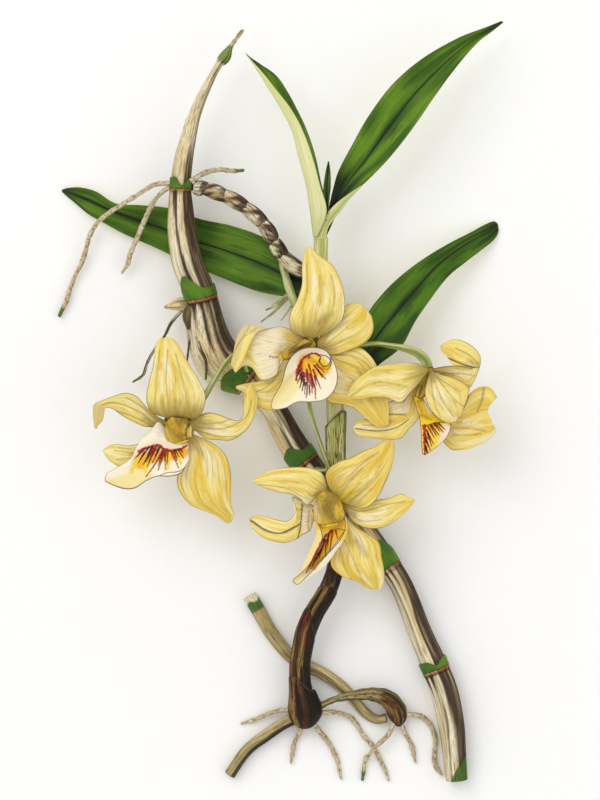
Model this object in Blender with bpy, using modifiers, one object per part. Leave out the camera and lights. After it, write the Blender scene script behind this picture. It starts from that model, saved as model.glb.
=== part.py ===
# Dendrobium orchid out of the ground, lying on a surface: canes, leafy stem, roots, leaves, four blooms.
# The script works in millimetres and scales to metres as it makes each mesh. +Z is up, +Y runs up along
# the plant, and Z = 0 is the surface. The origin is under the middle of the whole plant.

import math

import bmesh
import bpy
from mathutils import Matrix, Vector

MM = 0.001
COLLECTION = "dendrobium_orchid"

# Driving dimensions, mm
LEAF_THICKNESS = 0.9
PETAL_THICKNESS = 0.65
PETAL_CROWN = 0.07  # rise of a petal's middle, as a share of its width
CANE_FURROW = 0.03  # depth of the cane's lengthwise furrows, as a share of its radius
CANE_FURROWS = 7
CUFF_RISE = 0.5
ROOT_RADIUS = 1.05
WIRY_ROOT_RADIUS = 0.65
OFFSHOOT_WAIST = 1.9
OFFSHOOT_BELLY = 1.05
OFFSHOOT_SCALES = 6
LIP_SPIRAL = 1.9  # how far the rolled lip of the first bloom climbs round its throat
LIP_BOWL = 1.6

# Colours, linear RGB
CANE_TAN = (0.36, 0.29, 0.20)
SCALE_BROWN = (0.25, 0.18, 0.12)
SHEATH_BROWN = (0.20, 0.11, 0.05)
LEAF_GREEN = (0.07, 0.19, 0.03)
STALK_GREEN = (0.24, 0.33, 0.12)
OLD_CANE = (0.27, 0.25, 0.14)
PETAL_YELLOW = (0.86, 0.72, 0.30)
LIP_CREAM = (0.88, 0.76, 0.48)
COLUMN_GOLD = (0.42, 0.29, 0.05)

# Stem routes: x, y, z of the centre and the radius there, from base to tip
FLOWERING_CANE = [
    (76.5, -163.2, 4.4, 4.6), (75.5, -152.4, 4.9, 5.0), (74.0, -138.7, 5.7, 5.6), (71.0, -124.5, 6.0, 5.8),
    (67.1, -114.6, 6.1, 5.7), (60.6, -99.5, 6.2, 5.1), (52.9, -79.8, 6.3, 4.8), (45.6, -68.2, 6.4, 4.9),
    (35.3, -54.4, 6.4, 5.2), (24.1, -41.9, 6.4, 5.6), (9.5, -23.9, 6.8, 6.3), (4.3, -15.7, 7.0, 6.0),
    (-3.4, -2.4, 7.2, 5.8), (-12.5, 8.8, 8.0, 7.3), (-25.4, 17.4, 9.0, 10.2), (-30.5, 27.7, 9.8, 9.0),
    (-34.4, 46.7, 12.6, 6.8), (-39.6, 60.4, 14.0, 6.6), (-42.1, 74.2, 15.3, 6.1), (-42.6, 84.9, 16.3, 5.2),
    (-42.6, 93.1, 17.2, 4.4), (-41.3, 104.3, 18.3, 4.0), (-39.1, 114.2, 19.4, 3.3), (-36.5, 123.6, 20.4, 2.7),
    (-31.4, 135.2, 21.8, 2.0), (-26.2, 144.7, 23.0, 1.6), (-23.4, 148.1, 23.4, 2.5), (-21.1, 152.4, 24.0, 1.1),
    (-18.5, 155.9, 24.5, 0.8), (-15.9, 159.3, 25.0, 0.7),
]
# Where a bract cuff circles the cane: x, y and half the cuff's length
CANE_CUFFS = [
    (67.1, -114.6, 5.0), (45.6, -68.2, 5.0), (8.2, -22.0, 5.0), (-12.5, 8.8, 5.0), (-34.4, 48.5, 6.0),
    (-42.6, 94.0, 4.0),
]
LEAFY_STEM = [
    (11.0, -139.5, 4.6, 2.5), (10.8, -137.4, 5.8, 5.2), (10.8, -133.1, 6.9, 7.0), (9.9, -127.9, 7.6, 6.0),
    (8.8, -122.8, 8.7, 4.4), (8.6, -112.9, 9.6, 4.0), (9.9, -104.3, 10.8, 3.9), (11.2, -98.7, 11.3, 3.9),
    (15.0, -90.1, 12.2, 3.7), (20.2, -81.5, 13.1, 3.4), (23.6, -72.0, 14.0, 3.1), (24.9, -61.3, 14.9, 3.2),
    (25.4, -48.4, 15.7, 3.3), (24.7, -35.5, 16.3, 3.4), (24.1, -24.7, 16.9, 3.5), (23.9, -15.3, 17.5, 3.6),
    (23.9, -5.4, 18.0, 3.8), (22.8, 11.8, 18.3, 3.4), (20.6, 29.0, 18.3, 3.2), (18.5, 46.2, 18.4, 3.0),
    (17.6, 59.1, 18.8, 2.9), (17.6, 70.4, 19.5, 3.1),
]
OFFSHOOT = [
    (-37.1, 92.5, 16.6), (-34.0, 92.0, 16.7), (-29.7, 91.2, 17.0), (-23.2, 88.8, 17.4), (-14.6, 83.6, 17.9),
    (-7.3, 76.8, 18.4), (-2.6, 69.4, 18.8), (0.4, 63.9, 19.0), (4.7, 59.6, 19.2), (9.5, 56.5, 19.3),
    (13.8, 55.3, 19.3),
]
OFFSHOOT_STALK = [
    (2.1, 55.3, 15.4, 1.6), (3.4, 50.5, 15.8, 1.8), (5.2, 45.4, 16.5, 1.8), (7.3, 39.8, 17.2, 1.7),
    (11.2, 33.3, 17.9, 1.5), (16.1, 29.5, 18.2, 1.4),
]
BRACTS = [
    [(4.4, 46.5, 16.6, 0.9), (-2.0, 39.5, 15.8, 0.6), (-8.0, 34.8, 15.0, 0.35)],
    [(4.6, 47.0, 16.8, 0.9), (-1.5, 42.0, 16.4, 0.6), (-6.0, 39.8, 16.2, 0.35)],
]
CUT_CANE = [
    (-13.3, -83.6, 3.1, 3.1), (-9.5, -89.7, 3.0, 3.0), (-3.9, -99.5, 2.9, 2.9), (4.7, -109.9, 2.7, 2.7),
    (11.2, -113.7, 2.6, 2.6), (17.6, -116.7, 2.6, 2.6), (25.8, -122.3, 2.5, 2.5), (31.8, -128.4, 2.3, 2.3),
    (37.0, -134.4, 2.2, 2.2), (41.7, -137.0, 2.6, 2.0), (45.8, -136.5, 3.4, 1.9),
]
CUT_STEM = [
    (4.9, -137.0, 4.5, 2.5), (0.4, -139.5, 3.7, 2.5), (-5.2, -143.4, 2.8, 2.5), (-14.2, -150.3, 2.4, 2.4),
    (-21.9, -161.0, 2.3, 2.3),
]
RHIZOME = [
    (18.0, -130.5, 7.0, 1.5), (22.8, -128.4, 7.4, 1.3), (27.9, -127.1, 7.6, 1.7), (34.4, -126.0, 7.6, 2.3),
    (40.0, -126.0, 7.2, 3.0), (45.6, -127.5, 6.3, 3.7), (49.0, -130.5, 5.4, 4.1), (50.7, -134.4, 4.6, 4.3),
    (51.2, -137.4, 4.0, 3.2), (51.2, -139.1, 3.8, 1.8),
]

# Roots and buds, each sunk into the stem that it grows from
STEM_ROOTS = [
    [(8.2, -133.1, 5.5), (1.3, -132.9, 4.2), (-4.3, -134.4, 2.4), (-10.3, -137.0, 1.4), (-16.8, -139.1, 1.1)],
    [(10.1, -136.5, 5.0), (8.4, -142.5, 2.4), (6.2, -147.3, 1.3), (4.7, -156.3, 1.1)],
    [(12.9, -136.5, 5.0), (17.2, -142.5, 2.4), (21.1, -147.3, 1.3), (24.9, -155.4, 1.1), (26.4, -162.8, 1.1)],
    [(14.6, -134.4, 5.5), (20.6, -133.9, 4.8), (26.2, -134.4, 3.4), (31.4, -137.0, 1.8), (36.1, -144.3, 1.2),
     (40.9, -149.9, 1.1), (44.7, -157.6, 1.1), (46.9, -163.6, 1.1)],
]
BULB_ROOTS = [
    [(49.9, -136.1, 4.2), (46.9, -143.4, 3.9), (41.7, -148.6, 4.0), (39.6, -151.1, 3.6), (37.0, -154.6, 1.7), (35.7, -163.2, 1.1)],
    [(51.2, -136.5, 4.0), (54.2, -143.4, 1.6), (56.8, -148.1, 1.1), (58.7, -155.9, 1.1)],
    [(52.0, -134.8, 4.4), (56.8, -135.0, 3.4), (61.5, -136.1, 1.8), (65.4, -140.2, 1.2), (67.1, -146.4, 1.1),
     (66.7, -154.6, 1.1), (67.9, -158.5, 1.1), (70.1, -161.0, 1.1)],
]
AERIAL_ROOTS = [
    [(-43.9, 93.5, 17.0), (-48.2, 94.2, 17.4), (-54.2, 93.5, 16.5), (-60.2, 90.1, 14.0), (-70.1, 84.1, 9.8),
     (-77.0, 79.3, 7.4), (-81.7, 73.3, 5.2), (-84.7, 63.4, 3.5), (-89.4, 53.1, 2.4), (-93.3, 42.4, 1.9),
     (-95.5, 37.6, 1.7)],
    [(-44.3, 92.7, 16.5), (-48.2, 92.2, 16.0), (-53.3, 87.9, 14.0), (-57.2, 81.1, 11.0), (-60.2, 74.2, 8.5),
     (-64.1, 65.6, 6.0), (-66.2, 59.6, 4.0), (-68.4, 56.1, 3.0)],
    [(-41.3, 94.4, 18.5), (-37.0, 95.9, 19.6), (-31.8, 98.7, 19.6), (-26.2, 100.0, 19.2), (-20.2, 99.5, 18.2),
     (-15.9, 99.8, 17.2)],
]
WIRY_ROOTS = [
    [(-40.4, 41.1, 12.6), (-46.4, 35.0, 11.0), (-50.3, 27.7, 10.0), (-54.2, 22.6, 9.5), (-57.2, 17.4, 8.0),
     (-59.3, 11.8, 6.0), (-63.6, 8.8, 4.5)],
    [(-38.7, 34.6, 14.0), (-39.1, 26.4, 13.0), (-40.0, 17.8, 11.5)],
    [(-36.1, 30.3, 16.0), (-34.4, 23.4, 18.3), (-31.8, 17.8, 18.6), (-31.8, 10.1, 16.4)],
]
NODE_BUDS = [
    [(-37.0, 42.8, 12.6, 1.9), (-42.1, 42.4, 12.3, 2.2), (-45.6, 41.9, 12.0, 1.6), (-49.4, 41.1, 11.6, 0.6)],
    [(-37.8, 42.8, 14.5, 1.2), (-39.6, 37.6, 15.4, 1.7), (-39.6, 32.0, 14.6, 0.7)],
]

# Flower stalks: x, y, z and radius, from the cane to the back of each bloom
PEDICELS = {
    "bloom_1": [
        (15.5, -28.6, 13.3, 0.9), (18.9, -29.0, 17.5, 0.9), (20.6, -28.2, 20.5, 0.9), (19.4, -23.9, 23.0, 0.9),
        (16.8, -16.1, 25.5, 0.9), (14.2, -7.5, 27.0, 0.9), (12.5, -0.2, 27.6, 1.0), (12.5, 11.8, 28.0, 1.3),
        (13.3, 22.5, 28.3, 1.7), (13.3, 25.5, 28.4, 1.4),
    ],
    "bloom_2": [
        (-7.4, 10.3, 14.3, 0.9), (-0.9, 13.5, 19.5, 0.9), (8.6, 17.4, 23.4, 0.9), (21.5, 21.7, 25.2, 0.9),
        (33.1, 24.1, 26.2, 1.0), (40.9, 25.2, 27.0, 1.1), (46.9, 24.5, 28.0, 1.2), (52.9, 23.3, 29.2, 1.5),
        (58.5, 21.3, 30.6, 1.9), (61.9, 18.3, 31.8, 2.1), (63.4, 15.7, 32.4, 1.9),
    ],
    "bloom_3": [
        (-14.2, 13.5, 17.2, 0.9), (-15.9, 18.5, 20.6, 0.9), (-18.9, 20.6, 22.2, 0.9), (-22.4, 17.8, 24.0, 1.0),
        (-27.5, 10.5, 26.2, 1.1), (-31.8, 3.2, 27.2, 1.3), (-36.1, -3.2, 27.6, 1.5), (-41.3, -8.0, 27.6, 1.7),
        (-43.4, -9.9, 27.6, 1.4),
    ],
    "bloom_4": [
        (17.6, -34.2, 13.1, 1.0), (18.9, -35.8, 17.5, 1.0), (21.1, -39.2, 22.0, 1.2), (22.3, -42.0, 25.6, 1.6),
        (22.4, -42.8, 27.9, 1.6),
    ],
}

# Leaves: rows from base to tip, each with one edge, the midrib and the other edge
LEAVES = {
    "leaf_upper_left": [
        [(16.3, 71.2, 23.6), (14.6, 70.9, 21.5), (17.2, 71.0, 19.0)],
        [(20.0, 81.9, 26.8), (13.3, 83.6, 22.0), (20.4, 82.8, 18.5)],
        [(17.2, 93.1, 27.5), (11.6, 94.0, 22.5), (17.6, 94.4, 19.0)],
        [(13.8, 105.6, 27.0), (8.6, 105.1, 23.0), (15.0, 106.4, 19.5)],
        [(9.5, 117.2, 26.5), (5.6, 116.7, 23.0), (11.2, 117.6, 19.5)],
        [(4.7, 125.8, 26.0), (1.3, 125.3, 22.5), (7.3, 125.8, 19.5)],
        [(-0.9, 133.1, 25.0), (-3.4, 133.1, 22.0), (3.4, 133.1, 19.5)],
        [(-6.9, 140.8, 23.5), (-7.7, 140.0, 21.5), (-1.7, 140.4, 19.5)],
        [(-12.4, 147.0, 21.8), (-11.6, 146.1, 21.0), (-8.8, 145.4, 20.5)],
        [(-14.8, 149.8, 20.5), (-14.2, 149.2, 20.4), (-13.4, 148.4, 20.3)],
    ],
    "leaf_upper_right": [
        [(17.3, 71.4, 21.2), (18.5, 71.0, 20.9), (19.8, 71.0, 21.0)],
        [(18.3, 77.6, 22.0), (19.8, 76.3, 21.8), (21.9, 75.4, 22.0)],
        [(20.6, 82.8, 22.8), (22.3, 81.8, 22.3), (24.5, 81.1, 22.8)],
        [(22.6, 90.9, 24.0), (25.4, 88.8, 23.0), (30.5, 88.4, 24.3)],
        [(24.9, 98.7, 26.0), (30.1, 95.7, 24.5), (38.7, 96.1, 26.0)],
        [(30.5, 109.4, 27.5), (37.0, 104.3, 26.0), (47.3, 105.1, 27.5)],
        [(37.8, 122.3, 28.0), (46.4, 117.2, 26.5), (56.8, 117.2, 28.0)],
        [(48.2, 136.1, 27.5), (56.8, 130.9, 26.3), (66.2, 130.9, 27.5)],
        [(61.1, 147.3, 25.5), (68.8, 143.4, 24.6), (75.7, 143.8, 25.5)],
        [(76.5, 156.3, 22.5), (80.8, 153.7, 22.0), (84.7, 154.2, 22.5)],
        [(88.2, 161.0, 19.5), (89.9, 159.7, 19.4), (91.6, 159.7, 19.5)],
        [(95.2, 163.9, 17.5), (95.6, 163.6, 17.5), (95.9, 163.2, 17.5)],
    ],
    "leaf_lower_left": [
        [(15.1, 50.5, 16.6), (15.1, 49.0, 16.5), (15.1, 47.5, 16.6)],
        [(8.2, 60.0, 14.0), (8.6, 52.2, 13.0), (8.6, 44.3, 14.0)],
        [(2.1, 65.6, 11.5), (1.3, 55.3, 10.8), (0.9, 45.8, 11.5)],
        [(-7.7, 71.6, 8.5), (-9.5, 60.4, 7.8), (-9.5, 47.9, 8.5)],
        [(-20.6, 76.3, 5.5), (-23.2, 65.6, 4.6), (-24.1, 53.5, 5.5)],
        [(-34.4, 79.3, 4.2), (-37.0, 69.9, 3.3), (-38.7, 59.6, 4.2)],
        [(-48.6, 84.1, 4.0), (-51.6, 75.5, 3.0), (-53.8, 66.9, 4.0)],
        [(-61.1, 85.4, 4.0), (-64.1, 79.8, 3.1), (-67.5, 72.9, 4.0)],
        [(-71.4, 86.2, 3.6), (-74.0, 83.6, 2.9), (-76.1, 77.6, 3.6)],
        [(-79.5, 91.2, 3.0), (-81.7, 87.1, 2.5), (-83.0, 81.5, 3.0)],
        [(-86.4, 93.1, 2.2), (-87.3, 89.2, 2.0), (-88.6, 86.2, 2.2)],
        [(-92.0, 92.9, 1.5), (-92.5, 91.4, 1.4), (-93.3, 90.1, 1.5)],
        [(-94.3, 92.2, 1.0), (-94.5, 91.7, 1.0), (-94.3, 91.2, 1.0)],
    ],
    "leaf_lower_right": [
        [(27.1, 6.2, 20.0), (27.9, 4.9, 19.7), (28.8, 3.7, 20.0)],
        [(29.2, 15.7, 21.0), (31.8, 13.1, 20.3), (34.8, 9.7, 21.0)],
        [(33.1, 27.7, 21.5), (37.4, 22.6, 20.5), (43.0, 16.6, 21.5)],
        [(37.8, 38.5, 20.5), (44.7, 32.5, 19.3), (52.0, 23.9, 20.5)],
        [(44.7, 47.5, 18.5), (51.6, 40.6, 17.4), (58.0, 34.6, 18.5)],
        [(52.9, 55.3, 16.0), (58.9, 49.2, 15.0), (64.5, 44.1, 16.0)],
        [(62.8, 62.6, 12.5), (67.1, 58.3, 11.5), (72.2, 54.0, 12.5)],
        [(73.1, 68.8, 8.5), (76.5, 66.0, 7.7), (80.4, 60.8, 8.5)],
        [(82.6, 73.7, 4.6), (85.1, 71.2, 4.0), (87.7, 66.4, 4.6)],
        [(89.0, 77.2, 2.2), (90.3, 73.7, 1.8), (92.0, 69.9, 2.2)],
        [(92.9, 78.5, 0.9), (93.5, 75.9, 0.7), (94.2, 72.9, 0.9)],
        [(94.2, 77.4, 0.5), (94.4, 76.1, 0.5), (94.6, 74.8, 0.5)],
    ],
    "leaf_young": [
        [(19.4, 77.8, 24.3), (19.9, 77.8, 24.3), (20.4, 77.8, 24.3)],
        [(18.9, 84.9, 24.6), (19.8, 84.5, 24.4), (20.9, 84.5, 24.6)],
        [(18.6, 91.4, 25.0), (19.9, 91.4, 24.7), (21.7, 91.4, 25.0)],
        [(19.4, 97.8, 25.0), (20.4, 97.8, 24.8), (21.7, 97.8, 25.0)],
        [(20.5, 103.0, 25.0), (20.7, 103.2, 25.0), (21.1, 103.0, 25.0)],
    ],
}

# Blooms: the hub, then each petal as rows of points from its claw to its tip, relative to the hub.
# A row runs from one edge to the other; a row of two points takes its middle from PETAL_CROWN.
BLOOMS = {
    "bloom_1": {
        "hub": (13.3, 24.7, 33),
        "dorsal_sepal": [
            [(-1.1, 2.6, 3.0), (1.1, 2.6, 3.0)],
            [(-7.3, 4.7, 3.3), (7.7, 5.2, 3.3)],
            [(-9.2, 9.0, 4.0), (12.9, 9.9, 4.0)],
            [(-8.6, 13.8, 4.5), (14.4, 15.9, 4.5)],
            [(-5.6, 19.8, 5.0), (13.8, 22.8, 5.0)],
            [(-3.9, 26.2, 4.5), (12.0, 28.4, 4.5)],
            [(-3.9, 32.7, 3.0), (8.6, 34.4, 3.0)],
            [(-3.0, 38.3, 1.0), (3.0, 38.3, 1.0)],
            [(-1.5, 42.1, -0.5), (-0.4, 42.1, -0.5)],
        ],
        "right_petal": [
            [(2.6, 1.3, 0.8), (2.9, -1.3, 0.3)],
            [(6.0, 7.3, 1.0), (8.6, -4.3, 0.0)],
            [(10.3, 12.9, 1.0), (16.3, -2.4, 0.0)],
            [(14.2, 16.3, 1.0), (23.2, 0.9, 0.0)],
            [(17.6, 17.8, 0.5), (26.4, 6.0, -0.5)],
            [(20.0, 17.6, -0.5), (26.0, 11.6, -1.0)],
            [(21.5, 16.8, -1.5), (23.6, 15.0, -1.5)],
        ],
        "right_sepal": [
            [(2.4, -1.9, -1.8), (1.1, -2.6, -1.8)],
            [(4.3, -3.0, -1.8), (2.6, -6.9, -1.8)],
            [(12.0, -2.1, -2.0), (6.0, -16.3, -2.0)],
            [(19.8, -0.9, -2.0), (7.3, -24.1, -2.0)],
            [(25.4, -4.7, -2.0), (13.8, -25.6, -2.0)],
            [(29.2, -11.2, -2.0), (18.5, -27.3, -2.0)],
            [(32.7, -19.8, -2.2), (23.2, -31.2, -2.2)],
            [(33.3, -27.5, -2.5), (27.9, -34.8, -2.5)],
            [(33.1, -34.0, -2.8), (31.4, -35.0, -2.8)],
        ],
        "left_petal": [
            [(-2.1, 1.5, 0.0), (-2.4, 0.7, 0.0), (-2.4, -0.1, 0.0), (-2.3, -0.9, 0.0)],
            [(-3.0, 3.4, 0.0), (-5.6, 1.3, 0.0), (-8.2, -1.7, 0.0), (-9.5, -3.4, 0.0)],
            [(-8.6, 6.5, 0.0), (-9.9, 3.0, 0.0), (-11.6, -1.3, 0.0), (-12.5, -5.2, 0.0)],
            [(-13.8, 7.7, 0.5), (-14.6, 3.9, 1.5), (-14.6, -2.1, 1.5), (-13.8, -9.0, 1.0)],
            [(-20.2, 6.0, 5.0), (-23.6, 7.7, 3.5), (-18.5, -3.0, 2.0), (-15.0, -13.3, 1.0)],
            [(-23.6, 3.9, 6.0), (-27.9, 7.7, 4.0), (-23.6, -4.7, 2.3), (-21.1, -15.3, 1.0)],
            [(-26.7, -2.1, 6.0), (-31.0, 3.9, 4.0), (-27.9, -3.0, 2.0), (-24.9, -10.3, 1.0)],
            [(-28.8, -7.3, 5.0), (-32.7, -3.0, 3.5), (-31.0, -5.2, 1.8), (-28.4, -9.0, 1.0)],
            [(-31.4, -11.2, 3.5), (-34.0, -9.0, 2.8), (-33.5, -9.9, 1.6), (-32.2, -12.0, 1.2)],
        ],
        "left_sepal": [
            [(-1.9, -1.5, -1.8), (-0.6, -2.6, -1.8)],
            [(-6.5, -3.0, -1.9), (-3.9, -7.3, -1.9)],
            [(-10.8, -5.6, -2.0), (-7.3, -10.3, -2.0)],
            [(-13.8, -9.9, -2.5), (-11.2, -22.4, -2.5)],
            [(-15.9, -13.3, -3.0), (-15.5, -27.5, -3.0)],
            [(-20.2, -15.0, -3.5), (-20.6, -27.3, -3.5)],
            [(-25.4, -16.1, -4.0), (-25.8, -24.1, -4.0)],
            [(-29.2, -16.8, -4.5), (-29.2, -20.2, -4.5)],
            [(-32.0, -17.6, -5.0), (-32.0, -18.7, -5.0)],
        ],
    },
    "bloom_2": {
        "hub": (64.1, 14.4, 33),
        "left_petal": [
            [(-0.6, -0.2, 1.5), (-1.1, -0.6, 2.0), (-2.1, -2.6, 1.8)],
            [(-4.3, 1.9, 1.0), (-3.9, -0.2, 2.5), (-4.7, -6.2, 2.0)],
            [(-9.0, 2.4, 1.0), (-9.0, -0.4, 3.3), (-8.6, -10.3, 2.5)],
            [(-14.2, 2.1, 1.0), (-14.2, -0.2, 3.8), (-12.9, -14.6, 3.0)],
            [(-18.5, 1.9, 1.0), (-19.4, 0.0, 4.0), (-18.5, -12.5, 3.3)],
            [(-23.2, 0.6, 1.5), (-24.5, -0.9, 4.0), (-24.1, -12.3, 3.3)],
            [(-28.2, -2.0, 2.2), (-29.0, -3.8, 3.4), (-29.2, -13.1, 3.0)],
            [(-32.6, -6.0, 2.2), (-33.1, -8.0, 2.8), (-33.1, -12.7, 2.5)],
            [(-35.0, -10.5, 1.8), (-35.2, -11.3, 2.0), (-35.0, -12.1, 1.8)],
        ],
        "right_petal": [
            [(0.0, -1.3, 2.0), (1.3, -1.3, 2.0)],
            [(-1.5, -5.2, 3.0), (4.7, -2.4, 3.0)],
            [(-2.4, -10.3, 4.0), (9.0, -3.7, 4.0)],
            [(-1.3, -15.0, 4.5), (13.3, -5.6, 4.5)],
            [(1.3, -19.1, 4.5), (16.6, -8.2, 4.5)],
            [(4.7, -21.9, 4.0), (15.9, -11.8, 4.0)],
            [(8.0, -22.9, 3.5), (14.4, -15.9, 3.5)],
            [(10.5, -22.4, 3.0), (12.9, -19.4, 3.0)],
        ],
        "dorsal_sepal": [
            [(1.7, -1.1, 0.0), (1.5, 0.2, 0.0)],
            [(6.5, -3.0, 0.0), (6.5, 1.1, 0.0)],
            [(11.6, -5.2, -0.5), (11.6, 1.3, 0.5)],
            [(16.3, -8.2, -0.5), (14.6, 1.1, 1.0)],
            [(19.1, -4.3, 1.0), (17.4, 0.4, 2.5)],
            [(21.5, 3.0, 3.0), (17.2, 0.6, 4.5)],
            [(20.0, 7.3, 4.5), (13.8, 1.3, 5.0)],
            [(15.0, 11.3, 5.0), (9.5, 1.7, 5.0)],
            [(9.9, 12.5, 5.0), (7.3, 4.7, 4.5)],
            [(6.0, 11.0, 4.5), (4.9, 7.3, 4.0)],
            [(4.1, 9.7, 3.5), (4.5, 8.8, 3.5)],
        ],
        "right_sepal": [
            [(2.1, -0.9, -2.7), (2.1, -1.7, -2.8), (1.7, -2.6, -3.0), (1.1, -3.2, -3.2)],
            [(6.0, -7.3, -2.5), (4.7, -9.9, -3.2), (3.0, -12.5, -3.8), (0.4, -14.2, -4.2)],
            [(9.9, -13.3, -2.0), (7.7, -17.6, -3.2), (6.0, -22.8, -3.8), (3.4, -27.1, -4.2)],
            [(13.8, -13.3, -1.0), (12.9, -21.1, -2.5), (12.0, -27.5, -3.0), (8.6, -34.2, -4.2)],
            [(18.1, -9.5, -0.5), (17.2, -20.2, -2.7), (18.1, -27.1, -2.5), (14.6, -34.4, -4.0)],
            [(21.9, -7.7, -0.5), (21.1, -18.9, -2.7), (22.8, -25.4, -2.2), (20.2, -33.1, -4.0)],
            [(25.8, -8.2, -1.0), (23.2, -18.1, -3.0), (25.8, -25.4, -2.3), (24.9, -30.3, -4.2)],
            [(28.6, -12.0, -2.0), (24.7, -17.6, -3.2), (27.5, -24.9, -2.7), (28.2, -26.7, -4.2)],
        ],
        "left_sepal": [
            [(-2.4, -1.7, -3.5), (-1.7, -2.6, -3.7), (-0.9, -3.2, -3.7)],
            [(-6.9, -7.3, -5.0), (-4.3, -8.6, -5.4), (-2.1, -9.5, -5.0)],
            [(-9.5, -11.2, -5.5), (-6.2, -12.9, -5.7), (-4.5, -14.2, -5.0)],
            [(-11.6, -13.8, -5.7), (-7.3, -18.5, -5.2), (-4.9, -21.1, -4.5)],
            [(-14.2, -13.3, -5.0), (-10.3, -21.9, -4.5), (-8.8, -25.4, -3.0)],
            [(-17.6, -14.2, -5.5), (-16.3, -24.5, -4.5), (-12.5, -29.7, -3.0)],
            [(-21.9, -17.6, -6.0), (-22.8, -25.4, -5.0), (-19.4, -30.1, -3.5)],
            [(-27.1, -21.1, -6.0), (-27.9, -25.6, -5.0), (-25.4, -29.5, -4.0)],
            [(-31.0, -22.4, -6.0), (-31.4, -25.6, -5.5), (-31.0, -28.4, -5.0)],
            [(-32.5, -24.7, -6.0), (-32.7, -25.6, -5.8), (-32.4, -26.4, -5.6)],
        ],
        "lip": [
            [(-7.7, -11.6, -3.1), (-3.2, -12.0, -3.1)],
            [(-6.9, -13.8, -2.5), (-2.1, -14.2, -2.5)],
            [(-5.6, -17.6, -2.0), (0.9, -18.7, -2.0)],
            [(-4.5, -21.9, -1.0), (4.7, -21.9, -0.2)],
            [(-4.1, -25.4, 0.0), (8.6, -23.2, 1.5)],
            [(-3.9, -29.7, 0.5), (7.7, -27.9, 2.0)],
            [(-3.7, -33.5, 0.5), (3.9, -32.5, 1.3)],
            [(-3.3, -36.5, 0.0), (-2.1, -36.8, 0.0)],
        ],
    },
    "bloom_3": {
        "hub": (-43.4, -9.7, 31),
        "dorsal_sepal": [
            [(-3.4, 2.9, 3.2), (2.1, 2.9, 3.2)],
            [(-9.9, 4.7, 3.5), (8.2, 3.4, 3.5)],
            [(-12.9, 8.6, 4.0), (11.2, 7.7, 4.0)],
            [(-13.3, 13.8, 4.5), (11.6, 13.3, 4.5)],
            [(-12.0, 19.4, 5.0), (9.2, 18.9, 5.0)],
            [(-10.5, 25.4, 5.0), (5.8, 24.5, 5.0)],
            [(-9.9, 31.0, 4.0), (2.6, 30.1, 4.0)],
            [(-9.0, 35.3, 2.5), (-0.2, 34.8, 2.5)],
            [(-7.3, 37.2, 1.0), (-3.0, 37.4, 1.0)],
        ],
        "left_petal": [
            [(-2.35, 1.1, 0.2), (-2.35, -0.8, 0.1)],
            [(-8.2, 3.4, 0.2), (-9.0, -0.9, 0.2)],
            [(-13.3, 7.7, 1.0), (-14.6, -0.4, 0.7)],
            [(-17.6, 12.3, 2.0), (-19.4, 1.7, 1.5)],
            [(-22.4, 13.8, 2.8), (-24.1, 4.3, 2.3)],
            [(-27.9, 12.3, 3.3), (-27.9, 7.0, 3.0)],
            [(-32.7, 10.5, 3.2), (-31.0, 7.3, 3.2)],
            [(-35.7, 9.0, 2.0), (-31.4, 5.6, 2.0)],
            [(-36.3, 5.2, 0.0), (-32.2, 2.1, 0.0)],
            [(-36.1, 0.9, -2.0), (-34.2, -0.2, -2.0)],
            [(-35.7, -1.3, -3.0), (-35.0, -1.6, -3.0)],
        ],
        "right_petal": [
            [(3.0, 1.1, 0.5), (3.0, -1.1, 0.5)],
            [(7.3, 3.4, 0.5), (7.7, -2.6, 0.5)],
            [(12.5, 5.4, 1.2), (11.6, -5.6, 1.2)],
            [(17.6, 4.5, 2.0), (17.2, -6.2, 2.0)],
            [(22.4, 2.6, 2.6), (23.2, -6.2, 2.6)],
            [(26.0, 2.1, 2.6), (28.8, -2.4, 2.6)],
            [(27.7, 4.7, 2.4), (32.2, 2.8, 2.4)],
            [(27.7, 9.5, 2.0), (33.9, 9.5, 2.0)],
            [(28.4, 14.2, 1.5), (33.3, 14.0, 1.5)],
            [(30.3, 17.8, 0.5), (31.8, 17.4, 0.5)],
        ],
        "right_sepal": [
            [(0.4, -2.7, -0.1), (2.6, -2.1, -0.1)],
            [(4.3, -4.3, 0.0), (7.7, -4.3, 0.0)],
            [(3.4, -9.0, 0.3), (14.2, -7.3, 0.3)],
            [(2.1, -15.0, 0.3), (19.8, -12.0, 0.3)],
            [(-0.4, -21.9, 0.0), (22.1, -18.5, 0.0)],
            [(0.4, -27.5, -0.5), (22.6, -24.9, -0.5)],
            [(4.7, -33.5, -1.5), (22.4, -31.0, -1.5)],
            [(11.2, -36.5, -3.0), (22.8, -34.8, -3.0)],
            [(16.8, -39.1, -4.5), (23.9, -38.3, -4.5)],
            [(20.6, -42.1, -5.5), (22.6, -41.5, -5.5)],
        ],
        "left_sepal": [
            [(-1.8, -1.5, -1.0), (-0.4, -2.5, -1.0)],
            [(-2.1, -2.1, -1.0), (0.0, -5.6, -1.0)],
            [(-8.2, -4.7, -1.0), (-5.6, -12.9, -1.0)],
            [(-14.6, -7.3, -1.0), (-12.5, -16.8, -1.0)],
            [(-21.1, -8.6, -1.0), (-19.4, -18.1, -1.0)],
            [(-26.7, -8.0, -1.5), (-24.9, -17.8, -1.5)],
            [(-30.5, -9.0, -2.0), (-29.7, -14.8, -2.0)],
            [(-32.2, -10.8, -2.5), (-31.8, -12.0, -2.5)],
        ],
        "lip": [
            [(4.4, -7.4, 3.2), (4.4, -9.0, 4.0), (4.3, -10.3, 3.5), (4.5, -12.9, 3.5), (4.5, -15.5, 3.8)],
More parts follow.
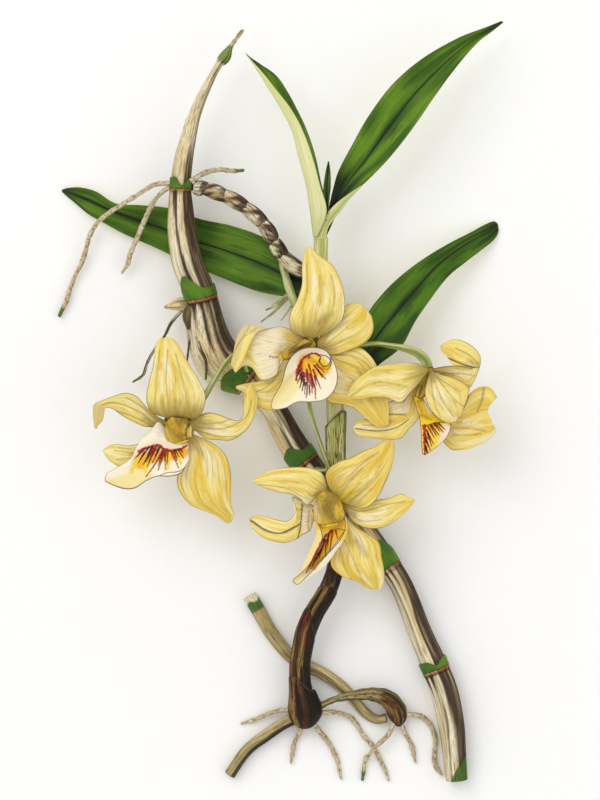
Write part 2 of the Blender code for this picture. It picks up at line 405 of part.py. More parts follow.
            [(0.6, -6.4, 3.0), (0.9, -8.4, 5.0), (0.4, -11.2, 3.6), (0.9, -15.9, 3.8), (1.5, -20.2, 5.5)],
            [(-4.2, -2.6, 3.0), (-3.6, -6.6, 5.8), (-3.6, -10.8, 3.6),
             (-3.9, -16.3, 3.8), (-3.4, -21.7, 6.0)],
            [(-8.2, 1.7, 2.5), (-7.9, -4.8, 6.2), (-8.4, -10.0, 3.6),
             (-9.0, -15.9, 3.8), (-8.6, -21.7, 6.0)],
            [(-11.2, -1.7, 3.0), (-12.7, -6.0, 5.8), (-13.5, -11.4, 3.8),
             (-14.2, -17.2, 3.8), (-13.3, -23.6, 5.5)],
            [(-15.4, -6.3, 3.4), (-16.9, -9.2, 5.4), (-18.0, -13.6, 4.2),
             (-18.1, -19.4, 3.8), (-18.1, -26.7, 5.0)],
            [(-19.4, -13.4, 3.8), (-20.4, -15.8, 4.9), (-21.2, -18.2, 4.5),
             (-21.9, -21.5, 4.2), (-22.8, -27.1, 4.5)],
            [(-25.0, -17.4, 4.1), (-25.6, -19.0, 4.6), (-26.2, -20.6, 4.5),
             (-26.7, -22.8, 4.3), (-27.5, -25.6, 4.0)],
            [(-30.3, -20.4, 3.8), (-30.5, -20.9, 4.3), (-30.8, -21.5, 4.3),
             (-31.1, -22.6, 4.2), (-31.0, -23.9, 3.9)],
        ],
    },
    "bloom_4": {
        "hub": (22.4, -42.8, 30),
        "left_petal": [
            [(-2.0, 1.8, 1.3), (-2.6, 0.2, 1.3)],
            [(-2.6, 8.6, 1.5), (-6.0, 3.0, 1.5)],
            [(-4.3, 12.7, 2.0), (-10.3, -0.9, 2.0)],
            [(-9.0, 14.9, 2.7), (-14.2, 2.1, 2.7)],
            [(-15.0, 15.4, 3.0), (-18.5, 3.9, 3.0)],
            [(-21.9, 14.9, 2.5), (-23.6, 4.7, 2.5)],
            [(-27.3, 13.6, 1.5), (-28.6, 6.2, 1.5)],
            [(-31.8, 11.4, 0.5), (-31.8, 7.7, 0.5)],
            [(-34.0, 10.1, 0.0), (-33.8, 9.0, 0.0)],
        ],
        "dorsal_sepal": [
            [(1.3, 2.6, 3.4), (2.9, 0.9, 3.4)],
            [(-1.9, 7.7, 4.0), (7.7, -0.9, 4.0)],
            [(-2.8, 12.9, 4.5), (12.9, -2.4, 4.5)],
            [(1.7, 17.2, 5.0), (17.2, 0.0, 5.0)],
            [(7.7, 19.4, 5.5), (20.2, 3.9, 5.5)],
            [(12.9, 22.1, 5.0), (23.0, 9.5, 5.0)],
            [(17.6, 23.9, 4.0), (25.2, 15.5, 4.0)],
            [(21.1, 26.2, 3.0), (26.4, 21.5, 3.0)],
            [(23.2, 27.1, 2.0), (26.4, 26.2, 2.0)],
        ],
        "right_petal": [
            [(2.4, 0.2, 0.8), (2.3, -1.3, 0.8)],
            [(4.3, 0.4, 1.0), (5.2, -3.0, 1.0)],
            [(7.7, 0.0, 1.0), (9.0, -8.0, 1.0)],
            [(12.9, 0.0, 1.0), (15.0, -10.8, 1.0)],
            [(18.9, 1.3, 1.3), (21.1, -10.5, 1.3)],
            [(24.1, 2.1, 1.6), (26.7, -7.7, 1.6)],
            [(29.2, 3.9, 1.0), (31.0, -4.3, 1.0)],
            [(32.7, 2.4, 0.0), (33.8, -1.3, 0.0)],
            [(35.0, 1.7, -1.0), (35.3, 0.9, -1.0)],
        ],
        "right_sepal": [
            [(0.4, -2.5, -1.1), (1.7, -2.1, -1.1)],
            [(3.4, -4.7, -1.4), (6.0, -6.0, -1.4)],
            [(3.9, -10.8, -1.0), (10.3, -10.3, -1.0)],
            [(2.6, -16.8, -0.8), (15.9, -13.8, -0.8)],
            [(-0.2, -21.9, -0.8), (20.0, -17.2, -0.8)],
            [(-0.4, -27.1, -1.3), (21.1, -23.2, -1.3)],
            [(4.3, -31.4, -2.3), (22.1, -28.8, -2.3)],
            [(10.3, -33.5, -3.3), (22.1, -33.5, -3.3)],
            [(15.9, -37.2, -4.3), (20.9, -36.8, -4.3)],
        ],
        "left_sepal": [
            [(-2.1, -1.1, -1.2), (-0.9, -2.3, -1.2)],
            [(-8.2, -0.9, -1.5), (-7.7, -7.7, -1.5)],
            [(-12.5, 0.9, -1.0), (-9.5, -11.8, -1.0)],
            [(-16.8, 2.6, 0.5), (-13.3, -14.0, 0.5)],
            [(-15.5, -3.0, 2.0), (-15.5, -15.5, 1.8)],
            [(-18.9, -7.5, 2.3), (-20.2, -17.0, 1.6)],
            [(-24.5, -6.9, 1.5), (-25.4, -16.3, 1.0)],
            [(-30.1, -5.4, 0.5), (-30.5, -14.2, 0.0)],
            [(-34.0, -5.8, -0.5), (-33.8, -10.8, -1.0)],
            [(-35.6, -7.0, -1.5), (-35.4, -8.0, -1.5)],
        ],
        "lip": [
            [(-8.6, -2.6, 4.2), (-8.4, -3.0, 3.2), (-2.1, -3.0, 2.5), (3.9, -2.6, 3.2), (4.1, -2.1, 4.2)],
            [(-6.9, -6.9, 4.8), (-7.1, -7.3, 3.6), (-1.3, -7.3, 2.5), (5.6, -7.3, 3.6), (5.4, -6.9, 4.8)],
            [(-4.7, -11.8, 6.5), (-6.5, -12.3, 4.5), (0.0, -12.0, 2.5),
             (6.2, -10.8, 4.8), (5.4, -10.8, 6.5)],
            [(-4.3, -16.8, 7.5), (-7.5, -15.9, 5.0), (-1.3, -16.8, 2.5),
             (4.9, -15.0, 5.3), (3.4, -15.3, 7.3)],
            [(-6.9, -21.5, 6.8), (-9.7, -20.4, 4.5), (-4.7, -21.1, 2.0),
             (1.3, -20.2, 4.7), (-0.2, -19.6, 6.7)],
            [(-9.5, -25.8, 6.0), (-11.9, -25.8, 4.0), (-8.0, -25.4, 1.8),
             (-3.0, -26.2, 4.0), (-4.7, -24.3, 6.0)],
            [(-12.4, -28.9, 5.2), (-13.8, -30.1, 3.7), (-11.4, -29.9, 2.3),
             (-9.0, -31.0, 3.7), (-8.8, -29.0, 5.4)],
            [(-16.7, -32.5, 4.2), (-16.9, -33.4, 3.7), (-16.3, -34.1, 3.2),
             (-15.4, -34.7, 3.7), (-14.5, -34.7, 4.2)],
        ],
    },
}

# The first bloom's lip is a rolled scoop: its throat, and its rim from the inner curl right round
LIP_THROAT = (-0.9, -4.7, 1.8)
LIP_RIM = [
    (4.3, -9.0, 4.5), (7.3, -8.8, 7.0), (8.4, -5.6, 9.0), (6.2, -2.5, 9.5), (1.3, -1.2, 9.5), (-3.9, -1.9, 9.0),
    (-8.2, -4.9, 8.5), (-10.7, -9.5, 8.0), (-12.5, -16.3, 7.5), (-16.3, -23.2, 6.5), (-16.6, -27.4, 6.0),
    (-11.2, -27.1, 6.5), (-6.0, -24.6, 7.0), (0.4, -24.5, 7.5), (6.0, -23.4, 8.0), (9.9, -19.4, 8.5),
    (11.3, -13.8, 8.5), (10.1, -8.2, 7.5), (8.4, -5.2, 6.3),
]
LIP_RINGS = (0.06, 0.3, 0.55, 0.78, 1.0)

# Columns, relative to the hub: the post (x, y, bottom, top, radius), then the hood's centre, its half
# length, half width and half height, and the heading that it points along, in degrees
COLUMNS = {
    "bloom_1": ((0.0, 0.0, -2.4, 4.4, 2.0), (-6.3, -2.0, 4.6), (8.0, 1.8, 1.8), 210.0),
    "bloom_2": ((-0.2, -1.2, -4.0, 0.8, 1.6), (-3.3, -7.4, -0.8), (6.3, 2.5, 1.9), 248.0),
    "bloom_3": ((0.0, 0.0, -1.2, 4.5, 2.0), (0.2, -1.9, 6.2), (5.2, 3.7, 2.3), 285.0),
    "bloom_4": ((0.0, 0.0, -1.4, 5.4, 2.0), (-1.9, -2.6, 6.0), (6.8, 3.2, 2.4), 279.0),
}


def clear_scene():
    for item in list(bpy.data.objects):
        bpy.data.objects.remove(item, do_unlink=True)


def make_collection(name):
    group = bpy.data.collections.new(name)
    bpy.context.scene.collection.children.link(group)
    return group


def make_material(name, colour, roughness):
    material = bpy.data.materials.new(name)
    material.use_nodes = True
    shader = material.node_tree.nodes["Principled BSDF"]
    shader.inputs["Base Color"].default_value = (*colour, 1.0)
    shader.inputs["Roughness"].default_value = roughness
    shader.inputs["Metallic"].default_value = 0.0
    return material


class Route:
    """A smooth curve through points set by hand; values after x, y, z, such as a radius, go along."""

    def __init__(self, points, knots=None):
        self.points = [tuple(float(value) for value in point) for point in points]
        self.knots = list(knots) if knots else chord_knots(self.points)
        self.length = self.knots[-1]
        last = len(self.points) - 1
        self.slopes = []
        for index in range(last + 1):
            before = max(index - 1, 0)
            after = min(index + 1, last)
            span = self.knots[after] - self.knots[before]
            self.slopes.append(
                [(b - a) / span for a, b in zip(self.points[before], self.points[after])]
            )

    def at(self, distance):
        distance = min(max(distance, 0.0), self.length)
        index = 0
        while index < len(self.points) - 2 and distance > self.knots[index + 1]:
            index += 1
        span = self.knots[index + 1] - self.knots[index]
        t = (distance - self.knots[index]) / span
        start_weight = (1 + 2 * t) * (1 - t) ** 2
        start_slope = t * (1 - t) ** 2 * span
        end_weight = t * t * (3 - 2 * t)
        end_slope = t * t * (t - 1) * span
        return [
            start_weight * a + start_slope * slope_a + end_weight * b + end_slope * slope_b
            for a, b, slope_a, slope_b in zip(
                self.points[index], self.points[index + 1], self.slopes[index], self.slopes[index + 1]
            )
        ]

    def spread(self, number):
        """Distance along the route of a point's number, whole or in between."""
        index = min(int(number), len(self.points) - 2)
        return self.knots[index] + (number - index) * (self.knots[index + 1] - self.knots[index])

    def nearest(self, x, y):
        """Distance along the route of the point nearest to x, y in plan."""
        samples = [self.length * step / 400 for step in range(401)]
        return min(samples, key=lambda distance: math.dist(self.at(distance)[:2], (x, y)))


def chord_knots(points):
    knots = [0.0]
    for a, b in zip(points, points[1:]):
        knots.append(knots[-1] + max(math.dist(a[:3], b[:3]), 0.01))
    return knots


def make_tube(route_points, sides, step, furrow=0.0, furrows=1, swelling=None):
    """A closed tube along a route whose points carry the radius; nothing of it goes below the surface."""
    route = Route(route_points)
    rings = max(2, round(route.length / step))
    mesh = bmesh.new()
    bmesh.ops.create_cone(mesh, cap_ends=True, segments=sides, radius1=1.0, radius2=1.0, depth=1.0)
    risers = [edge for edge in mesh.edges if abs(edge.verts[0].co.z - edge.verts[1].co.z) > 0.5]
    bmesh.ops.subdivide_edges(mesh, edges=risers, cuts=rings - 1)
    frames = []
    side = None
    for ring in range(rings + 1):
        distance = route.length * ring / rings
        ahead = Vector(route.at(distance + 0.5)[:3])
        behind = Vector(route.at(distance - 0.5)[:3])
        tangent = (ahead - behind).normalized()
        if side is None:
            side = Vector((0.0, 0.0, 1.0)).cross(tangent)
        side = (side - side.dot(tangent) * tangent).normalized()
        x, y, z, radius = route.at(distance)
        if swelling:
            radius += swelling(distance)
        frames.append((Vector((x, y, z)), side.copy(), tangent.cross(side), radius))
    for vertex in mesh.verts:
        centre, side, up, radius = frames[round((vertex.co.z + 0.5) * rings)]
        angle = math.atan2(vertex.co.y, vertex.co.x)
        reach = radius * (1.0 + furrow * math.cos(furrows * angle))
        place = centre + reach * (math.cos(angle) * side + math.sin(angle) * up)
        place.z = max(place.z, 0.0)
        vertex.co = place * MM
    return mesh


def make_patch(rows, along, across, crown=0.0):
    """An open sheet through rows of points, split into triangles so that both its faces are alike."""
    rows = [crowned(row, crown) for row in rows]
    middles = [[sum(values) / len(row) for values in zip(*row)] for row in rows]
    knots = chord_knots(middles)
    columns = [Route(column, knots) for column in zip(*rows)]
    mesh = bmesh.new()
    bmesh.ops.create_grid(mesh, x_segments=across, y_segments=along, size=1.0)
    for vertex in mesh.verts:
        distance = (vertex.co.y + 1.0) / 2.0 * knots[-1]
        row = Route([column.at(distance) for column in columns])
        number = (vertex.co.x + 1.0) / 2.0 * (len(columns) - 1)
        vertex.co = Vector(row.at(row.spread(number))) * MM
    bmesh.ops.triangulate(mesh, faces=mesh.faces[:])
    return mesh


def crowned(row, crown):
    """A row of two edge points gains a raised middle; any other row is used as it is."""
    if len(row) > 2:
        return row
    left, right = (Vector(point) for point in row)
    middle = (left + right) / 2 + Vector((0.0, 0.0, crown * (right - left).length))
    return [tuple(left), tuple(middle), tuple(right)]


def add_object(name, mesh, material, group, place=None):
    data = bpy.data.meshes.new(name)
    mesh.to_mesh(data)
    mesh.free()
    data.materials.append(material)
    data.shade_smooth()
    item = bpy.data.objects.new(name, data)
    group.objects.link(item)
    if place is not None:
        item.parent = place
    return item


def thicken(item, thickness):
    solid = item.modifiers.new("thickness", "SOLIDIFY")
    solid.thickness = thickness * MM
    solid.offset = 0.0
    solid.use_even_offset = False
    return item


def fuse(item, others):
    """Joins other objects into one by Boolean union, then removes them."""
    for other in others:
        union = item.modifiers.new("union", "BOOLEAN")
        union.operation = "UNION"
        union.object = other
    bpy.context.view_layer.update()
    shape = item.evaluated_get(bpy.context.evaluated_depsgraph_get())
    data = bpy.data.meshes.new_from_object(shape)
    data.name = item.name
    item.modifiers.clear()
    old = item.data
    item.data = data
    bpy.data.meshes.remove(old)
    for other in others:
        bpy.data.objects.remove(other, do_unlink=True)
    return item


def with_radius(route, radius, tip):
    """The route with one radius all along, and another at its tip."""
    return [(*point, radius) for point in route[:-1]] + [(*route[-1], tip)]


def add_roots(routes, radius, material, group):
    return [
        add_object("root", make_tube(with_radius(route, radius, radius * 0.7), 6, 9.0), material, group)
        for route in routes
    ]


def add_flowering_cane(group, material):
    route = Route(FLOWERING_CANE)
    cuffs = [(route.nearest(x, y), half) for x, y, half in CANE_CUFFS]

    def swelling(distance):
        return sum(CUFF_RISE for place, half in cuffs if abs(distance - place) < half)

    tube = make_tube(FLOWERING_CANE, 2 * CANE_FURROWS, 7.0, CANE_FURROW, CANE_FURROWS, swelling)
    cane = add_object("flowering_cane", tube, material, group)
    roots = add_roots(AERIAL_ROOTS, ROOT_RADIUS, material, group)
    roots += add_roots(WIRY_ROOTS, WIRY_ROOT_RADIUS, material, group)
    buds = [add_object("bud", make_tube(route, 8, 3.0), material, group) for route in NODE_BUDS]
    return fuse(cane, roots + buds)


def add_offshoot(group, material):
    route = Route(OFFSHOOT)

    def swelling(distance):
        return OFFSHOOT_BELLY * abs(math.sin(math.pi * OFFSHOOT_SCALES * distance / route.length))

    points = [(*point, OFFSHOOT_WAIST) for point in OFFSHOOT]
    return add_object("offshoot", make_tube(points, 9, 2.5, 0.0, 1, swelling), material, group)


def add_offshoot_stalk(group, material):
    stalk = add_object("offshoot_stalk", make_tube(OFFSHOOT_STALK, 8, 4.0), material, group)
    bracts = [add_object("bract", make_tube(route, 5, 5.0), material, group) for route in BRACTS]
    return fuse(stalk, bracts)


def add_stems(group, materials):
    stem = add_object("leafy_stem", make_tube(LEAFY_STEM, 12, 5.0), materials["sheath"], group)
    fuse(stem, add_roots(STEM_ROOTS, ROOT_RADIUS, materials["sheath"], group))
    rhizome = add_object("rhizome", make_tube(RHIZOME, 12, 2.5), materials["sheath"], group)
    fuse(rhizome, add_roots(BULB_ROOTS, ROOT_RADIUS, materials["sheath"], group))
    add_object("cut_cane", make_tube(CUT_CANE, 10, 5.0), materials["old_cane"], group)
    add_object("cut_stem", make_tube(CUT_STEM, 10, 5.0), materials["old_cane"], group)


def add_leaves(group, material):
    for name, rows in LEAVES.items():
        sheet = make_patch(rows, 3 * (len(rows) - 1) // 2, 4)
        thicken(add_object(name, sheet, material, group), LEAF_THICKNESS)


def add_hub(name, place, group):
    hub = bpy.data.objects.new(name + "_hub", None)
    hub.location = Vector(place) * MM
    group.objects.link(hub)
    return hub


def lip_scoop():
    """Rows from the throat out to the rim; the throat climbs so that the rolled ends pass each other."""
    throat = Vector(LIP_THROAT)
    last = len(LIP_RIM) - 1
    rows = []
    for share in LIP_RINGS:
        row = []
        for index, point in enumerate(LIP_RIM):
            start = throat + Vector((0.0, 0.0, LIP_SPIRAL * (1 - index / last)))
            edge = Vector(point)
            flat = start.lerp(edge, share)
            flat.z = start.z + (edge.z - start.z) * share ** LIP_BOWL
            row.append(tuple(flat))
        rows.append(row)
    return rows


def add_column(name, parts, material, group, hub):
    (x, y, bottom, top, radius), centre, half_sizes, heading = parts
    post = bmesh.new()
    middle = Matrix.Translation(Vector((x, y, (bottom + top) / 2)) * MM)
    bmesh.ops.create_cone(
        post, cap_ends=True, segments=10, radius1=radius * MM, radius2=radius * MM,
        depth=(top - bottom) * MM, matrix=middle,
    )
    hood = bmesh.new()
    bmesh.ops.create_uvsphere(hood, u_segments=10, v_segments=6, radius=1.0)
    scale = Matrix.Diagonal((*(size * MM for size in half_sizes), 1.0))
    turn = Matrix.Rotation(math.radians(heading), 4, "Z")
    hood.transform(Matrix.Translation(Vector(centre) * MM) @ turn @ scale)
    column = add_object(name, hood, material, group, hub)
    return fuse(column, [add_object("post", post, material, group, hub)])


def add_bloom(name, parts, group, materials):
    hub = add_hub(name, parts["hub"], group)
    bpy.context.view_layer.update()
    for part, rows in parts.items():
        if part == "hub":
            continue
        material = materials["lip"] if part == "lip" else materials["petal"]
        across = 8 if len(rows[0]) > 3 else 4
        sheet = make_patch(rows, max(7, len(rows)), across, PETAL_CROWN)
        thicken(add_object(f"{name}_{part}", sheet, material, group, hub), PETAL_THICKNESS)
    if "lip" not in parts:
        sheet = make_patch(lip_scoop(), 6, 24)
        thicken(add_object(name + "_lip", sheet, materials["lip"], group, hub), PETAL_THICKNESS)
    add_column(name + "_column", COLUMNS[name], materials["column"], group, hub)
    add_object(name + "_pedicel", make_tube(PEDICELS[name], 7, 5.0), materials["stalk"], group)


def main():
    clear_scene()
    group = make_collection(COLLECTION)
    materials = {
        "cane": make_material("cane_papery", CANE_TAN, 0.7),
        "scale": make_material("offshoot_scale", SCALE_BROWN, 0.7),
        "sheath": make_material("stem_sheath", SHEATH_BROWN, 0.55),
        "old_cane": make_material("old_cane", OLD_CANE, 0.65),
        "leaf": make_material("leaf_green", LEAF_GREEN, 0.4),
        "stalk": make_material("stalk_green", STALK_GREEN, 0.5),
        "petal": make_material("petal_yellow", PETAL_YELLOW, 0.5),
        "lip": make_material("lip_cream", LIP_CREAM, 0.5),
        "column": make_material("column_gold", COLUMN_GOLD, 0.4),
    }
    add_flowering_cane(group, materials["cane"])
    add_offshoot(group, materials["scale"])
    add_offshoot_stalk(group, materials["stalk"])
    add_stems(group, materials)
    add_leaves(group, materials["leaf"])
    for name, parts in BLOOMS.items():
        add_bloom(name, parts, group, materials)


main()
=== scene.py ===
# Looks for the dendrobium orchid: canes, leaves, roots and four blooms, as fine surfaces over the solids.
# Routes and petal rows are in millimetres, in the model's own frame; meshes are in metres.

import math

import bmesh
import bpy
import numpy as np
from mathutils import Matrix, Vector, noise


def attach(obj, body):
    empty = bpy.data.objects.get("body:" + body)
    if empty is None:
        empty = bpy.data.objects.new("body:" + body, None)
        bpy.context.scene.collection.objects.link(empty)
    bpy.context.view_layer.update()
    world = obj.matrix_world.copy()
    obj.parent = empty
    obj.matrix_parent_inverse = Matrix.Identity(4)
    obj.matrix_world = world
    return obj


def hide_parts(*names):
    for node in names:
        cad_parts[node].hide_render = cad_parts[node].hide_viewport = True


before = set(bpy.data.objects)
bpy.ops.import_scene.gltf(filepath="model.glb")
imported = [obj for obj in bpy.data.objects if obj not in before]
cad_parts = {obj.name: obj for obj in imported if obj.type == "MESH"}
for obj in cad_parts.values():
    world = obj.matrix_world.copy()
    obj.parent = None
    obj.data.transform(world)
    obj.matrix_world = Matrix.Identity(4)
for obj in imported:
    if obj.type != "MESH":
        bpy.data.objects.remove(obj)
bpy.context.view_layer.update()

MM = 0.001
MM_PER_PIXEL = 0.43  # of the 600 by 800 photograph, at the plant's height
IMAGE_HEIGHT = 800  # pixels
IMAGE_CENTRE = (8.6, 1.1)  # the photograph's middle, mm
PLANT_HEIGHT = 0.015  # the height at which that scale holds, m
CAMERA_HEIGHT = 2.0  # above the plant, m
CAMERA_REACH = 10.0
SENSOR_MM = 36.0
WORLD_COLOUR = (1.0, 0.99, 0.97, 1.0)
WORLD_STRENGTH = 0.77
# Each lamp's name, place and size in metres, and watts
LAMPS = [("key", (-0.9, 0.9, 1.6), 1.4, 12.0), ("fill", (1.2, -0.4, 1.4), 1.8, 5.0)]
FLOOR_HALF = 1.6
FLOOR_DROP = 0.0003
FLOOR_SPECKLE = 260.0
FLOOR_SHADES = (0.955, 0.985)
FLOOR_ROUGHNESS = 0.85

# Sheets: their thickness and how far a row of two points bulges, then the cells along and across
PETAL_THICKNESS = 0.6
LEAF_THICKNESS = 0.85
PETAL_CROWN = 0.07
CLASP_CROWN = 0.12
RIM_SHARE = 0.35  # of the thickness, at a sheet's rim
RIM_WIDTH = 1.6
PETAL_GRID = (92, 46)
LIP_GRID = (110, 98)
ROLLED_LIP_GRID = (64, 250)
LEAF_GRID = (136, 38)
YOUNG_LEAF_GRID = (40, 16)
CLASP_GRID = (44, 14)
HOOD_GRID = (64, 60)

# Skins round a stem: the step along it in mm, and the points round it
CANE_SKIN = (0.95, 84)
ROOT_SKIN = (0.45, 14)
BUD_SKIN = (0.35, 30)
OFFSHOOT_SKIN = (0.8, 30)
STALK_SKIN = (0.6, 36)
WISP_SKIN = (0.5, 14)
SHOOT_SKIN = (1.0, 60)
RHIZOME_SKIN = (0.45, 56)
CUT_SKIN = (0.45, 48)
POST_SKIN = (0.6, 30)
SEAT_SKIN = (0.2, 48)
PEDICEL_SKIN = (0.5, 30)

# Sleeves: their gap to the stem and thickness in mm, and the points round and along
CUFF_FIT = (0.06, 0.34, 80, 14)
SCALE_FIT = (0.04, 0.32, 52, 24)
SHEATH_FIT = (0.05, 0.32, 60, 46)
INNER_SHADE = 0.7  # a sleeve's inner face against its outer one

ROOT_RADIUS = 1.05
WIRY_ROOT_RADIUS = 0.65
SEAT_HEIGHT = 1.6  # of the receptacle behind a column
HOOD_PINCH = 0.02  # radians left open at each end of a hood
FOOT_HEIGHT = 4.5  # of the green foot at the cane's cut end
STROKE_STEP = 0.6
NO_FLOOR = -9  # the floor of strokes that take at any height
NO_RIM = 9.0  # the rim distance of points that no margin line should reach
BACK_GRAIN = 7.0  # shifts a sheet's back so that its grain differs from its face
SHARP_ANGLE = 60

OFFSHOOT_WAIST = 1.9
GREEN_SCALE = 5  # counted from the cane
OFFSHOOT_BELLY = 1.1025
LIP_SPIRAL = 1.9  # how far the rolled lip of the first bloom climbs round its throat
LIP_BOWL = 1.6
FOLDED_LEAF = "leaf_upper_left"

FLOWERING_CANE = [
    (76.5, -163.2, 4.4, 4.6), (75.5, -152.4, 4.9, 5.0), (74.0, -138.7, 5.7, 5.6), (71.0, -124.5, 6.0, 5.8),
    (67.1, -114.6, 6.1, 5.7), (60.6, -99.5, 6.2, 5.1), (52.9, -79.8, 6.3, 4.8), (45.6, -68.2, 6.4, 4.9),
    (35.3, -54.4, 6.4, 5.2), (24.1, -41.9, 6.4, 5.6), (9.5, -23.9, 6.8, 6.3), (4.3, -15.7, 7.0, 6.0),
    (-3.4, -2.4, 7.2, 5.8), (-12.5, 8.8, 8.0, 7.3), (-25.4, 17.4, 9.0, 10.2), (-30.5, 27.7, 9.8, 9.0),
    (-34.4, 46.7, 12.6, 6.8), (-39.6, 60.4, 14.0, 6.6), (-42.1, 74.2, 15.3, 6.1), (-42.6, 84.9, 16.3, 5.2),
    (-42.6, 93.1, 17.2, 4.4), (-41.3, 104.3, 18.3, 4.0), (-39.1, 114.2, 19.4, 3.3), (-36.5, 123.6, 20.4, 2.7),
    (-31.4, 135.2, 21.8, 2.0), (-26.2, 144.7, 23.0, 1.6), (-23.4, 148.1, 23.4, 2.5),
    (-21.1, 152.4, 24.0, 1.1), (-18.5, 155.9, 24.5, 0.8), (-15.9, 159.3, 25.0, 0.7),
]
LEAFY_STEM = [
    (11.0, -139.5, 4.6, 2.5), (10.8, -137.4, 5.8, 5.2), (10.8, -133.1, 6.9, 7.0), (9.9, -127.9, 7.6, 6.0),
    (8.8, -122.8, 8.7, 4.4), (8.6, -112.9, 9.6, 4.0), (9.9, -104.3, 10.8, 3.9), (11.2, -98.7, 11.3, 3.9),
    (15.0, -90.1, 12.2, 3.7), (20.2, -81.5, 13.1, 3.4), (23.6, -72.0, 14.0, 3.1), (24.9, -61.3, 14.9, 3.2),
    (25.4, -48.4, 15.7, 3.3), (24.7, -35.5, 16.3, 3.4), (24.1, -24.7, 16.9, 3.5), (23.9, -15.3, 17.5, 3.6),
    (23.9, -5.4, 18.0, 3.8), (22.8, 11.8, 18.3, 3.4), (20.6, 29.0, 18.3, 3.2), (18.5, 46.2, 18.4, 3.0),
    (17.6, 59.1, 18.8, 2.9), (17.6, 70.4, 19.5, 3.1),
]
OFFSHOOT = [
    (-37.1, 92.5, 16.6), (-34.0, 92.0, 16.7), (-29.7, 91.2, 17.0), (-23.2, 88.8, 17.4), (-14.6, 83.6, 17.9),
    (-7.3, 76.8, 18.4), (-2.6, 69.4, 18.8), (0.4, 63.9, 19.0), (4.7, 59.6, 19.2), (9.5, 56.5, 19.3),
    (13.8, 55.3, 19.3),
]
OFFSHOOT_STALK = [
    (2.1, 55.3, 15.4, 1.6), (3.4, 50.5, 15.8, 1.8), (5.2, 45.4, 16.5, 1.8), (7.3, 39.8, 17.2, 1.7),
    (11.2, 33.3, 17.9, 1.5), (16.1, 29.5, 18.2, 1.4),
]
BRACTS = [
    [(4.4, 46.5, 16.6, 0.9), (-2.0, 39.5, 15.8, 0.6), (-8.0, 34.8, 15.0, 0.35)],
    [(4.6, 47.0, 16.8, 0.9), (-1.5, 42.0, 16.4, 0.6), (-6.0, 39.8, 16.2, 0.35)],
]
CUT_CANE = [
    (-13.3, -83.6, 3.1, 3.1), (-9.5, -89.7, 3.0, 3.0), (-3.9, -99.5, 2.9, 2.9), (4.7, -109.9, 2.7, 2.7),
    (11.2, -113.7, 2.6, 2.6), (17.6, -116.7, 2.6, 2.6), (25.8, -122.3, 2.5, 2.5), (31.8, -128.4, 2.3, 2.3),
    (37.0, -134.4, 2.2, 2.2), (41.7, -137.0, 2.6, 2.0), (45.8, -136.5, 3.4, 1.9),
]
CUT_STEM = [
    (4.9, -137.0, 4.5, 2.5), (0.4, -139.5, 3.7, 2.5), (-5.2, -143.4, 2.8, 2.5), (-14.2, -150.3, 2.4, 2.4),
    (-21.9, -161.0, 2.3, 2.3),
]
RHIZOME = [
    (18.0, -130.5, 7.0, 1.5), (22.8, -128.4, 7.4, 1.3), (27.9, -127.1, 7.6, 1.7), (34.4, -126.0, 7.6, 2.3),
    (40.0, -126.0, 7.2, 3.0), (45.6, -127.5, 6.3, 3.7), (49.0, -130.5, 5.4, 4.1), (50.7, -134.4, 4.6, 4.3),
    (51.2, -137.4, 4.0, 3.2), (51.2, -139.1, 3.8, 1.8),
]

# Roots and buds, each sunk into the stem that it grows from
STEM_ROOTS = [
    [(8.2, -133.1, 5.5), (1.3, -132.9, 4.2), (-4.3, -134.4, 2.4), (-10.3, -137.0, 1.4), (-16.8, -139.1, 1.1)],
    [(10.1, -136.5, 5.0), (8.4, -142.5, 2.4), (6.2, -147.3, 1.3), (4.7, -156.3, 1.1)],
    [(12.9, -136.5, 5.0), (17.2, -142.5, 2.4), (21.1, -147.3, 1.3), (24.9, -155.4, 1.1), (26.4, -162.8, 1.1)],
    [(14.6, -134.4, 5.5), (20.6, -133.9, 4.8), (26.2, -134.4, 3.4), (31.4, -137.0, 1.8), (36.1, -144.3, 1.2),
     (40.9, -149.9, 1.1), (44.7, -157.6, 1.1), (46.9, -163.6, 1.1)],
]
BULB_ROOTS = [
    [
        (49.9, -136.1, 4.2), (46.9, -143.4, 3.9), (41.7, -148.6, 4.0), (39.6, -151.1, 3.6),
        (37.0, -154.6, 1.7), (35.7, -163.2, 1.1),
    ],
    [(51.2, -136.5, 4.0), (54.2, -143.4, 1.6), (56.8, -148.1, 1.1), (58.7, -155.9, 1.1)],
    [(52.0, -134.8, 4.4), (56.8, -135.0, 3.4), (61.5, -136.1, 1.8), (65.4, -140.2, 1.2), (67.1, -146.4, 1.1),
     (66.7, -154.6, 1.1), (67.9, -158.5, 1.1), (70.1, -161.0, 1.1)],
]
AERIAL_ROOTS = [
    [(-43.9, 93.5, 17.0), (-48.2, 94.2, 17.4), (-54.2, 93.5, 16.5), (-60.2, 90.1, 14.0), (-70.1, 84.1, 9.8),
     (-77.0, 79.3, 7.4), (-81.7, 73.3, 5.2), (-84.7, 63.4, 3.5), (-89.4, 53.1, 2.4), (-93.3, 42.4, 1.9),
     (-95.5, 37.6, 1.7)],
    [(-44.3, 92.7, 16.5), (-48.2, 92.2, 16.0), (-53.3, 87.9, 14.0), (-57.2, 81.1, 11.0), (-60.2, 74.2, 8.5),
     (-64.1, 65.6, 6.0), (-66.2, 59.6, 4.0), (-68.4, 56.1, 3.0)],
    [(-41.3, 94.4, 18.5), (-37.0, 95.9, 19.6), (-31.8, 98.7, 19.6), (-26.2, 100.0, 19.2), (-20.2, 99.5, 18.2),
     (-15.9, 99.8, 17.2)],
]
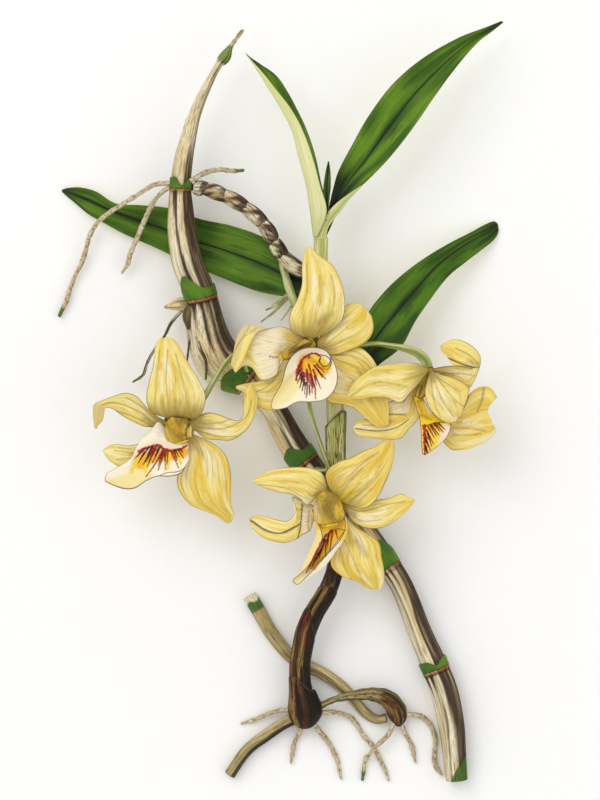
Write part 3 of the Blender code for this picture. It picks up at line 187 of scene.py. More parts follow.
WIRY_ROOTS = [
    [(-40.4, 41.1, 12.6), (-46.4, 35.0, 11.0), (-50.3, 27.7, 10.0), (-54.2, 22.6, 9.5), (-57.2, 17.4, 8.0),
     (-59.3, 11.8, 6.0), (-63.6, 8.8, 4.5)],
    [(-38.7, 34.6, 14.0), (-39.1, 26.4, 13.0), (-40.0, 17.8, 11.5)],
    [(-36.1, 30.3, 16.0), (-34.4, 23.4, 18.3), (-31.8, 17.8, 18.6), (-31.8, 10.1, 16.4)],
]
NODE_BUDS = [
    [(-37.0, 42.8, 12.6, 1.9), (-42.1, 42.4, 12.3, 2.2), (-45.6, 41.9, 12.0, 1.6), (-49.4, 41.1, 11.6, 0.6)],
    [(-37.8, 42.8, 14.5, 1.2), (-39.6, 37.6, 15.4, 1.7), (-39.6, 32.0, 14.6, 0.7)],
]

# Flower stalks: x, y, z and radius, from the cane to the back of each bloom
PEDICELS = {
    "bloom_1": [
        (15.5, -28.6, 13.3, 0.9), (18.9, -29.0, 17.5, 0.9), (20.6, -28.2, 20.5, 0.9),
        (19.4, -23.9, 23.0, 0.9), (16.8, -16.1, 25.5, 0.9), (14.2, -7.5, 27.0, 0.9),
        (12.5, -0.2, 27.6, 1.0), (12.5, 11.8, 28.0, 1.3), (13.3, 22.5, 28.3, 1.7),
        (13.3, 25.5, 28.4, 1.4),
    ],
    "bloom_2": [
        (-7.4, 10.3, 14.3, 0.9), (-0.9, 13.5, 19.5, 0.9), (8.6, 17.4, 23.4, 0.9),
        (21.5, 21.7, 25.2, 0.9), (33.1, 24.1, 26.2, 1.0), (40.9, 25.2, 27.0, 1.1),
        (46.9, 24.5, 28.0, 1.2), (52.9, 23.3, 29.2, 1.5), (58.5, 21.3, 30.6, 1.9),
        (61.9, 18.3, 31.8, 2.1), (63.4, 15.7, 32.4, 1.9),
    ],
    "bloom_3": [
        (-14.2, 13.5, 17.2, 0.9), (-15.9, 18.5, 20.6, 0.9), (-18.9, 20.6, 22.2, 0.9),
        (-22.4, 17.8, 24.0, 1.0), (-27.5, 10.5, 26.2, 1.1), (-31.8, 3.2, 27.2, 1.3),
        (-36.1, -3.2, 27.6, 1.5), (-41.3, -8.0, 27.6, 1.7), (-43.4, -9.9, 27.6, 1.4),
    ],
    "bloom_4": [
        (17.6, -34.2, 13.1, 1.0), (18.9, -35.8, 17.5, 1.0), (21.1, -39.2, 22.0, 1.2),
        (22.3, -42.0, 25.6, 1.6), (22.4, -42.8, 27.9, 1.6),
    ],
}

# Leaves: rows from base to tip, each with one edge, the midrib and the other edge
LEAVES = {
    "leaf_upper_left": [
        [(16.3, 71.2, 23.6), (14.6, 70.9, 21.5), (17.2, 71.0, 19.0)],
        [(20.0, 81.9, 26.8), (13.3, 83.6, 22.0), (20.4, 82.8, 18.5)],
        [(17.2, 93.1, 27.5), (11.6, 94.0, 22.5), (17.6, 94.4, 19.0)],
        [(13.8, 105.6, 27.0), (8.6, 105.1, 23.0), (15.0, 106.4, 19.5)],
        [(9.5, 117.2, 26.5), (5.6, 116.7, 23.0), (11.2, 117.6, 19.5)],
        [(4.7, 125.8, 26.0), (1.3, 125.3, 22.5), (7.3, 125.8, 19.5)],
        [(-0.9, 133.1, 25.0), (-3.4, 133.1, 22.0), (3.4, 133.1, 19.5)],
        [(-6.9, 140.8, 23.5), (-7.7, 140.0, 21.5), (-1.7, 140.4, 19.5)],
        [(-12.4, 147.0, 21.8), (-11.6, 146.1, 21.0), (-8.8, 145.4, 20.5)],
        [(-14.8, 149.8, 20.5), (-14.2, 149.2, 20.4), (-13.4, 148.4, 20.3)],
    ],
    "leaf_upper_right": [
        [(17.3, 71.4, 21.2), (18.5, 71.0, 20.9), (19.8, 71.0, 21.0)],
        [(18.3, 77.6, 22.0), (19.8, 76.3, 21.8), (21.9, 75.4, 22.0)],
        [(20.6, 82.8, 22.8), (22.3, 81.8, 22.3), (24.5, 81.1, 22.8)],
        [(22.6, 90.9, 24.0), (25.4, 88.8, 23.0), (30.5, 88.4, 24.3)],
        [(24.9, 98.7, 26.0), (30.1, 95.7, 24.5), (38.7, 96.1, 26.0)],
        [(30.5, 109.4, 27.5), (37.0, 104.3, 26.0), (47.3, 105.1, 27.5)],
        [(37.8, 122.3, 28.0), (46.4, 117.2, 26.5), (56.8, 117.2, 28.0)],
        [(48.2, 136.1, 27.5), (56.8, 130.9, 26.3), (66.2, 130.9, 27.5)],
        [(61.1, 147.3, 25.5), (68.8, 143.4, 24.6), (75.7, 143.8, 25.5)],
        [(76.5, 156.3, 22.5), (80.8, 153.7, 22.0), (84.7, 154.2, 22.5)],
        [(88.2, 161.0, 19.5), (89.9, 159.7, 19.4), (91.6, 159.7, 19.5)],
        [(95.2, 163.9, 17.5), (95.6, 163.6, 17.5), (95.9, 163.2, 17.5)],
    ],
    "leaf_lower_left": [
        [(15.1, 50.5, 16.6), (15.1, 49.0, 16.5), (15.1, 47.5, 16.6)],
        [(8.2, 60.0, 14.0), (8.6, 52.2, 13.0), (8.6, 44.3, 14.0)],
        [(2.1, 65.6, 11.5), (1.3, 55.3, 10.8), (0.9, 45.8, 11.5)],
        [(-7.7, 71.6, 8.5), (-9.5, 60.4, 7.8), (-9.5, 47.9, 8.5)],
        [(-20.6, 76.3, 5.5), (-23.2, 65.6, 4.6), (-24.1, 53.5, 5.5)],
        [(-34.4, 79.3, 4.2), (-37.0, 69.9, 3.3), (-38.7, 59.6, 4.2)],
        [(-48.6, 84.1, 4.0), (-51.6, 75.5, 3.0), (-53.8, 66.9, 4.0)],
        [(-61.1, 85.4, 4.0), (-64.1, 79.8, 3.1), (-67.5, 72.9, 4.0)],
        [(-71.4, 86.2, 3.6), (-74.0, 83.6, 2.9), (-76.1, 77.6, 3.6)],
        [(-79.5, 91.2, 3.0), (-81.7, 87.1, 2.5), (-83.0, 81.5, 3.0)],
        [(-86.4, 93.1, 2.2), (-87.3, 89.2, 2.0), (-88.6, 86.2, 2.2)],
        [(-92.0, 92.9, 1.5), (-92.5, 91.4, 1.4), (-93.3, 90.1, 1.5)],
        [(-94.3, 92.2, 1.0), (-94.5, 91.7, 1.0), (-94.3, 91.2, 1.0)],
    ],
    "leaf_lower_right": [
        [(27.1, 6.2, 20.0), (27.9, 4.9, 19.7), (28.8, 3.7, 20.0)],
        [(29.2, 15.7, 21.0), (31.8, 13.1, 20.3), (34.8, 9.7, 21.0)],
        [(33.1, 27.7, 21.5), (37.4, 22.6, 20.5), (43.0, 16.6, 21.5)],
        [(37.8, 38.5, 20.5), (44.7, 32.5, 19.3), (52.0, 23.9, 20.5)],
        [(44.7, 47.5, 18.5), (51.6, 40.6, 17.4), (58.0, 34.6, 18.5)],
        [(52.9, 55.3, 16.0), (58.9, 49.2, 15.0), (64.5, 44.1, 16.0)],
        [(62.8, 62.6, 12.5), (67.1, 58.3, 11.5), (72.2, 54.0, 12.5)],
        [(73.1, 68.8, 8.5), (76.5, 66.0, 7.7), (80.4, 60.8, 8.5)],
        [(82.6, 73.7, 4.6), (85.1, 71.2, 4.0), (87.7, 66.4, 4.6)],
        [(89.0, 77.2, 2.2), (90.3, 73.7, 1.8), (92.0, 69.9, 2.2)],
        [(92.9, 78.5, 0.9), (93.5, 75.9, 0.7), (94.2, 72.9, 0.9)],
        [(94.2, 77.4, 0.5), (94.4, 76.1, 0.5), (94.6, 74.8, 0.5)],
    ],
    "leaf_young": [
        [(19.4, 77.8, 24.3), (19.9, 77.8, 24.3), (20.4, 77.8, 24.3)],
        [(18.9, 84.9, 24.6), (19.8, 84.5, 24.4), (20.9, 84.5, 24.6)],
        [(18.6, 91.4, 25.0), (19.9, 91.4, 24.7), (21.7, 91.4, 25.0)],
        [(19.4, 97.8, 25.0), (20.4, 97.8, 24.8), (21.7, 97.8, 25.0)],
        [(20.5, 103.0, 25.0), (20.7, 103.2, 25.0), (21.1, 103.0, 25.0)],
    ],
}

# Blooms: the hub, then each petal as rows of points from its claw to its tip, relative to the hub.
# A row runs from one edge to the other; a row of two points takes its middle from PETAL_CROWN.
BLOOMS = {
    "bloom_1": {
        "hub": (13.3, 24.7, 33),
        "dorsal_sepal": [
            [(-1.1, 2.6, 3.0), (1.1, 2.6, 3.0)],
            [(-7.3, 4.7, 3.3), (7.7, 5.2, 3.3)],
            [(-9.2, 9.0, 4.0), (12.9, 9.9, 4.0)],
            [(-8.6, 13.8, 4.5), (14.4, 15.9, 4.5)],
            [(-5.6, 19.8, 5.0), (13.8, 22.8, 5.0)],
            [(-3.9, 26.2, 4.5), (12.0, 28.4, 4.5)],
            [(-3.9, 32.7, 3.0), (8.6, 34.4, 3.0)],
            [(-3.0, 38.3, 1.0), (3.0, 38.3, 1.0)],
            [(-1.5, 42.1, -0.5), (-0.4, 42.1, -0.5)],
        ],
        "right_petal": [
            [(2.6, 1.3, 0.8), (2.9, -1.3, 0.3)],
            [(6.0, 7.3, 1.0), (8.6, -4.3, 0.0)],
            [(10.3, 12.9, 1.0), (16.3, -2.4, 0.0)],
            [(14.2, 16.3, 1.0), (23.2, 0.9, 0.0)],
            [(17.6, 17.8, 0.5), (26.4, 6.0, -0.5)],
            [(20.0, 17.6, -0.5), (26.0, 11.6, -1.0)],
            [(21.5, 16.8, -1.5), (23.6, 15.0, -1.5)],
        ],
        "right_sepal": [
            [(2.4, -1.9, -1.8), (1.1, -2.6, -1.8)],
            [(4.3, -3.0, -1.8), (2.6, -6.9, -1.8)],
            [(12.0, -2.1, -2.0), (6.0, -16.3, -2.0)],
            [(19.8, -0.9, -2.0), (7.3, -24.1, -2.0)],
            [(25.4, -4.7, -2.0), (13.8, -25.6, -2.0)],
            [(29.2, -11.2, -2.0), (18.5, -27.3, -2.0)],
            [(32.7, -19.8, -2.2), (23.2, -31.2, -2.2)],
            [(33.3, -27.5, -2.5), (27.9, -34.8, -2.5)],
            [(33.1, -34.0, -2.8), (31.4, -35.0, -2.8)],
        ],
        "left_petal": [
            [(-2.1, 1.5, 0.0), (-2.4, 0.7, 0.0), (-2.4, -0.1, 0.0), (-2.3, -0.9, 0.0)],
            [(-3.0, 3.4, 0.0), (-5.6, 1.3, 0.0), (-8.2, -1.7, 0.0), (-9.5, -3.4, 0.0)],
            [(-8.6, 6.5, 0.0), (-9.9, 3.0, 0.0), (-11.6, -1.3, 0.0), (-12.5, -5.2, 0.0)],
            [(-13.8, 7.7, 0.5), (-14.6, 3.9, 1.5), (-14.6, -2.1, 1.5), (-13.8, -9.0, 1.0)],
            [(-20.2, 6.0, 5.0), (-23.6, 7.7, 3.5), (-18.5, -3.0, 2.0), (-15.0, -13.3, 1.0)],
            [(-23.6, 3.9, 6.0), (-27.9, 7.7, 4.0), (-23.6, -4.7, 2.3), (-21.1, -15.3, 1.0)],
            [(-26.7, -2.1, 6.0), (-31.0, 3.9, 4.0), (-27.9, -3.0, 2.0), (-24.9, -10.3, 1.0)],
            [(-28.8, -7.3, 5.0), (-32.7, -3.0, 3.5), (-31.0, -5.2, 1.8), (-28.4, -9.0, 1.0)],
            [(-31.4, -11.2, 3.5), (-34.0, -9.0, 2.8), (-33.5, -9.9, 1.6), (-32.2, -12.0, 1.2)],
        ],
        "left_sepal": [
            [(-1.9, -1.5, -1.8), (-0.6, -2.6, -1.8)],
            [(-6.5, -3.0, -1.9), (-3.9, -7.3, -1.9)],
            [(-10.8, -5.6, -2.0), (-7.3, -10.3, -2.0)],
            [(-13.8, -9.9, -2.5), (-11.2, -22.4, -2.5)],
            [(-15.9, -13.3, -3.0), (-15.5, -27.5, -3.0)],
            [(-20.2, -15.0, -3.5), (-20.6, -27.3, -3.5)],
            [(-25.4, -16.1, -4.0), (-25.8, -24.1, -4.0)],
            [(-29.2, -16.8, -4.5), (-29.2, -20.2, -4.5)],
            [(-32.0, -17.6, -5.0), (-32.0, -18.7, -5.0)],
        ],
    },
    "bloom_2": {
        "hub": (64.1, 14.4, 33),
        "left_petal": [
            [(-0.6, -0.2, 1.5), (-1.1, -0.6, 2.0), (-2.1, -2.6, 1.8)],
            [(-4.3, 1.9, 1.0), (-3.9, -0.2, 2.5), (-4.7, -6.2, 2.0)],
            [(-9.0, 2.4, 1.0), (-9.0, -0.4, 3.3), (-8.6, -10.3, 2.5)],
            [(-14.2, 2.1, 1.0), (-14.2, -0.2, 3.8), (-12.9, -14.6, 3.0)],
            [(-18.5, 1.9, 1.0), (-19.4, 0.0, 4.0), (-18.5, -12.5, 3.3)],
            [(-23.2, 0.6, 1.5), (-24.5, -0.9, 4.0), (-24.1, -12.3, 3.3)],
            [(-28.2, -2.0, 2.2), (-29.0, -3.8, 3.4), (-29.2, -13.1, 3.0)],
            [(-32.6, -6.0, 2.2), (-33.1, -8.0, 2.8), (-33.1, -12.7, 2.5)],
            [(-35.0, -10.5, 1.8), (-35.2, -11.3, 2.0), (-35.0, -12.1, 1.8)],
        ],
        "right_petal": [
            [(0.0, -1.3, 2.0), (1.3, -1.3, 2.0)],
            [(-1.5, -5.2, 3.0), (4.7, -2.4, 3.0)],
            [(-2.4, -10.3, 4.0), (9.0, -3.7, 4.0)],
            [(-1.3, -15.0, 4.5), (13.3, -5.6, 4.5)],
            [(1.3, -19.1, 4.5), (16.6, -8.2, 4.5)],
            [(4.7, -21.9, 4.0), (15.9, -11.8, 4.0)],
            [(8.0, -22.9, 3.5), (14.4, -15.9, 3.5)],
            [(10.5, -22.4, 3.0), (12.9, -19.4, 3.0)],
        ],
        "dorsal_sepal": [
            [(1.7, -1.1, 0.0), (1.5, 0.2, 0.0)],
            [(6.5, -3.0, 0.0), (6.5, 1.1, 0.0)],
            [(11.6, -5.2, -0.5), (11.6, 1.3, 0.5)],
            [(16.3, -8.2, -0.5), (14.6, 1.1, 1.0)],
            [(19.1, -4.3, 1.0), (17.4, 0.4, 2.5)],
            [(21.5, 3.0, 3.0), (17.2, 0.6, 4.5)],
            [(20.0, 7.3, 4.5), (13.8, 1.3, 5.0)],
            [(15.0, 11.3, 5.0), (9.5, 1.7, 5.0)],
            [(9.9, 12.5, 5.0), (7.3, 4.7, 4.5)],
            [(6.0, 11.0, 4.5), (4.9, 7.3, 4.0)],
            [(4.1, 9.7, 3.5), (4.5, 8.8, 3.5)],
        ],
        "right_sepal": [
            [(2.1, -0.9, -2.7), (2.1, -1.7, -2.8), (1.7, -2.6, -3.0), (1.1, -3.2, -3.2)],
            [(6.0, -7.3, -2.5), (4.7, -9.9, -3.2), (3.0, -12.5, -3.8), (0.4, -14.2, -4.2)],
            [(9.9, -13.3, -2.0), (7.7, -17.6, -3.2), (6.0, -22.8, -3.8), (3.4, -27.1, -4.2)],
            [(13.8, -13.3, -1.0), (12.9, -21.1, -2.5), (12.0, -27.5, -3.0), (8.6, -34.2, -4.2)],
            [(18.1, -9.5, -0.5), (17.2, -20.2, -2.7), (18.1, -27.1, -2.5), (14.6, -34.4, -4.0)],
            [(21.9, -7.7, -0.5), (21.1, -18.9, -2.7), (22.8, -25.4, -2.2), (20.2, -33.1, -4.0)],
            [(25.8, -8.2, -1.0), (23.2, -18.1, -3.0), (25.8, -25.4, -2.3), (24.9, -30.3, -4.2)],
            [(28.6, -12.0, -2.0), (24.7, -17.6, -3.2), (27.5, -24.9, -2.7), (28.2, -26.7, -4.2)],
        ],
        "left_sepal": [
            [(-2.4, -1.7, -3.5), (-1.7, -2.6, -3.7), (-0.9, -3.2, -3.7)],
            [(-6.9, -7.3, -5.0), (-4.3, -8.6, -5.4), (-2.1, -9.5, -5.0)],
            [(-9.5, -11.2, -5.5), (-6.2, -12.9, -5.7), (-4.5, -14.2, -5.0)],
            [(-11.6, -13.8, -5.7), (-7.3, -18.5, -5.2), (-4.9, -21.1, -4.5)],
            [(-14.2, -13.3, -5.0), (-10.3, -21.9, -4.5), (-8.8, -25.4, -3.0)],
            [(-17.6, -14.2, -5.5), (-16.3, -24.5, -4.5), (-12.5, -29.7, -3.0)],
            [(-21.9, -17.6, -6.0), (-22.8, -25.4, -5.0), (-19.4, -30.1, -3.5)],
            [(-27.1, -21.1, -6.0), (-27.9, -25.6, -5.0), (-25.4, -29.5, -4.0)],
            [(-31.0, -22.4, -6.0), (-31.4, -25.6, -5.5), (-31.0, -28.4, -5.0)],
            [(-32.5, -24.7, -6.0), (-32.7, -25.6, -5.8), (-32.4, -26.4, -5.6)],
        ],
        "lip": [
            [(-7.7, -11.6, -3.1), (-3.2, -12.0, -3.1)],
            [(-6.9, -13.8, -2.5), (-2.1, -14.2, -2.5)],
            [(-5.6, -17.6, -2.0), (0.9, -18.7, -2.0)],
            [(-4.5, -21.9, -1.0), (4.7, -21.9, -0.2)],
            [(-4.1, -25.4, 0.0), (8.6, -23.2, 1.5)],
            [(-3.9, -29.7, 0.5), (7.7, -27.9, 2.0)],
            [(-3.7, -33.5, 0.5), (3.9, -32.5, 1.3)],
            [(-3.3, -36.5, 0.0), (-2.1, -36.8, 0.0)],
        ],
    },
    "bloom_3": {
        "hub": (-43.4, -9.7, 31),
        "dorsal_sepal": [
            [(-3.4, 2.9, 3.2), (2.1, 2.9, 3.2)],
            [(-9.9, 4.7, 3.5), (8.2, 3.4, 3.5)],
            [(-12.9, 8.6, 4.0), (11.2, 7.7, 4.0)],
            [(-13.3, 13.8, 4.5), (11.6, 13.3, 4.5)],
            [(-12.0, 19.4, 5.0), (9.2, 18.9, 5.0)],
            [(-10.5, 25.4, 5.0), (5.8, 24.5, 5.0)],
            [(-9.9, 31.0, 4.0), (2.6, 30.1, 4.0)],
            [(-9.0, 35.3, 2.5), (-0.2, 34.8, 2.5)],
            [(-7.3, 37.2, 1.0), (-3.0, 37.4, 1.0)],
        ],
        "left_petal": [
            [(-2.35, 1.1, 0.2), (-2.35, -0.8, 0.1)],
            [(-8.2, 3.4, 0.2), (-9.0, -0.9, 0.2)],
            [(-13.3, 7.7, 1.0), (-14.6, -0.4, 0.7)],
            [(-17.6, 12.3, 2.0), (-19.4, 1.7, 1.5)],
            [(-22.4, 13.8, 2.8), (-24.1, 4.3, 2.3)],
            [(-27.9, 12.3, 3.3), (-27.9, 7.0, 3.0)],
            [(-32.7, 10.5, 3.2), (-31.0, 7.3, 3.2)],
            [(-35.7, 9.0, 2.0), (-31.4, 5.6, 2.0)],
            [(-36.3, 5.2, 0.0), (-32.2, 2.1, 0.0)],
            [(-36.1, 0.9, -2.0), (-34.2, -0.2, -2.0)],
            [(-35.7, -1.3, -3.0), (-35.0, -1.6, -3.0)],
        ],
        "right_petal": [
            [(3.0, 1.1, 0.5), (3.0, -1.1, 0.5)],
            [(7.3, 3.4, 0.5), (7.7, -2.6, 0.5)],
            [(12.5, 5.4, 1.2), (11.6, -5.6, 1.2)],
            [(17.6, 4.5, 2.0), (17.2, -6.2, 2.0)],
            [(22.4, 2.6, 2.6), (23.2, -6.2, 2.6)],
            [(26.0, 2.1, 2.6), (28.8, -2.4, 2.6)],
            [(27.7, 4.7, 2.4), (32.2, 2.8, 2.4)],
            [(27.7, 9.5, 2.0), (33.9, 9.5, 2.0)],
            [(28.4, 14.2, 1.5), (33.3, 14.0, 1.5)],
            [(30.3, 17.8, 0.5), (31.8, 17.4, 0.5)],
        ],
        "right_sepal": [
            [(0.4, -2.7, -0.1), (2.6, -2.1, -0.1)],
            [(4.3, -4.3, 0.0), (7.7, -4.3, 0.0)],
            [(3.4, -9.0, 0.3), (14.2, -7.3, 0.3)],
            [(2.1, -15.0, 0.3), (19.8, -12.0, 0.3)],
            [(-0.4, -21.9, 0.0), (22.1, -18.5, 0.0)],
            [(0.4, -27.5, -0.5), (22.6, -24.9, -0.5)],
            [(4.7, -33.5, -1.5), (22.4, -31.0, -1.5)],
            [(11.2, -36.5, -3.0), (22.8, -34.8, -3.0)],
            [(16.8, -39.1, -4.5), (23.9, -38.3, -4.5)],
            [(20.6, -42.1, -5.5), (22.6, -41.5, -5.5)],
        ],
        "left_sepal": [
            [(-1.8, -1.5, -1.0), (-0.4, -2.5, -1.0)],
            [(-2.1, -2.1, -1.0), (0.0, -5.6, -1.0)],
            [(-8.2, -4.7, -1.0), (-5.6, -12.9, -1.0)],
            [(-14.6, -7.3, -1.0), (-12.5, -16.8, -1.0)],
            [(-21.1, -8.6, -1.0), (-19.4, -18.1, -1.0)],
            [(-26.7, -8.0, -1.5), (-24.9, -17.8, -1.5)],
            [(-30.5, -9.0, -2.0), (-29.7, -14.8, -2.0)],
            [(-32.2, -10.8, -2.5), (-31.8, -12.0, -2.5)],
        ],
        "lip": [
            [(4.4, -7.4, 3.2), (4.4, -9.0, 4.0), (4.3, -10.3, 3.5), (4.5, -12.9, 3.5), (4.5, -15.5, 3.8)],
            [(0.6, -6.4, 3.0), (0.9, -8.4, 5.0), (0.4, -11.2, 3.6), (0.9, -15.9, 3.8), (1.5, -20.2, 5.5)],
            [(-4.2, -2.6, 3.0), (-3.6, -6.6, 5.8), (-3.6, -10.8, 3.6),
             (-3.9, -16.3, 3.8), (-3.4, -21.7, 6.0)],
            [(-8.2, 1.7, 2.5), (-7.9, -4.8, 6.2), (-8.4, -10.0, 3.6),
             (-9.0, -15.9, 3.8), (-8.6, -21.7, 6.0)],
            [(-11.2, -1.7, 3.0), (-12.7, -6.0, 5.8), (-13.5, -11.4, 3.8),
             (-14.2, -17.2, 3.8), (-13.3, -23.6, 5.5)],
            [(-15.4, -6.3, 3.4), (-16.9, -9.2, 5.4), (-18.0, -13.6, 4.2),
             (-18.1, -19.4, 3.8), (-18.1, -26.7, 5.0)],
            [(-19.4, -13.4, 3.8), (-20.4, -15.8, 4.9), (-21.2, -18.2, 4.5),
             (-21.9, -21.5, 4.2), (-22.8, -27.1, 4.5)],
            [(-25.0, -17.4, 4.1), (-25.6, -19.0, 4.6), (-26.2, -20.6, 4.5),
             (-26.7, -22.8, 4.3), (-27.5, -25.6, 4.0)],
            [(-30.3, -20.4, 3.8), (-30.5, -20.9, 4.3), (-30.8, -21.5, 4.3),
             (-31.1, -22.6, 4.2), (-31.0, -23.9, 3.9)],
        ],
    },
    "bloom_4": {
        "hub": (22.4, -42.8, 30),
        "left_petal": [
            [(-2.0, 1.8, 1.3), (-2.6, 0.2, 1.3)],
            [(-2.6, 8.6, 1.5), (-6.0, 3.0, 1.5)],
            [(-4.3, 12.7, 2.0), (-10.3, -0.9, 2.0)],
            [(-9.0, 14.9, 2.7), (-14.2, 2.1, 2.7)],
            [(-15.0, 15.4, 3.0), (-18.5, 3.9, 3.0)],
            [(-21.9, 14.9, 2.5), (-23.6, 4.7, 2.5)],
            [(-27.3, 13.6, 1.5), (-28.6, 6.2, 1.5)],
            [(-31.8, 11.4, 0.5), (-31.8, 7.7, 0.5)],
            [(-34.0, 10.1, 0.0), (-33.8, 9.0, 0.0)],
        ],
        "dorsal_sepal": [
            [(1.3, 2.6, 3.4), (2.9, 0.9, 3.4)],
            [(-1.9, 7.7, 4.0), (7.7, -0.9, 4.0)],
            [(-2.8, 12.9, 4.5), (12.9, -2.4, 4.5)],
            [(1.7, 17.2, 5.0), (17.2, 0.0, 5.0)],
            [(7.7, 19.4, 5.5), (20.2, 3.9, 5.5)],
            [(12.9, 22.1, 5.0), (23.0, 9.5, 5.0)],
            [(17.6, 23.9, 4.0), (25.2, 15.5, 4.0)],
            [(21.1, 26.2, 3.0), (26.4, 21.5, 3.0)],
            [(23.2, 27.1, 2.0), (26.4, 26.2, 2.0)],
        ],
        "right_petal": [
            [(2.4, 0.2, 0.8), (2.3, -1.3, 0.8)],
            [(4.3, 0.4, 1.0), (5.2, -3.0, 1.0)],
            [(7.7, 0.0, 1.0), (9.0, -8.0, 1.0)],
            [(12.9, 0.0, 1.0), (15.0, -10.8, 1.0)],
            [(18.9, 1.3, 1.3), (21.1, -10.5, 1.3)],
            [(24.1, 2.1, 1.6), (26.7, -7.7, 1.6)],
            [(29.2, 3.9, 1.0), (31.0, -4.3, 1.0)],
            [(32.7, 2.4, 0.0), (33.8, -1.3, 0.0)],
            [(35.0, 1.7, -1.0), (35.3, 0.9, -1.0)],
        ],
        "right_sepal": [
            [(0.4, -2.5, -1.1), (1.7, -2.1, -1.1)],
            [(3.4, -4.7, -1.4), (6.0, -6.0, -1.4)],
            [(3.9, -10.8, -1.0), (10.3, -10.3, -1.0)],
            [(2.6, -16.8, -0.8), (15.9, -13.8, -0.8)],
            [(-0.2, -21.9, -0.8), (20.0, -17.2, -0.8)],
            [(-0.4, -27.1, -1.3), (21.1, -23.2, -1.3)],
            [(4.3, -31.4, -2.3), (22.1, -28.8, -2.3)],
            [(10.3, -33.5, -3.3), (22.1, -33.5, -3.3)],
            [(15.9, -37.2, -4.3), (20.9, -36.8, -4.3)],
        ],
        "left_sepal": [
            [(-2.1, -1.1, -1.2), (-0.9, -2.3, -1.2)],
            [(-8.2, -0.9, -1.5), (-7.7, -7.7, -1.5)],
            [(-12.5, 0.9, -1.0), (-9.5, -11.8, -1.0)],
            [(-16.8, 2.6, 0.5), (-13.3, -14.0, 0.5)],
            [(-15.5, -3.0, 2.0), (-15.5, -15.5, 1.8)],
            [(-18.9, -7.5, 2.3), (-20.2, -17.0, 1.6)],
            [(-24.5, -6.9, 1.5), (-25.4, -16.3, 1.0)],
            [(-30.1, -5.4, 0.5), (-30.5, -14.2, 0.0)],
            [(-34.0, -5.8, -0.5), (-33.8, -10.8, -1.0)],
            [(-35.6, -7.0, -1.5), (-35.4, -8.0, -1.5)],
        ],
        "lip": [
            [(-8.6, -2.6, 4.2), (-8.4, -3.0, 3.2), (-2.1, -3.0, 2.5), (3.9, -2.6, 3.2), (4.1, -2.1, 4.2)],
            [(-6.9, -6.9, 4.8), (-7.1, -7.3, 3.6), (-1.3, -7.3, 2.5), (5.6, -7.3, 3.6), (5.4, -6.9, 4.8)],
            [(-4.7, -11.8, 6.5), (-6.5, -12.3, 4.5), (0.0, -12.0, 2.5),
             (6.2, -10.8, 4.8), (5.4, -10.8, 6.5)],
            [(-4.3, -16.8, 7.5), (-7.5, -15.9, 5.0), (-1.3, -16.8, 2.5),
             (4.9, -15.0, 5.3), (3.4, -15.3, 7.3)],
            [(-6.9, -21.5, 6.8), (-9.7, -20.4, 4.5), (-4.7, -21.1, 2.0),
             (1.3, -20.2, 4.7), (-0.2, -19.6, 6.7)],
            [(-9.5, -25.8, 6.0), (-11.9, -25.8, 4.0), (-8.0, -25.4, 1.8),
             (-3.0, -26.2, 4.0), (-4.7, -24.3, 6.0)],
            [(-12.4, -28.9, 5.2), (-13.8, -30.1, 3.7), (-11.4, -29.9, 2.3),
             (-9.0, -31.0, 3.7), (-8.8, -29.0, 5.4)],
            [(-16.7, -32.5, 4.2), (-16.9, -33.4, 3.7), (-16.3, -34.1, 3.2),
             (-15.4, -34.7, 3.7), (-14.5, -34.7, 4.2)],
        ],
    },
}

# The first bloom's lip is a rolled scoop: its throat, and its rim from the inner curl right round
LIP_THROAT = (-0.9, -4.7, 1.8)
LIP_RIM = [
    (4.3, -9.0, 4.5), (7.3, -8.8, 7.0), (8.4, -5.6, 9.0), (6.2, -2.5, 9.5), (1.3, -1.2, 9.5),
    (-3.9, -1.9, 9.0),
    (-8.2, -4.9, 8.5), (-10.7, -9.5, 8.0), (-12.5, -16.3, 7.5), (-16.3, -23.2, 6.5), (-16.6, -27.4, 6.0),
    (-11.2, -27.1, 6.5), (-6.0, -24.6, 7.0), (0.4, -24.5, 7.5), (6.0, -23.4, 8.0), (9.9, -19.4, 8.5),
    (11.3, -13.8, 8.5), (10.1, -8.2, 7.5), (8.4, -5.2, 6.3),
]
LIP_RINGS = (0.06, 0.3, 0.55, 0.78, 1.0)

# Columns, relative to the hub: the post (x, y, bottom, top, radius), then the hood's centre, its half
# length, half width and half height, and the heading that it points along, in degrees
COLUMNS = {
    "bloom_1": ((0.0, 0.0, -2.4, 4.4, 2.0), (-6.3, -2.0, 4.6), (8.0, 1.8, 1.8), 210.0),
    "bloom_2": ((-0.2, -1.2, -4.0, 0.8, 1.6), (-3.3, -7.4, -0.8), (6.3, 2.5, 1.9), 248.0),
    "bloom_3": ((0.0, 0.0, -1.2, 4.5, 2.0), (0.2, -1.9, 6.2), (5.2, 3.7, 2.3), 285.0),
    "bloom_4": ((0.0, 0.0, -1.4, 5.4, 2.0), (-1.9, -2.6, 6.0), (6.8, 3.2, 2.4), 279.0),
}

# Where each old bract left its ring on the flowering cane, x and y in mm, from the base up
CANE_RINGS = [(66.2, -116.1), (47.5, -70.9), (9.9, -26.0), (-15.1, 9.2), (-34.2, 45.2), (-42.6, 91.8)]
# The cuff above each ring: its height, its lobe's extra height and heading in degrees, its notch's depth, mm
CANE_CUFF_SHAPES = [
    (4.8, 0.6, 170, 2.8), (5.0, 6.0, 40, 0.0), (5.4, 3.0, 170, 1.2), (6.4, 2.6, 200, 0.0),
    (4.2, 6.4, 165, 1.6), (4.4, 0.6, 180, 2.4),
]
# The ends of the small green cone at the cane's tip
TIP_CONE = ((-25.0, 146.2), (-20.6, 153.0))
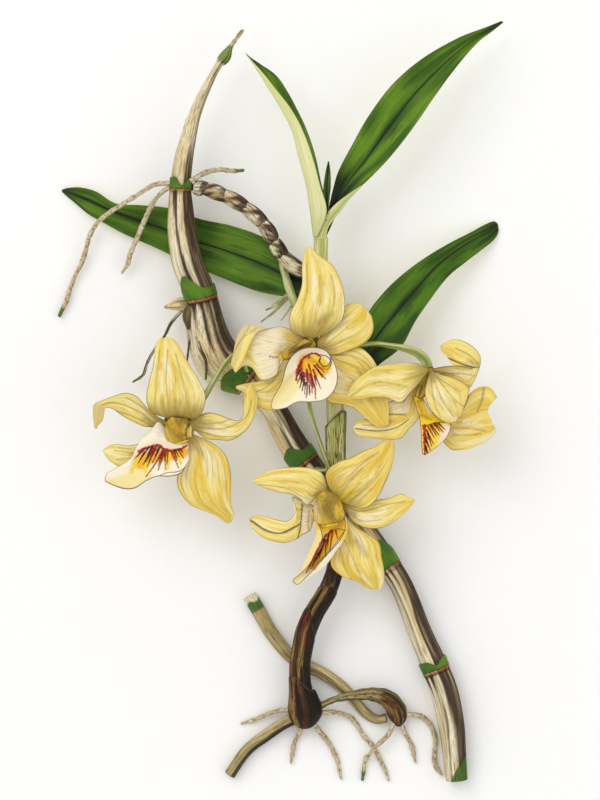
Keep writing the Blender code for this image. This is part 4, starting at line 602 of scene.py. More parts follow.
# Where one scale of the offshoot ends and the next begins
OFFSHOOT_MARKS = [
    (-37.8, 92.2), (-31.4, 91.4), (-23.2, 87.9), (-14.6, 83.6), (-6.9, 75.9), (-1.7, 68.6), (1.8, 62.6),
    (13.8, 55.3),
]
# Fine dry bracts at the offshoot's stalk: x, y, z and radius, mm
WISPS = [
    [(5.2, 48.5, 17.6, 0.5), (0.6, 44.6, 16.6, 0.4), (-3.6, 41.8, 15.8, 0.2)],
    [(6.4, 44.0, 18.0, 0.5), (3.0, 38.6, 17.2, 0.4), (0.4, 35.2, 16.6, 0.2)],
]
STALK_TOP = [(1.2, 60.6, 17.2, 1.9), (1.5, 58.0, 16.0, 2.0)]
# Sheaths of the leafy stem: start, top (x and y, mm), how far the top slopes down from its point, heading
STEM_SHEATHS = [
    ((11.0, -138.5), (8.6, -117.2), 9.0, 150), ((8.7, -124.0), (12.5, -87.6), 13.0, 170),
    ((11.0, -101.0), (22.0, -78.5), 4.0, 60), ((20.5, -83.5), (24.0, -3.5), 7.0, 20),
]
# The columns as seen: shares of the solid's half length, width and height, and the receptacle's radius, mm
COLUMN_SHAPES = {
    "bloom_1": (1.02, 1.5, 1.1, 4.6), "bloom_2": (1.04, 1.15, 1.05, 2.6),
    "bloom_3": (1.16, 1.66, 1.05, 6.4), "bloom_4": (1.12, 2.1, 1.0, 5.6),
}
# How golden each column is
COLUMN_GLOW = {"bloom_1": 0.3, "bloom_2": 0.6, "bloom_3": 0.8, "bloom_4": 1.0}
# The dark shade at each leaf's foot: its share of the length, its lean across the blade, and the leaf's light
LEAF_SHADES = {
    "leaf_upper_left": (0.10, 0.0, 0.8), "leaf_upper_right": (0.34, 0.16, 1.0),
    "leaf_lower_left": (0.16, 0.1, 0.75), "leaf_lower_right": (0.30, -0.12, 0.4),
    "leaf_young": (0.15, 0.0, 0.4),
}
# The petals whose yellow is deeper
PETAL_DEPTH = {
    "bloom_1_right_sepal": 0.5, "bloom_1_left_sepal": 0.2, "bloom_1_right_petal": 0.3,
    "bloom_2_right_sepal": 0.15, "bloom_2_right_petal": 0.15, "bloom_3_right_sepal": 0.6,
    "bloom_3_left_petal": 0.3, "bloom_3_right_petal": 0.2, "bloom_4_dorsal_sepal": 0.55,
    "bloom_4_right_sepal": 0.45,
}
# The pale foot that clasps the stem in front of the upper right leaf: rows of x, y and z, mm
LEAF_CLASP = [
    [(14.8, 70.0, 21.6), (19.9, 70.4, 21.4)], [(16.6, 74.6, 23.2), (20.6, 74.6, 22.4)],
    [(18.6, 79.0, 24.0), (23.0, 78.4, 23.2)], [(21.4, 82.6, 24.2), (26.4, 82.6, 23.6)],
    [(26.0, 86.8, 24.8), (30.0, 87.4, 24.4)], [(34.5, 92.8, 25.5), (34.9, 92.5, 25.4)],
]

# Paint on the lips: colour, width in mm, strength and strokes, x and y in mm from the hub
LIP_PAINT = {
    "bloom_1": [
        ("pale", 9.0, 0.7, [[(-8.4, -16.8), (-13.4, -22.3), (-17.7, -25.6)]]),
        ("gold", 8.6, 0.95, [[(-1.8, -8.1), (1.5, -10.0), (5.3, -10.2)]]),
        ("yellow", 2.4, 0.95, [
            [(0.9, -5.6), (5.3, -6.7), (7.8, -10.2)], [(-1.3, -8.1), (0.9, -12.4)],
            [(3.1, -9.7), (4.7, -13.5)],
        ]),
        ("red", 2.6, 0.85, [[(-4.6, -9.7), (-4.6, -12.4), (-3.4, -15.7)], [(-1.3, -13.5), (0.9, -17.9)]]),
        ("crescent", 1.5, 0.95, [
            [(-6.2, -14.8), (-5.9, -10.7), (-3.9, -6.5), (-1.4, -4.4), (1.7, -3.6), (3.7, -4.8)],
        ]),
        ("red", 1.15, 0.95, [
            [(-1.8, -10.8), (-1.6, -16.8), (-1.9, -23.0)], [(-0.2, -13.0), (1.7, -18.5), (1.9, -23.4)],
            [(0.9, -10.8), (4.2, -18.9)], [(1.5, -9.1), (6.4, -14.8)], [(2.6, -8.6), (5.7, -11.8)],
            [(-2.9, -12.4), (-3.0, -17.4)], [(-1.0, -8.6), (0.9, -15.2)], [(-3.5, -11.9), (-4.2, -16.8)],
            [(0.4, -14.6), (0.5, -20.7)],
        ]),
        ("black", 0.95, 0.95, [
            [(-4.6, -10.8), (-6.2, -14.1)], [(-4.0, -12.4), (-5.8, -16.6)], [(-3.5, -13.5), (-4.7, -18.5)],
            [(-2.8, -15.2), (-3.8, -19.8)], [(-2.2, -16.3), (-2.8, -21.2)], [(-0.7, -17.4), (-0.6, -21.8)],
            [(3.6, -7.0), (4.5, -4.8)], [(1.5, -13.5), (2.3, -17.4)], [(2.8, -10.8), (5.0, -14.1)],
        ]),
        ("line", 0.5, 0.85, [
            [(3.4, -4.2), (6.9, -5.0), (8.7, -7.8), (7.2, -10.5), (4.7, -10.0)],
            [(3.9, -7.5), (5.3, -9.4), (6.9, -9.4)],
        ]),
    ],
    "bloom_2": [
        ("yellow", 7.4, 0.95, [[(-6.2, -13.3), (-3.9, -20.7), (-0.4, -24.5)], [(-3.2, -22.1), (6.6, -23.1)]]),
        ("gold", 2.6, 0.6, [[(-3.2, -16.5), (-0.8, -22.1)]]),
        ("yellow", 9.5, 0.9, [[(0.8, -25.4), (-0.4, -32.4), (-1.5, -37.0)]]),
        ("pink", 3.0, 0.85, [[(7.1, -24.7), (5.9, -28.2), (3.8, -31.9)]]),
        ("olive", 2.4, 0.8, [[(-4.1, -19.8), (0.6, -21.7)], [(-5.0, -14.7), (-3.6, -18.4)]]),
        ("crescent", 1.6, 0.95, [[(-2.5, -24.5), (-2.4, -30.5), (-2.2, -37.0)]]),
        ("red", 1.1, 0.95, [
            [(-0.8, -24.7), (1.7, -29.4)], [(0.6, -24.0), (3.6, -28.2)], [(-1.4, -26.3), (1.3, -31.9)],
            [(2.2, -23.3), (5.5, -27.0)], [(-1.8, -30.0), (0.1, -34.7)], [(-1.9, -32.8), (-0.8, -37.0)],
            [(-2.5, -27.7), (-0.8, -30.0)],
        ]),
        ("black", 0.95, 0.95, [
            [(3.4, -23.3), (6.2, -25.9)], [(-1.0, -27.7), (0.6, -32.8)], [(0.1, -24.2), (2.7, -28.7)],
            [(-1.8, -33.3), (-1.2, -37.0)], [(1.5, -23.5), (4.1, -26.6)], [(-2.1, -29.6), (-0.7, -32.8)],
        ]),
        ("line", 0.45, 0.8, [[(-2.2, -24.5), (1.5, -23.3), (8.0, -22.8)]]),
    ],
    "bloom_3": [
        ("pale", 11.0, 0.8, [[(-15.3, -23.3), (-21.9, -25.5), (-27.9, -26.6)]]),
        ("gold", 6.4, 0.95, [[(-15.8, -15.6), (-9.8, -13.1), (-3.2, -12.6), (2.5, -11.5)]]),
        ("yellow", 2.2, 0.9, [
            [(-4.3, -11.8), (-4.3, -18.3)], [(-16.9, -14.0), (-19.7, -19.4)], [(0.1, -11.8), (1.2, -16.1)],
            [(-12.0, -14.5), (-14.2, -19.4)],
        ]),
        ("crescent", 1.5, 0.95, [
            [
                (-16.6, -11.2), (-14.2, -9.8), (-10.9, -8.7), (-8.4, -8.2), (-6.0, -9.8),
                (-3.2, -10.6), (0.1, -10.1), (3.9, -8.7),
            ],
        ]),
        ("red", 2.0, 0.7, [[(-10.9, -10.1), (-12.5, -13.4)], [(-6.0, -10.9), (-7.6, -14.5)]]),
        ("black", 0.95, 0.95, [
            [(-12.5, -9.3), (-16.4, -15.1)], [(-10.9, -9.0), (-14.7, -16.7)], [(-7.6, -9.3), (-10.9, -16.1)],
            [(-1.0, -10.4), (0.4, -13.4)], [(-1.8, -10.7), (-0.2, -15.1)], [(-5.4, -11.2), (-5.4, -18.9)],
            [(-11.7, -10.1), (-13.6, -14.5)], [(-9.5, -9.3), (-12.5, -15.6)], [(-8.4, -9.6), (-9.8, -14.0)],
            [(-14.2, -11.2), (-16.9, -16.1)], [(-6.5, -11.2), (-8.4, -17.2)],
        ]),
        ("red", 1.15, 0.95, [
            [(-9.2, -9.0), (-13.1, -17.8)], [(-6.2, -10.1), (-9.8, -16.7), (-13.4, -21.9)],
            [(-5.4, -10.7), (-8.4, -19.2)], [(-2.9, -10.7), (0.4, -18.3)], [(0.1, -10.1), (2.5, -14.2)],
            [(-14.2, -9.8), (-17.5, -13.4)], [(-4.3, -10.7), (-4.6, -16.7)],
            [(-15.3, -10.7), (-18.3, -14.0)], [(-1.6, -10.7), (-0.5, -14.0)], [(1.2, -10.1), (2.3, -11.8)],
            [(-10.3, -9.6), (-13.6, -15.6)],
        ]),
        ("line", 0.45, 0.8, [
            [
                (5.6, -6.8), (5.0, -11.8), (4.5, -15.6), (1.2, -19.4), (-5.4, -20.5),
                (-12.0, -23.8), (-20.2, -27.7),
            ],
        ]),
        ("shade", 7.0, 0.8, [[(-8.4, 2.5), (-7.6, -4.1)]]),
    ],
    "bloom_4": [
        ("yellow", 13.0, 0.9, [[(-5.5, -3.6), (-2.1, -10.5), (3.3, -11.5)]]),
        ("gold", 3.0, 0.55, [[(-6.5, -3.6), (-4.6, -11.5)], [(3.8, -4.6), (2.9, -11.0)]]),
        ("olive", 4.0, 0.6, [[(-8.0, -0.6), (-7.0, -6.6)]]),
        ("pale", 4.6, 0.85, [[(-5.5, -13.5), (-10.5, -22.9), (-15.9, -32.7)]]),
        ("gold", 4.8, 0.95, [[(1.1, -13.0), (-3.3, -19.4), (-8.5, -26.8)]]),
        ("yellow", 1.8, 0.9, [[(2.4, -13.0), (-1.1, -17.9), (-5.5, -23.8)]]),
        ("olive", 2.2, 0.8, [[(-3.1, -15.9), (-5.5, -21.4), (-7.5, -24.3)]]),
        ("crescent", 1.2, 0.95, [
            [(-0.1, -11.9), (-2.8, -13.7), (-5.0, -17.4), (-7.5, -22.4), (-11.2, -29.5)],
        ]),
        ("red", 1.05, 0.95, [
            [(-0.8, -12.0), (-2.8, -16.9)], [(0.1, -12.0), (-1.0, -20.4)], [(1.5, -11.9), (2.3, -15.0)],
            [(-3.0, -15.9), (-2.7, -22.4)], [(-4.0, -17.9), (-5.4, -21.9)], [(-6.0, -21.4), (-7.5, -24.8)],
            [(-1.8, -14.5), (-2.0, -18.9)], [(-5.0, -19.9), (-5.5, -23.8)], [(-7.0, -23.3), (-8.5, -26.8)],
        ]),
        ("black", 0.95, 0.95, [
            [(-3.4, -15.2), (-4.2, -18.9)], [(-5.4, -20.4), (-6.6, -24.6)], [(-1.6, -13.5), (-2.3, -17.4)],
            [(-4.5, -18.9), (-5.0, -21.4)], [(-7.3, -24.3), (-8.7, -27.0)],
        ]),
        ("line", 0.4, 0.75, [
            [(4.8, -12.5), (1.6, -17.2), (-2.1, -21.4), (-6.0, -25.3), (-11.2, -30.0)],
            [(5.6, -11.7), (1.9, -11.0), (-2.1, -13.0)],
        ]),
    ],
}
# Paint on the columns, in the same way
COLUMN_PAINT = {
    "bloom_1": [
        ("line", 0.6, 0.9, [[(-13.6, -3.6), (-9.5, 0.3), (-4.4, 2.7), (0.1, 1.7)]]),
        ("gold", 3.0, 0.9, [[(-13.1, -5.1), (-10.6, -5.6)]]),
        ("line", 0.5, 0.7, [
            [(-9.5, -2.6), (-5.5, 0.4)], [(-7.5, -3.6), (-2.4, -0.0)], [(-4.6, -1.5), (-1.3, 0.7)],
        ]),
    ],
    "bloom_3": [
        ("gold", 3.4, 0.8, [[(-3.6, 1.3), (1.7, -2.1)]]),
        ("olive", 2.2, 0.85, [[(-5.1, 0.9), (-0.2, -4.0), (3.6, -7.9)]]),
        ("deep", 2.0, 0.8, [[(-2.1, -0.8), (-0.5, -3.0)]]),
        ("line", 0.7, 0.85, [
            [(6.1, 2.8), (3.6, -2.1), (4.1, -6.9), (5.1, -8.9)], [(-5.6, 4.3), (-0.2, 3.6), (6.6, 2.8)],
        ]),
        ("pale", 1.1, 0.9, [[(7.0, 2.3), (5.3, -2.5), (5.8, -5.9)]]),
        ("olive", 1.0, 0.8, [[(-3.2, 2.5), (-0.5, -3.0)], [(-1.6, 3.0), (1.2, -1.3)]]),
    ],
    "bloom_4": [
        ("shade", 4.0, 0.45, [[(-7.5, -1.6), (-6.0, -7.5)]]),
        ("yellow", 3.0, 0.8, [[(3.7, -0.5), (4.7, -5.6), (4.2, -9.7)], [(-4.5, -10.2), (1.2, -10.2)]]),
        ("olive", 3.4, 0.85, [[(-4.5, 2.6), (-1.9, -2.6), (0.3, -7.6)]]),
        ("olive", 1.1, 0.8, [
            [(-3.1, 1.3), (-0.1, -3.6), (1.4, -7.1)], [(-4.1, -0.6), (-1.1, -6.6)],
            [(-1.1, 0.4), (0.9, -2.6)],
        ]),
    ],
    "bloom_2": [
        ("line", 0.6, 0.7, [[(-5.0, -7.2), (-6.9, -12.8)], [(-3.6, -7.2), (-5.5, -13.7)]]),
    ],
}
# Paint on the petals: the same, with the height above the hub from which the paint takes. Olive strokes near
# the claws are painted shade, and white strokes are partly painted highlight.
PETAL_PAINT = {
    "bloom_1_dorsal_sepal": [
        ("white", 1.8, 0.7, NO_FLOOR, [[(0.9, 28.7), (1.2, 21.6), (2.6, 14.4)], [(5.8, 24.3), (6.7, 17.7)]]),
        ("grey", 0.6, 0.6, NO_FLOOR, [
            [(-1.8, 34.2), (-1.8, 22.7), (-4.6, 11.1)], [(8.6, 29.2), (10.0, 22.1), (8.6, 13.3)],
            [(3.6, 29.2), (3.9, 16.6)],
        ]),
        ("olive", 4.6, 0.6, NO_FLOOR, [[(3.6, 9.5), (9.1, 13.3)]]),
        ("deep", 3.0, 0.5, NO_FLOOR, [[(-4.0, 18.8), (-3.5, 7.9)], [(12.4, 21.0), (11.3, 14.4)]]),
    ],
    "bloom_1_left_petal": [
        ("cream", 9.5, 0.97, NO_FLOOR, [[(-18.8, 4.6), (-21.0, -2.0), (-18.8, -11.9)]]),
        ("cream", 6.5, 0.97, NO_FLOOR, [[(-13.9, 2.4), (-15.0, -5.3), (-13.9, -13.0)]]),
        ("deep", 3.4, 0.8, NO_FLOOR, [[(-11.2, 4.0), (-6.2, 3.5)]]),
        ("line", 0.5, 0.9, NO_FLOOR, [[(-17.7, -5.0), (-15.0, -5.4), (-12.3, -5.0)]]),
        ("deep", 2.2, 0.8, NO_FLOOR, [[(-15.0, -3.4), (-11.2, -3.4)]]),
        ("tan", 7.0, 0.85, 3.2, [[(-18.8, 5.7), (-28.7, 7.9), (-33.1, -5.3), (-36.4, -11.9)]]),
        ("grey", 0.6, 0.6, 3.2, [[(-23.2, 6.8), (-29.8, 1.8), (-34.2, -7.5)], [(-26.0, 7.9), (-32.0, -2.0)]]),
    ],
    "bloom_1_right_petal": [
        ("olive", 4.0, 0.6, NO_FLOOR, [[(3.6, -1.5), (10.2, -2.0)]]),
        ("grey", 0.55, 0.55, NO_FLOOR, [
            [(4.7, -0.4), (12.4, 12.2)], [(5.8, -0.9), (15.7, 7.9)], [(6.4, -1.5), (16.8, 3.5)],
        ]),
        ("white", 2.2, 0.4, NO_FLOOR, [[(11.3, 11.1), (14.6, 5.7)]]),
    ],
    "bloom_1_right_sepal": [
        ("deep", 3.0, 0.7, NO_FLOOR, [[(12.4, -8.6), (17.9, -14.1)], [(15.2, -17.4), (21.2, -21.8)]]),
        ("grey", 0.6, 0.6, NO_FLOOR, [
            [(10.2, -4.2), (17.9, -5.3), (23.9, -11.9)], [(10.8, -6.4), (20.1, -10.8), (24.5, -17.4)],
            [(11.3, -9.7), (20.1, -17.4), (26.1, -24.0)],
        ]),
    ],
    "bloom_1_left_sepal": [
        ("grey", 0.6, 0.55, NO_FLOOR, [
            [(-12.3, -10.8), (-18.8, -17.9), (-26.0, -21.2)], [(-11.2, -14.1), (-18.8, -20.7)],
        ]),
    ],
    "bloom_2_left_petal": [
        ("olive", 1.5, 0.6, NO_FLOOR, [
            [(-33.5, -11.4), (-26.5, -6.7), (-21.8, -5.6), (-16.2, -6.3), (-9.7, -7.9)],
        ]),
        ("white", 2.0, 0.35, NO_FLOOR, [[(-26.5, -3.5), (-12.5, -3.0)]]),
    ],
    "bloom_2_left_sepal": [
        ("cream", 6.0, 0.9, NO_FLOOR, [[(-16.2, -15.6), (-10.6, -17.0)]]),
        ("line", 0.6, 0.8, NO_FLOOR, [
            [(-18.1, -19.4), (-10.4, -19.6)],
            [(-31.6, -25.6), (-21.8, -26.6), (-14.3, -25.2), (-9.2, -21.7)],
        ]),
        ("deep", 2.0, 0.6, NO_FLOOR, [[(-19.5, -22.1), (-11.5, -21.7)]]),
        ("grey", 0.5, 0.6, NO_FLOOR, [[(-26.5, -22.1), (-14.3, -22.6)], [(-28.8, -24.0), (-17.1, -24.5)]]),
    ],
    "bloom_2_right_petal": [
        ("white", 3.2, 0.55, NO_FLOOR, [[(3.8, -10.0), (10.4, -17.5)], [(6.6, -18.4), (11.8, -22.1)]]),
        ("olive", 3.0, 0.6, NO_FLOOR, [[(0.6, -1.6), (1.5, -5.3)]]),
        ("grey", 0.6, 0.65, NO_FLOOR, [
            [(0.1, -3.0), (1.5, -13.7), (4.3, -20.7)], [(1.0, -3.0), (5.2, -13.7), (9.9, -20.3)],
            [(2.0, -3.0), (9.9, -12.8), (14.6, -16.5)], [(2.4, -3.5), (12.7, -10.0)],
        ]),
    ],
    "bloom_2_dorsal_sepal": [
        ("line", 0.7, 0.8, NO_FLOOR, [[(6.6, 4.9), (14.6, 1.7), (20.2, 0.7), (24.4, 2.6)]]),
        ("grey", 0.6, 0.6, NO_FLOOR, [
            [(4.3, -1.6), (13.2, -2.1), (19.7, -3.0)], [(3.8, -2.5), (10.8, -5.3), (17.4, -7.2)],
            [(10.8, 8.7), (16.9, 5.4), (20.2, 1.7)],
        ]),
        ("olive", 3.0, 0.55, NO_FLOOR, [[(4.3, -1.6), (9.9, -2.5)], [(16.4, 3.1), (21.6, 1.7)]]),
    ],
    "bloom_2_right_sepal": [
        ("grey", 1.3, 0.65, NO_FLOOR, [[(23.0, -8.1), (22.0, -13.3), (20.2, -17.9)]]),
        ("olive", 1.3, 0.65, NO_FLOOR, [
            [(9.0, -25.4), (16.4, -25.4), (23.4, -26.3)], [(9.9, -28.2), (16.9, -28.2), (21.6, -27.7)],
            [(11.8, -22.6), (17.8, -23.1)],
        ]),
        ("white", 2.6, 0.7, NO_FLOOR, [[(14.6, -22.6), (22.0, -24.2)]]),
        ("line", 0.6, 0.75, NO_FLOOR, [[(9.9, -21.2), (14.6, -16.1), (16.9, -10.0)]]),
    ],
    "bloom_3_dorsal_sepal": [
        ("white", 2.0, 0.75, NO_FLOOR, [
            [(-6.0, 27.7), (-3.2, 22.8), (-2.7, 16.2)], [(-7.6, 22.8), (-6.5, 13.5)],
        ]),
        ("olive", 6.5, 0.6, NO_FLOOR, [[(-12.0, 5.8), (-7.6, 3.0)], [(7.2, 5.8), (3.9, 3.0)]]),
        ("olive", 3.6, 0.5, NO_FLOOR, [[(-0.5, 10.2), (-0.5, 3.0)]]),
        ("grey", 0.6, 0.6, NO_FLOOR, [
            [(-7.6, 32.1), (-9.2, 19.0), (-9.8, 8.0)], [(-1.0, 30.5), (2.3, 17.9), (4.5, 8.0)],
            [(-4.3, 32.1), (-4.9, 19.0), (-3.8, 6.9)],
        ]),
        ("deep", 2.4, 0.5, NO_FLOOR, [[(0.1, 24.4), (1.2, 12.4)]]),
    ],
    "bloom_3_left_petal": [
        ("olive", 5.5, 0.75, NO_FLOOR, [[(-7.6, -0.8), (-14.2, 3.0)]]),
        ("grey", 0.6, 0.7, NO_FLOOR, [
            [(-8.7, -0.8), (-16.4, 5.8), (-27.3, 9.6), (-33.9, 8.0)],
            [(-9.8, -1.3), (-18.6, 3.6), (-28.4, 6.9)], [(-7.6, 0.3), (-14.2, 6.9), (-21.9, 11.8)],
        ]),
        ("tan", 5.5, 0.8, NO_FLOOR, [[(-34.2, 6.9), (-35.0, -0.8)]]),
    ],
    "bloom_3_right_petal": [
        ("olive", 5.0, 0.7, NO_FLOOR, [[(8.9, 0.3), (14.3, -0.2)]]),
        ("grey", 0.6, 0.7, NO_FLOOR, [
            [(8.3, 0.9), (19.3, 1.4), (26.4, 5.8), (29.1, 13.5)],
            [(8.3, -0.8), (19.3, -1.3), (28.6, 3.0), (31.3, 10.2)],
            [(8.9, -2.4), (16.5, -4.6), (25.3, -4.6)],
        ]),
        ("white", 1.6, 0.4, NO_FLOOR, [[(19.3, 0.3), (26.4, 3.6)]]),
    ],
    "bloom_3_right_sepal": [
        ("deep", 2.8, 0.7, NO_FLOOR, [[(8.9, -14.0), (11.0, -23.8)], [(14.3, -8.5), (17.1, -17.2)]]),
        ("white", 2.4, 0.55, NO_FLOOR, [[(16.5, -11.8), (19.8, -22.7)], [(6.7, -8.5), (7.8, -11.8)]]),
        ("olive", 5.0, 0.5, NO_FLOOR, [[(6.7, -8.5), (10.0, -11.8)]]),
        ("deep", 1.8, 0.8, NO_FLOOR, [[(10.0, -21.6), (11.6, -28.2)]]),
    ],
    "bloom_3_left_sepal": [
        ("grey", 0.6, 0.6, NO_FLOOR, [
            [(-19.1, -11.8), (-27.3, -10.7)], [(-19.7, -14.0), (-26.2, -14.5)],
            [(-20.2, -10.1), (-25.7, -9.6)],
        ]),
        ("olive", 3.0, 0.4, NO_FLOOR, [[(-18.0, -11.8), (-20.2, -12.9)]]),
    ],
    "bloom_4_left_petal": [
        ("deep", 3.2, 0.75, NO_FLOOR, [[(-17.9, 6.3), (-10.0, 4.8)]]),
        ("grey", 0.6, 0.55, NO_FLOOR, [
            [(-30.7, 7.8), (-19.9, 6.3), (-8.0, 0.4)], [(-29.7, 5.8), (-19.9, 3.3), (-10.0, -1.6)],
        ]),
        ("white", 2.0, 0.5, NO_FLOOR, [[(-12.0, 0.4), (-6.0, 2.3)]]),
    ],
    "bloom_4_dorsal_sepal": [
        ("deep", 8.0, 0.7, NO_FLOOR, [[(1.9, 0.4), (9.8, 11.2), (19.6, 18.1)]]),
        ("olive", 1.8, 0.6, NO_FLOOR, [
            [(2.9, 3.3), (7.8, 9.7), (12.7, 14.7)], [(4.8, 1.3), (11.7, 8.7)], [(7.8, 0.8), (15.7, 9.7)],
        ]),
        ("grey", 0.6, 0.6, NO_FLOOR, [
            [(1.9, 4.3), (9.8, 14.2), (19.6, 21.6)], [(6.3, -0.6), (14.7, 7.3), (21.1, 17.1)],
            [(9.8, -1.1), (16.7, 6.3)],
        ]),
    ],
    "bloom_4_right_petal": [
        ("olive", 6.0, 0.6, NO_FLOOR, [[(4.3, -0.6), (9.3, -4.6)]]),
        ("white", 3.4, 0.7, NO_FLOOR, [[(16.7, -5.6), (22.6, -3.1)]]),
        ("grey", 0.6, 0.6, NO_FLOOR, [
            [(3.8, -0.6), (12.2, -3.6), (23.6, -0.6), (30.5, 0.4)],
            [(4.8, -2.6), (12.7, -7.5), (21.1, -7.1)],
        ]),
    ],
    "bloom_4_right_sepal": [
        ("olive", 4.6, 0.5, NO_FLOOR, [[(9.8, -16.4), (14.2, -22.4)]]),
        ("deep", 4.0, 0.6, NO_FLOOR, [[(2.9, -22.4), (9.8, -33.2)]]),
        ("white", 2.2, 0.5, NO_FLOOR, [[(6.3, -18.4), (8.8, -25.8)], [(12.7, -30.8), (16.7, -35.2)]]),
        ("grey", 0.6, 0.55, NO_FLOOR, [
            [(4.8, -15.4), (9.8, -25.8), (13.7, -35.7)], [(2.9, -18.4), (5.8, -28.3), (10.8, -35.7)],
        ]),
    ],
    "bloom_4_left_sepal": [
        ("cream", 5.5, 0.85, NO_FLOOR, [[(-10.5, -3.1), (-11.5, -8.5), (-10.5, -14.5)]]),
        ("grey", 0.8, 0.6, NO_FLOOR, [[(-10.0, -3.6), (-10.5, -8.5), (-10.0, -13.5)]]),
        ("line", 0.9, 0.8, NO_FLOOR, [[(-34.7, -7.5), (-27.3, -12.0), (-21.3, -12.7), (-13.9, -9.0)]]),
        ("line", 0.7, 0.8, NO_FLOOR, [[(-12.9, -0.6), (-13.4, -6.6), (-13.9, -11.0), (-14.9, -15.0)]]),
    ],
}


def linear(red, green, blue):
    """An sRGB colour, 0 to 255, as linear values."""
    values = np.array([red, green, blue]) / 255.0
    return np.where(values <= 0.04045, values / 12.92, ((values + 0.055) / 1.055) ** 2.4)


def smooth(low, high, value):
    t = np.clip((value - low) / (high - low), 0.0, 1.0)
    return t * t * (3 - 2 * t)


def mix(colours, colour, amount):
    amount = np.clip(amount, 0.0, 1.0)[..., None]
    return colours * (1 - amount) + np.asarray(colour) * amount


def plain(points, colour):
    """One colour for every point of a lattice."""
    return np.zeros((*points.shape[:2], 3)) + colour


def ridge(value, centre, width):
    """1 at the centre and nearly 0 two widths away."""
    return np.exp(-(((value - centre) / width) ** 2))


def lengths(points, axis):
    """How long each line of a lattice is along an axis."""
    return np.linalg.norm(np.diff(points, axis=axis), axis=2).sum(axis=axis)


def shares(points):
    """0 to 1 across and along a lattice, ready to spread over it."""
    rows, columns = points.shape[:2]
    return np.linspace(0, 1, columns)[None, :], np.linspace(0, 1, rows)[:, None]


def chords(points):
    steps = np.linalg.norm(np.diff(points[:, :3], axis=0), axis=1)
    return np.concatenate([[0.0], np.cumsum(np.maximum(steps, 0.01))])


def spline(points, knots, at):
    """A smooth curve through the points, read at distances along it."""
    points = np.asarray(points, float)
    last = len(points) - 1
    before = np.maximum(np.arange(last + 1) - 1, 0)
    after = np.minimum(np.arange(last + 1) + 1, last)
    slopes = (points[after] - points[before]) / (knots[after] - knots[before])[:, None]
    at = np.clip(at, 0.0, knots[-1])
    index = np.clip(np.searchsorted(knots, at, "right") - 1, 0, last - 1)
    span = (knots[index + 1] - knots[index])[:, None]
    t = (at[:, None] - knots[index][:, None]) / span
    return (
        (1 + 2 * t) * (1 - t) ** 2 * points[index]
        + t * (1 - t) ** 2 * span * slopes[index]
        + t * t * (3 - 2 * t) * points[index + 1]
        + t * t * (t - 1) * span * slopes[index + 1]
    )


def surface(rows, along, across, crown=0.0):
    """Points of a sheet through rows of control points: (along + 1) by (across + 1) by 3, in mm."""
    full = []
    for row in rows:
        row = np.array(row, float)
        if len(row) == 2:
            middle = row.mean(axis=0) + [0, 0, crown * np.linalg.norm(row[1] - row[0])]
            row = np.array([row[0], middle, row[1]])
        full.append(row)
    full = np.array(full)
    knots = chords(full.mean(axis=1))
    at = knots[-1] * np.linspace(0, 1, along + 1)
    columns = np.stack([spline(full[:, n], knots, at) for n in range(full.shape[1])], axis=1)
    share = np.linspace(0, 1, across + 1) * (full.shape[1] - 1)
    index = np.minimum(share.astype(int), full.shape[1] - 2)
    lines = []
    for row in columns:
        own = chords(row)
        lines.append(spline(row, own, own[index] + (share - index) * (own[index + 1] - own[index])))
    return np.array(lines)


def facing(points):
    """Unit normals of a lattice of points."""
    normals = np.cross(np.gradient(points, axis=1), np.gradient(points, axis=0))
    length = np.linalg.norm(normals, axis=2, keepdims=True)
    return normals / np.maximum(length, 1e-9)


def waves(points, scale, seed=0.0):
    """Smooth noise, -1 to 1, at each of the points."""
    flat = points.reshape(-1, points.shape[-1])
    if flat.shape[1] == 2:
        flat = np.concatenate([flat, np.zeros((len(flat), 1))], axis=1)
    places = flat * scale + [seed, 0.0, 0.0]
    return np.array([noise.noise(Vector(place)) for place in places]).reshape(points.shape[:-1])


def near_line(points, line):
    """Distance in plan, mm, of each point to a polyline, and how far along the polyline it lies, 0 to 1."""
    line = np.asarray(line, float)[:, :2]
    steps = np.linalg.norm(np.diff(line, axis=0), axis=1)
    total = steps.sum()
    best = np.full(points.shape[:-1], 1e9)
    where = np.zeros(points.shape[:-1])
    run = 0.0
    for a, b, length in zip(line, line[1:], steps):
        step = b - a
        t = np.clip(((points[..., :2] - a) @ step) / max(length, 1e-6) ** 2, 0.0, 1.0)
        gap = np.linalg.norm(points[..., :2] - (a + t[..., None] * step), axis=-1)
        closer = gap < best
        best = np.where(closer, gap, best)
        where = np.where(closer, (run + t * length) / total, where)
        run += length
    return best, where


def brush(line):
    """A stroke's points joined by a smooth curve."""
    line = np.array(line, float)
    if len(line) < 3:
        return line
    knots = chords(line)
    return spline(line, knots, np.linspace(0, knots[-1], max(int(knots[-1] / STROKE_STEP), 4) + 1))


def strokes(colours, points, lines, paint, width, strength, taper, floor, ragged, soft_paints=()):
    """Brush strokes that thin out towards their far end; floor is the height above which they take."""
    soft = paint in (soft_paints or SOFT_PAINTS)
    rough = waves(points, 0.9 if soft else 1.3, width)
    for line in lines:
        gap, along = near_line(points, brush(line))
        half = width / 2 * (1 - taper * along)
        if soft:
            amount = strength * np.exp(-((gap / (half * 0.85)) ** 2)) * (0.75 + 0.4 * rough)
        else:
            frayed = gap + np.minimum(ragged * half, 0.7) * rough
            amount = strength * (1 - smooth(half * 0.7, half * 1.2 + 0.08, frayed))
        if floor > NO_FLOOR:
            amount = amount * smooth(floor - 0.6, floor + 0.6, points[..., 2])
        colours = mix(colours, PAINTS[paint], amount)
    return colours


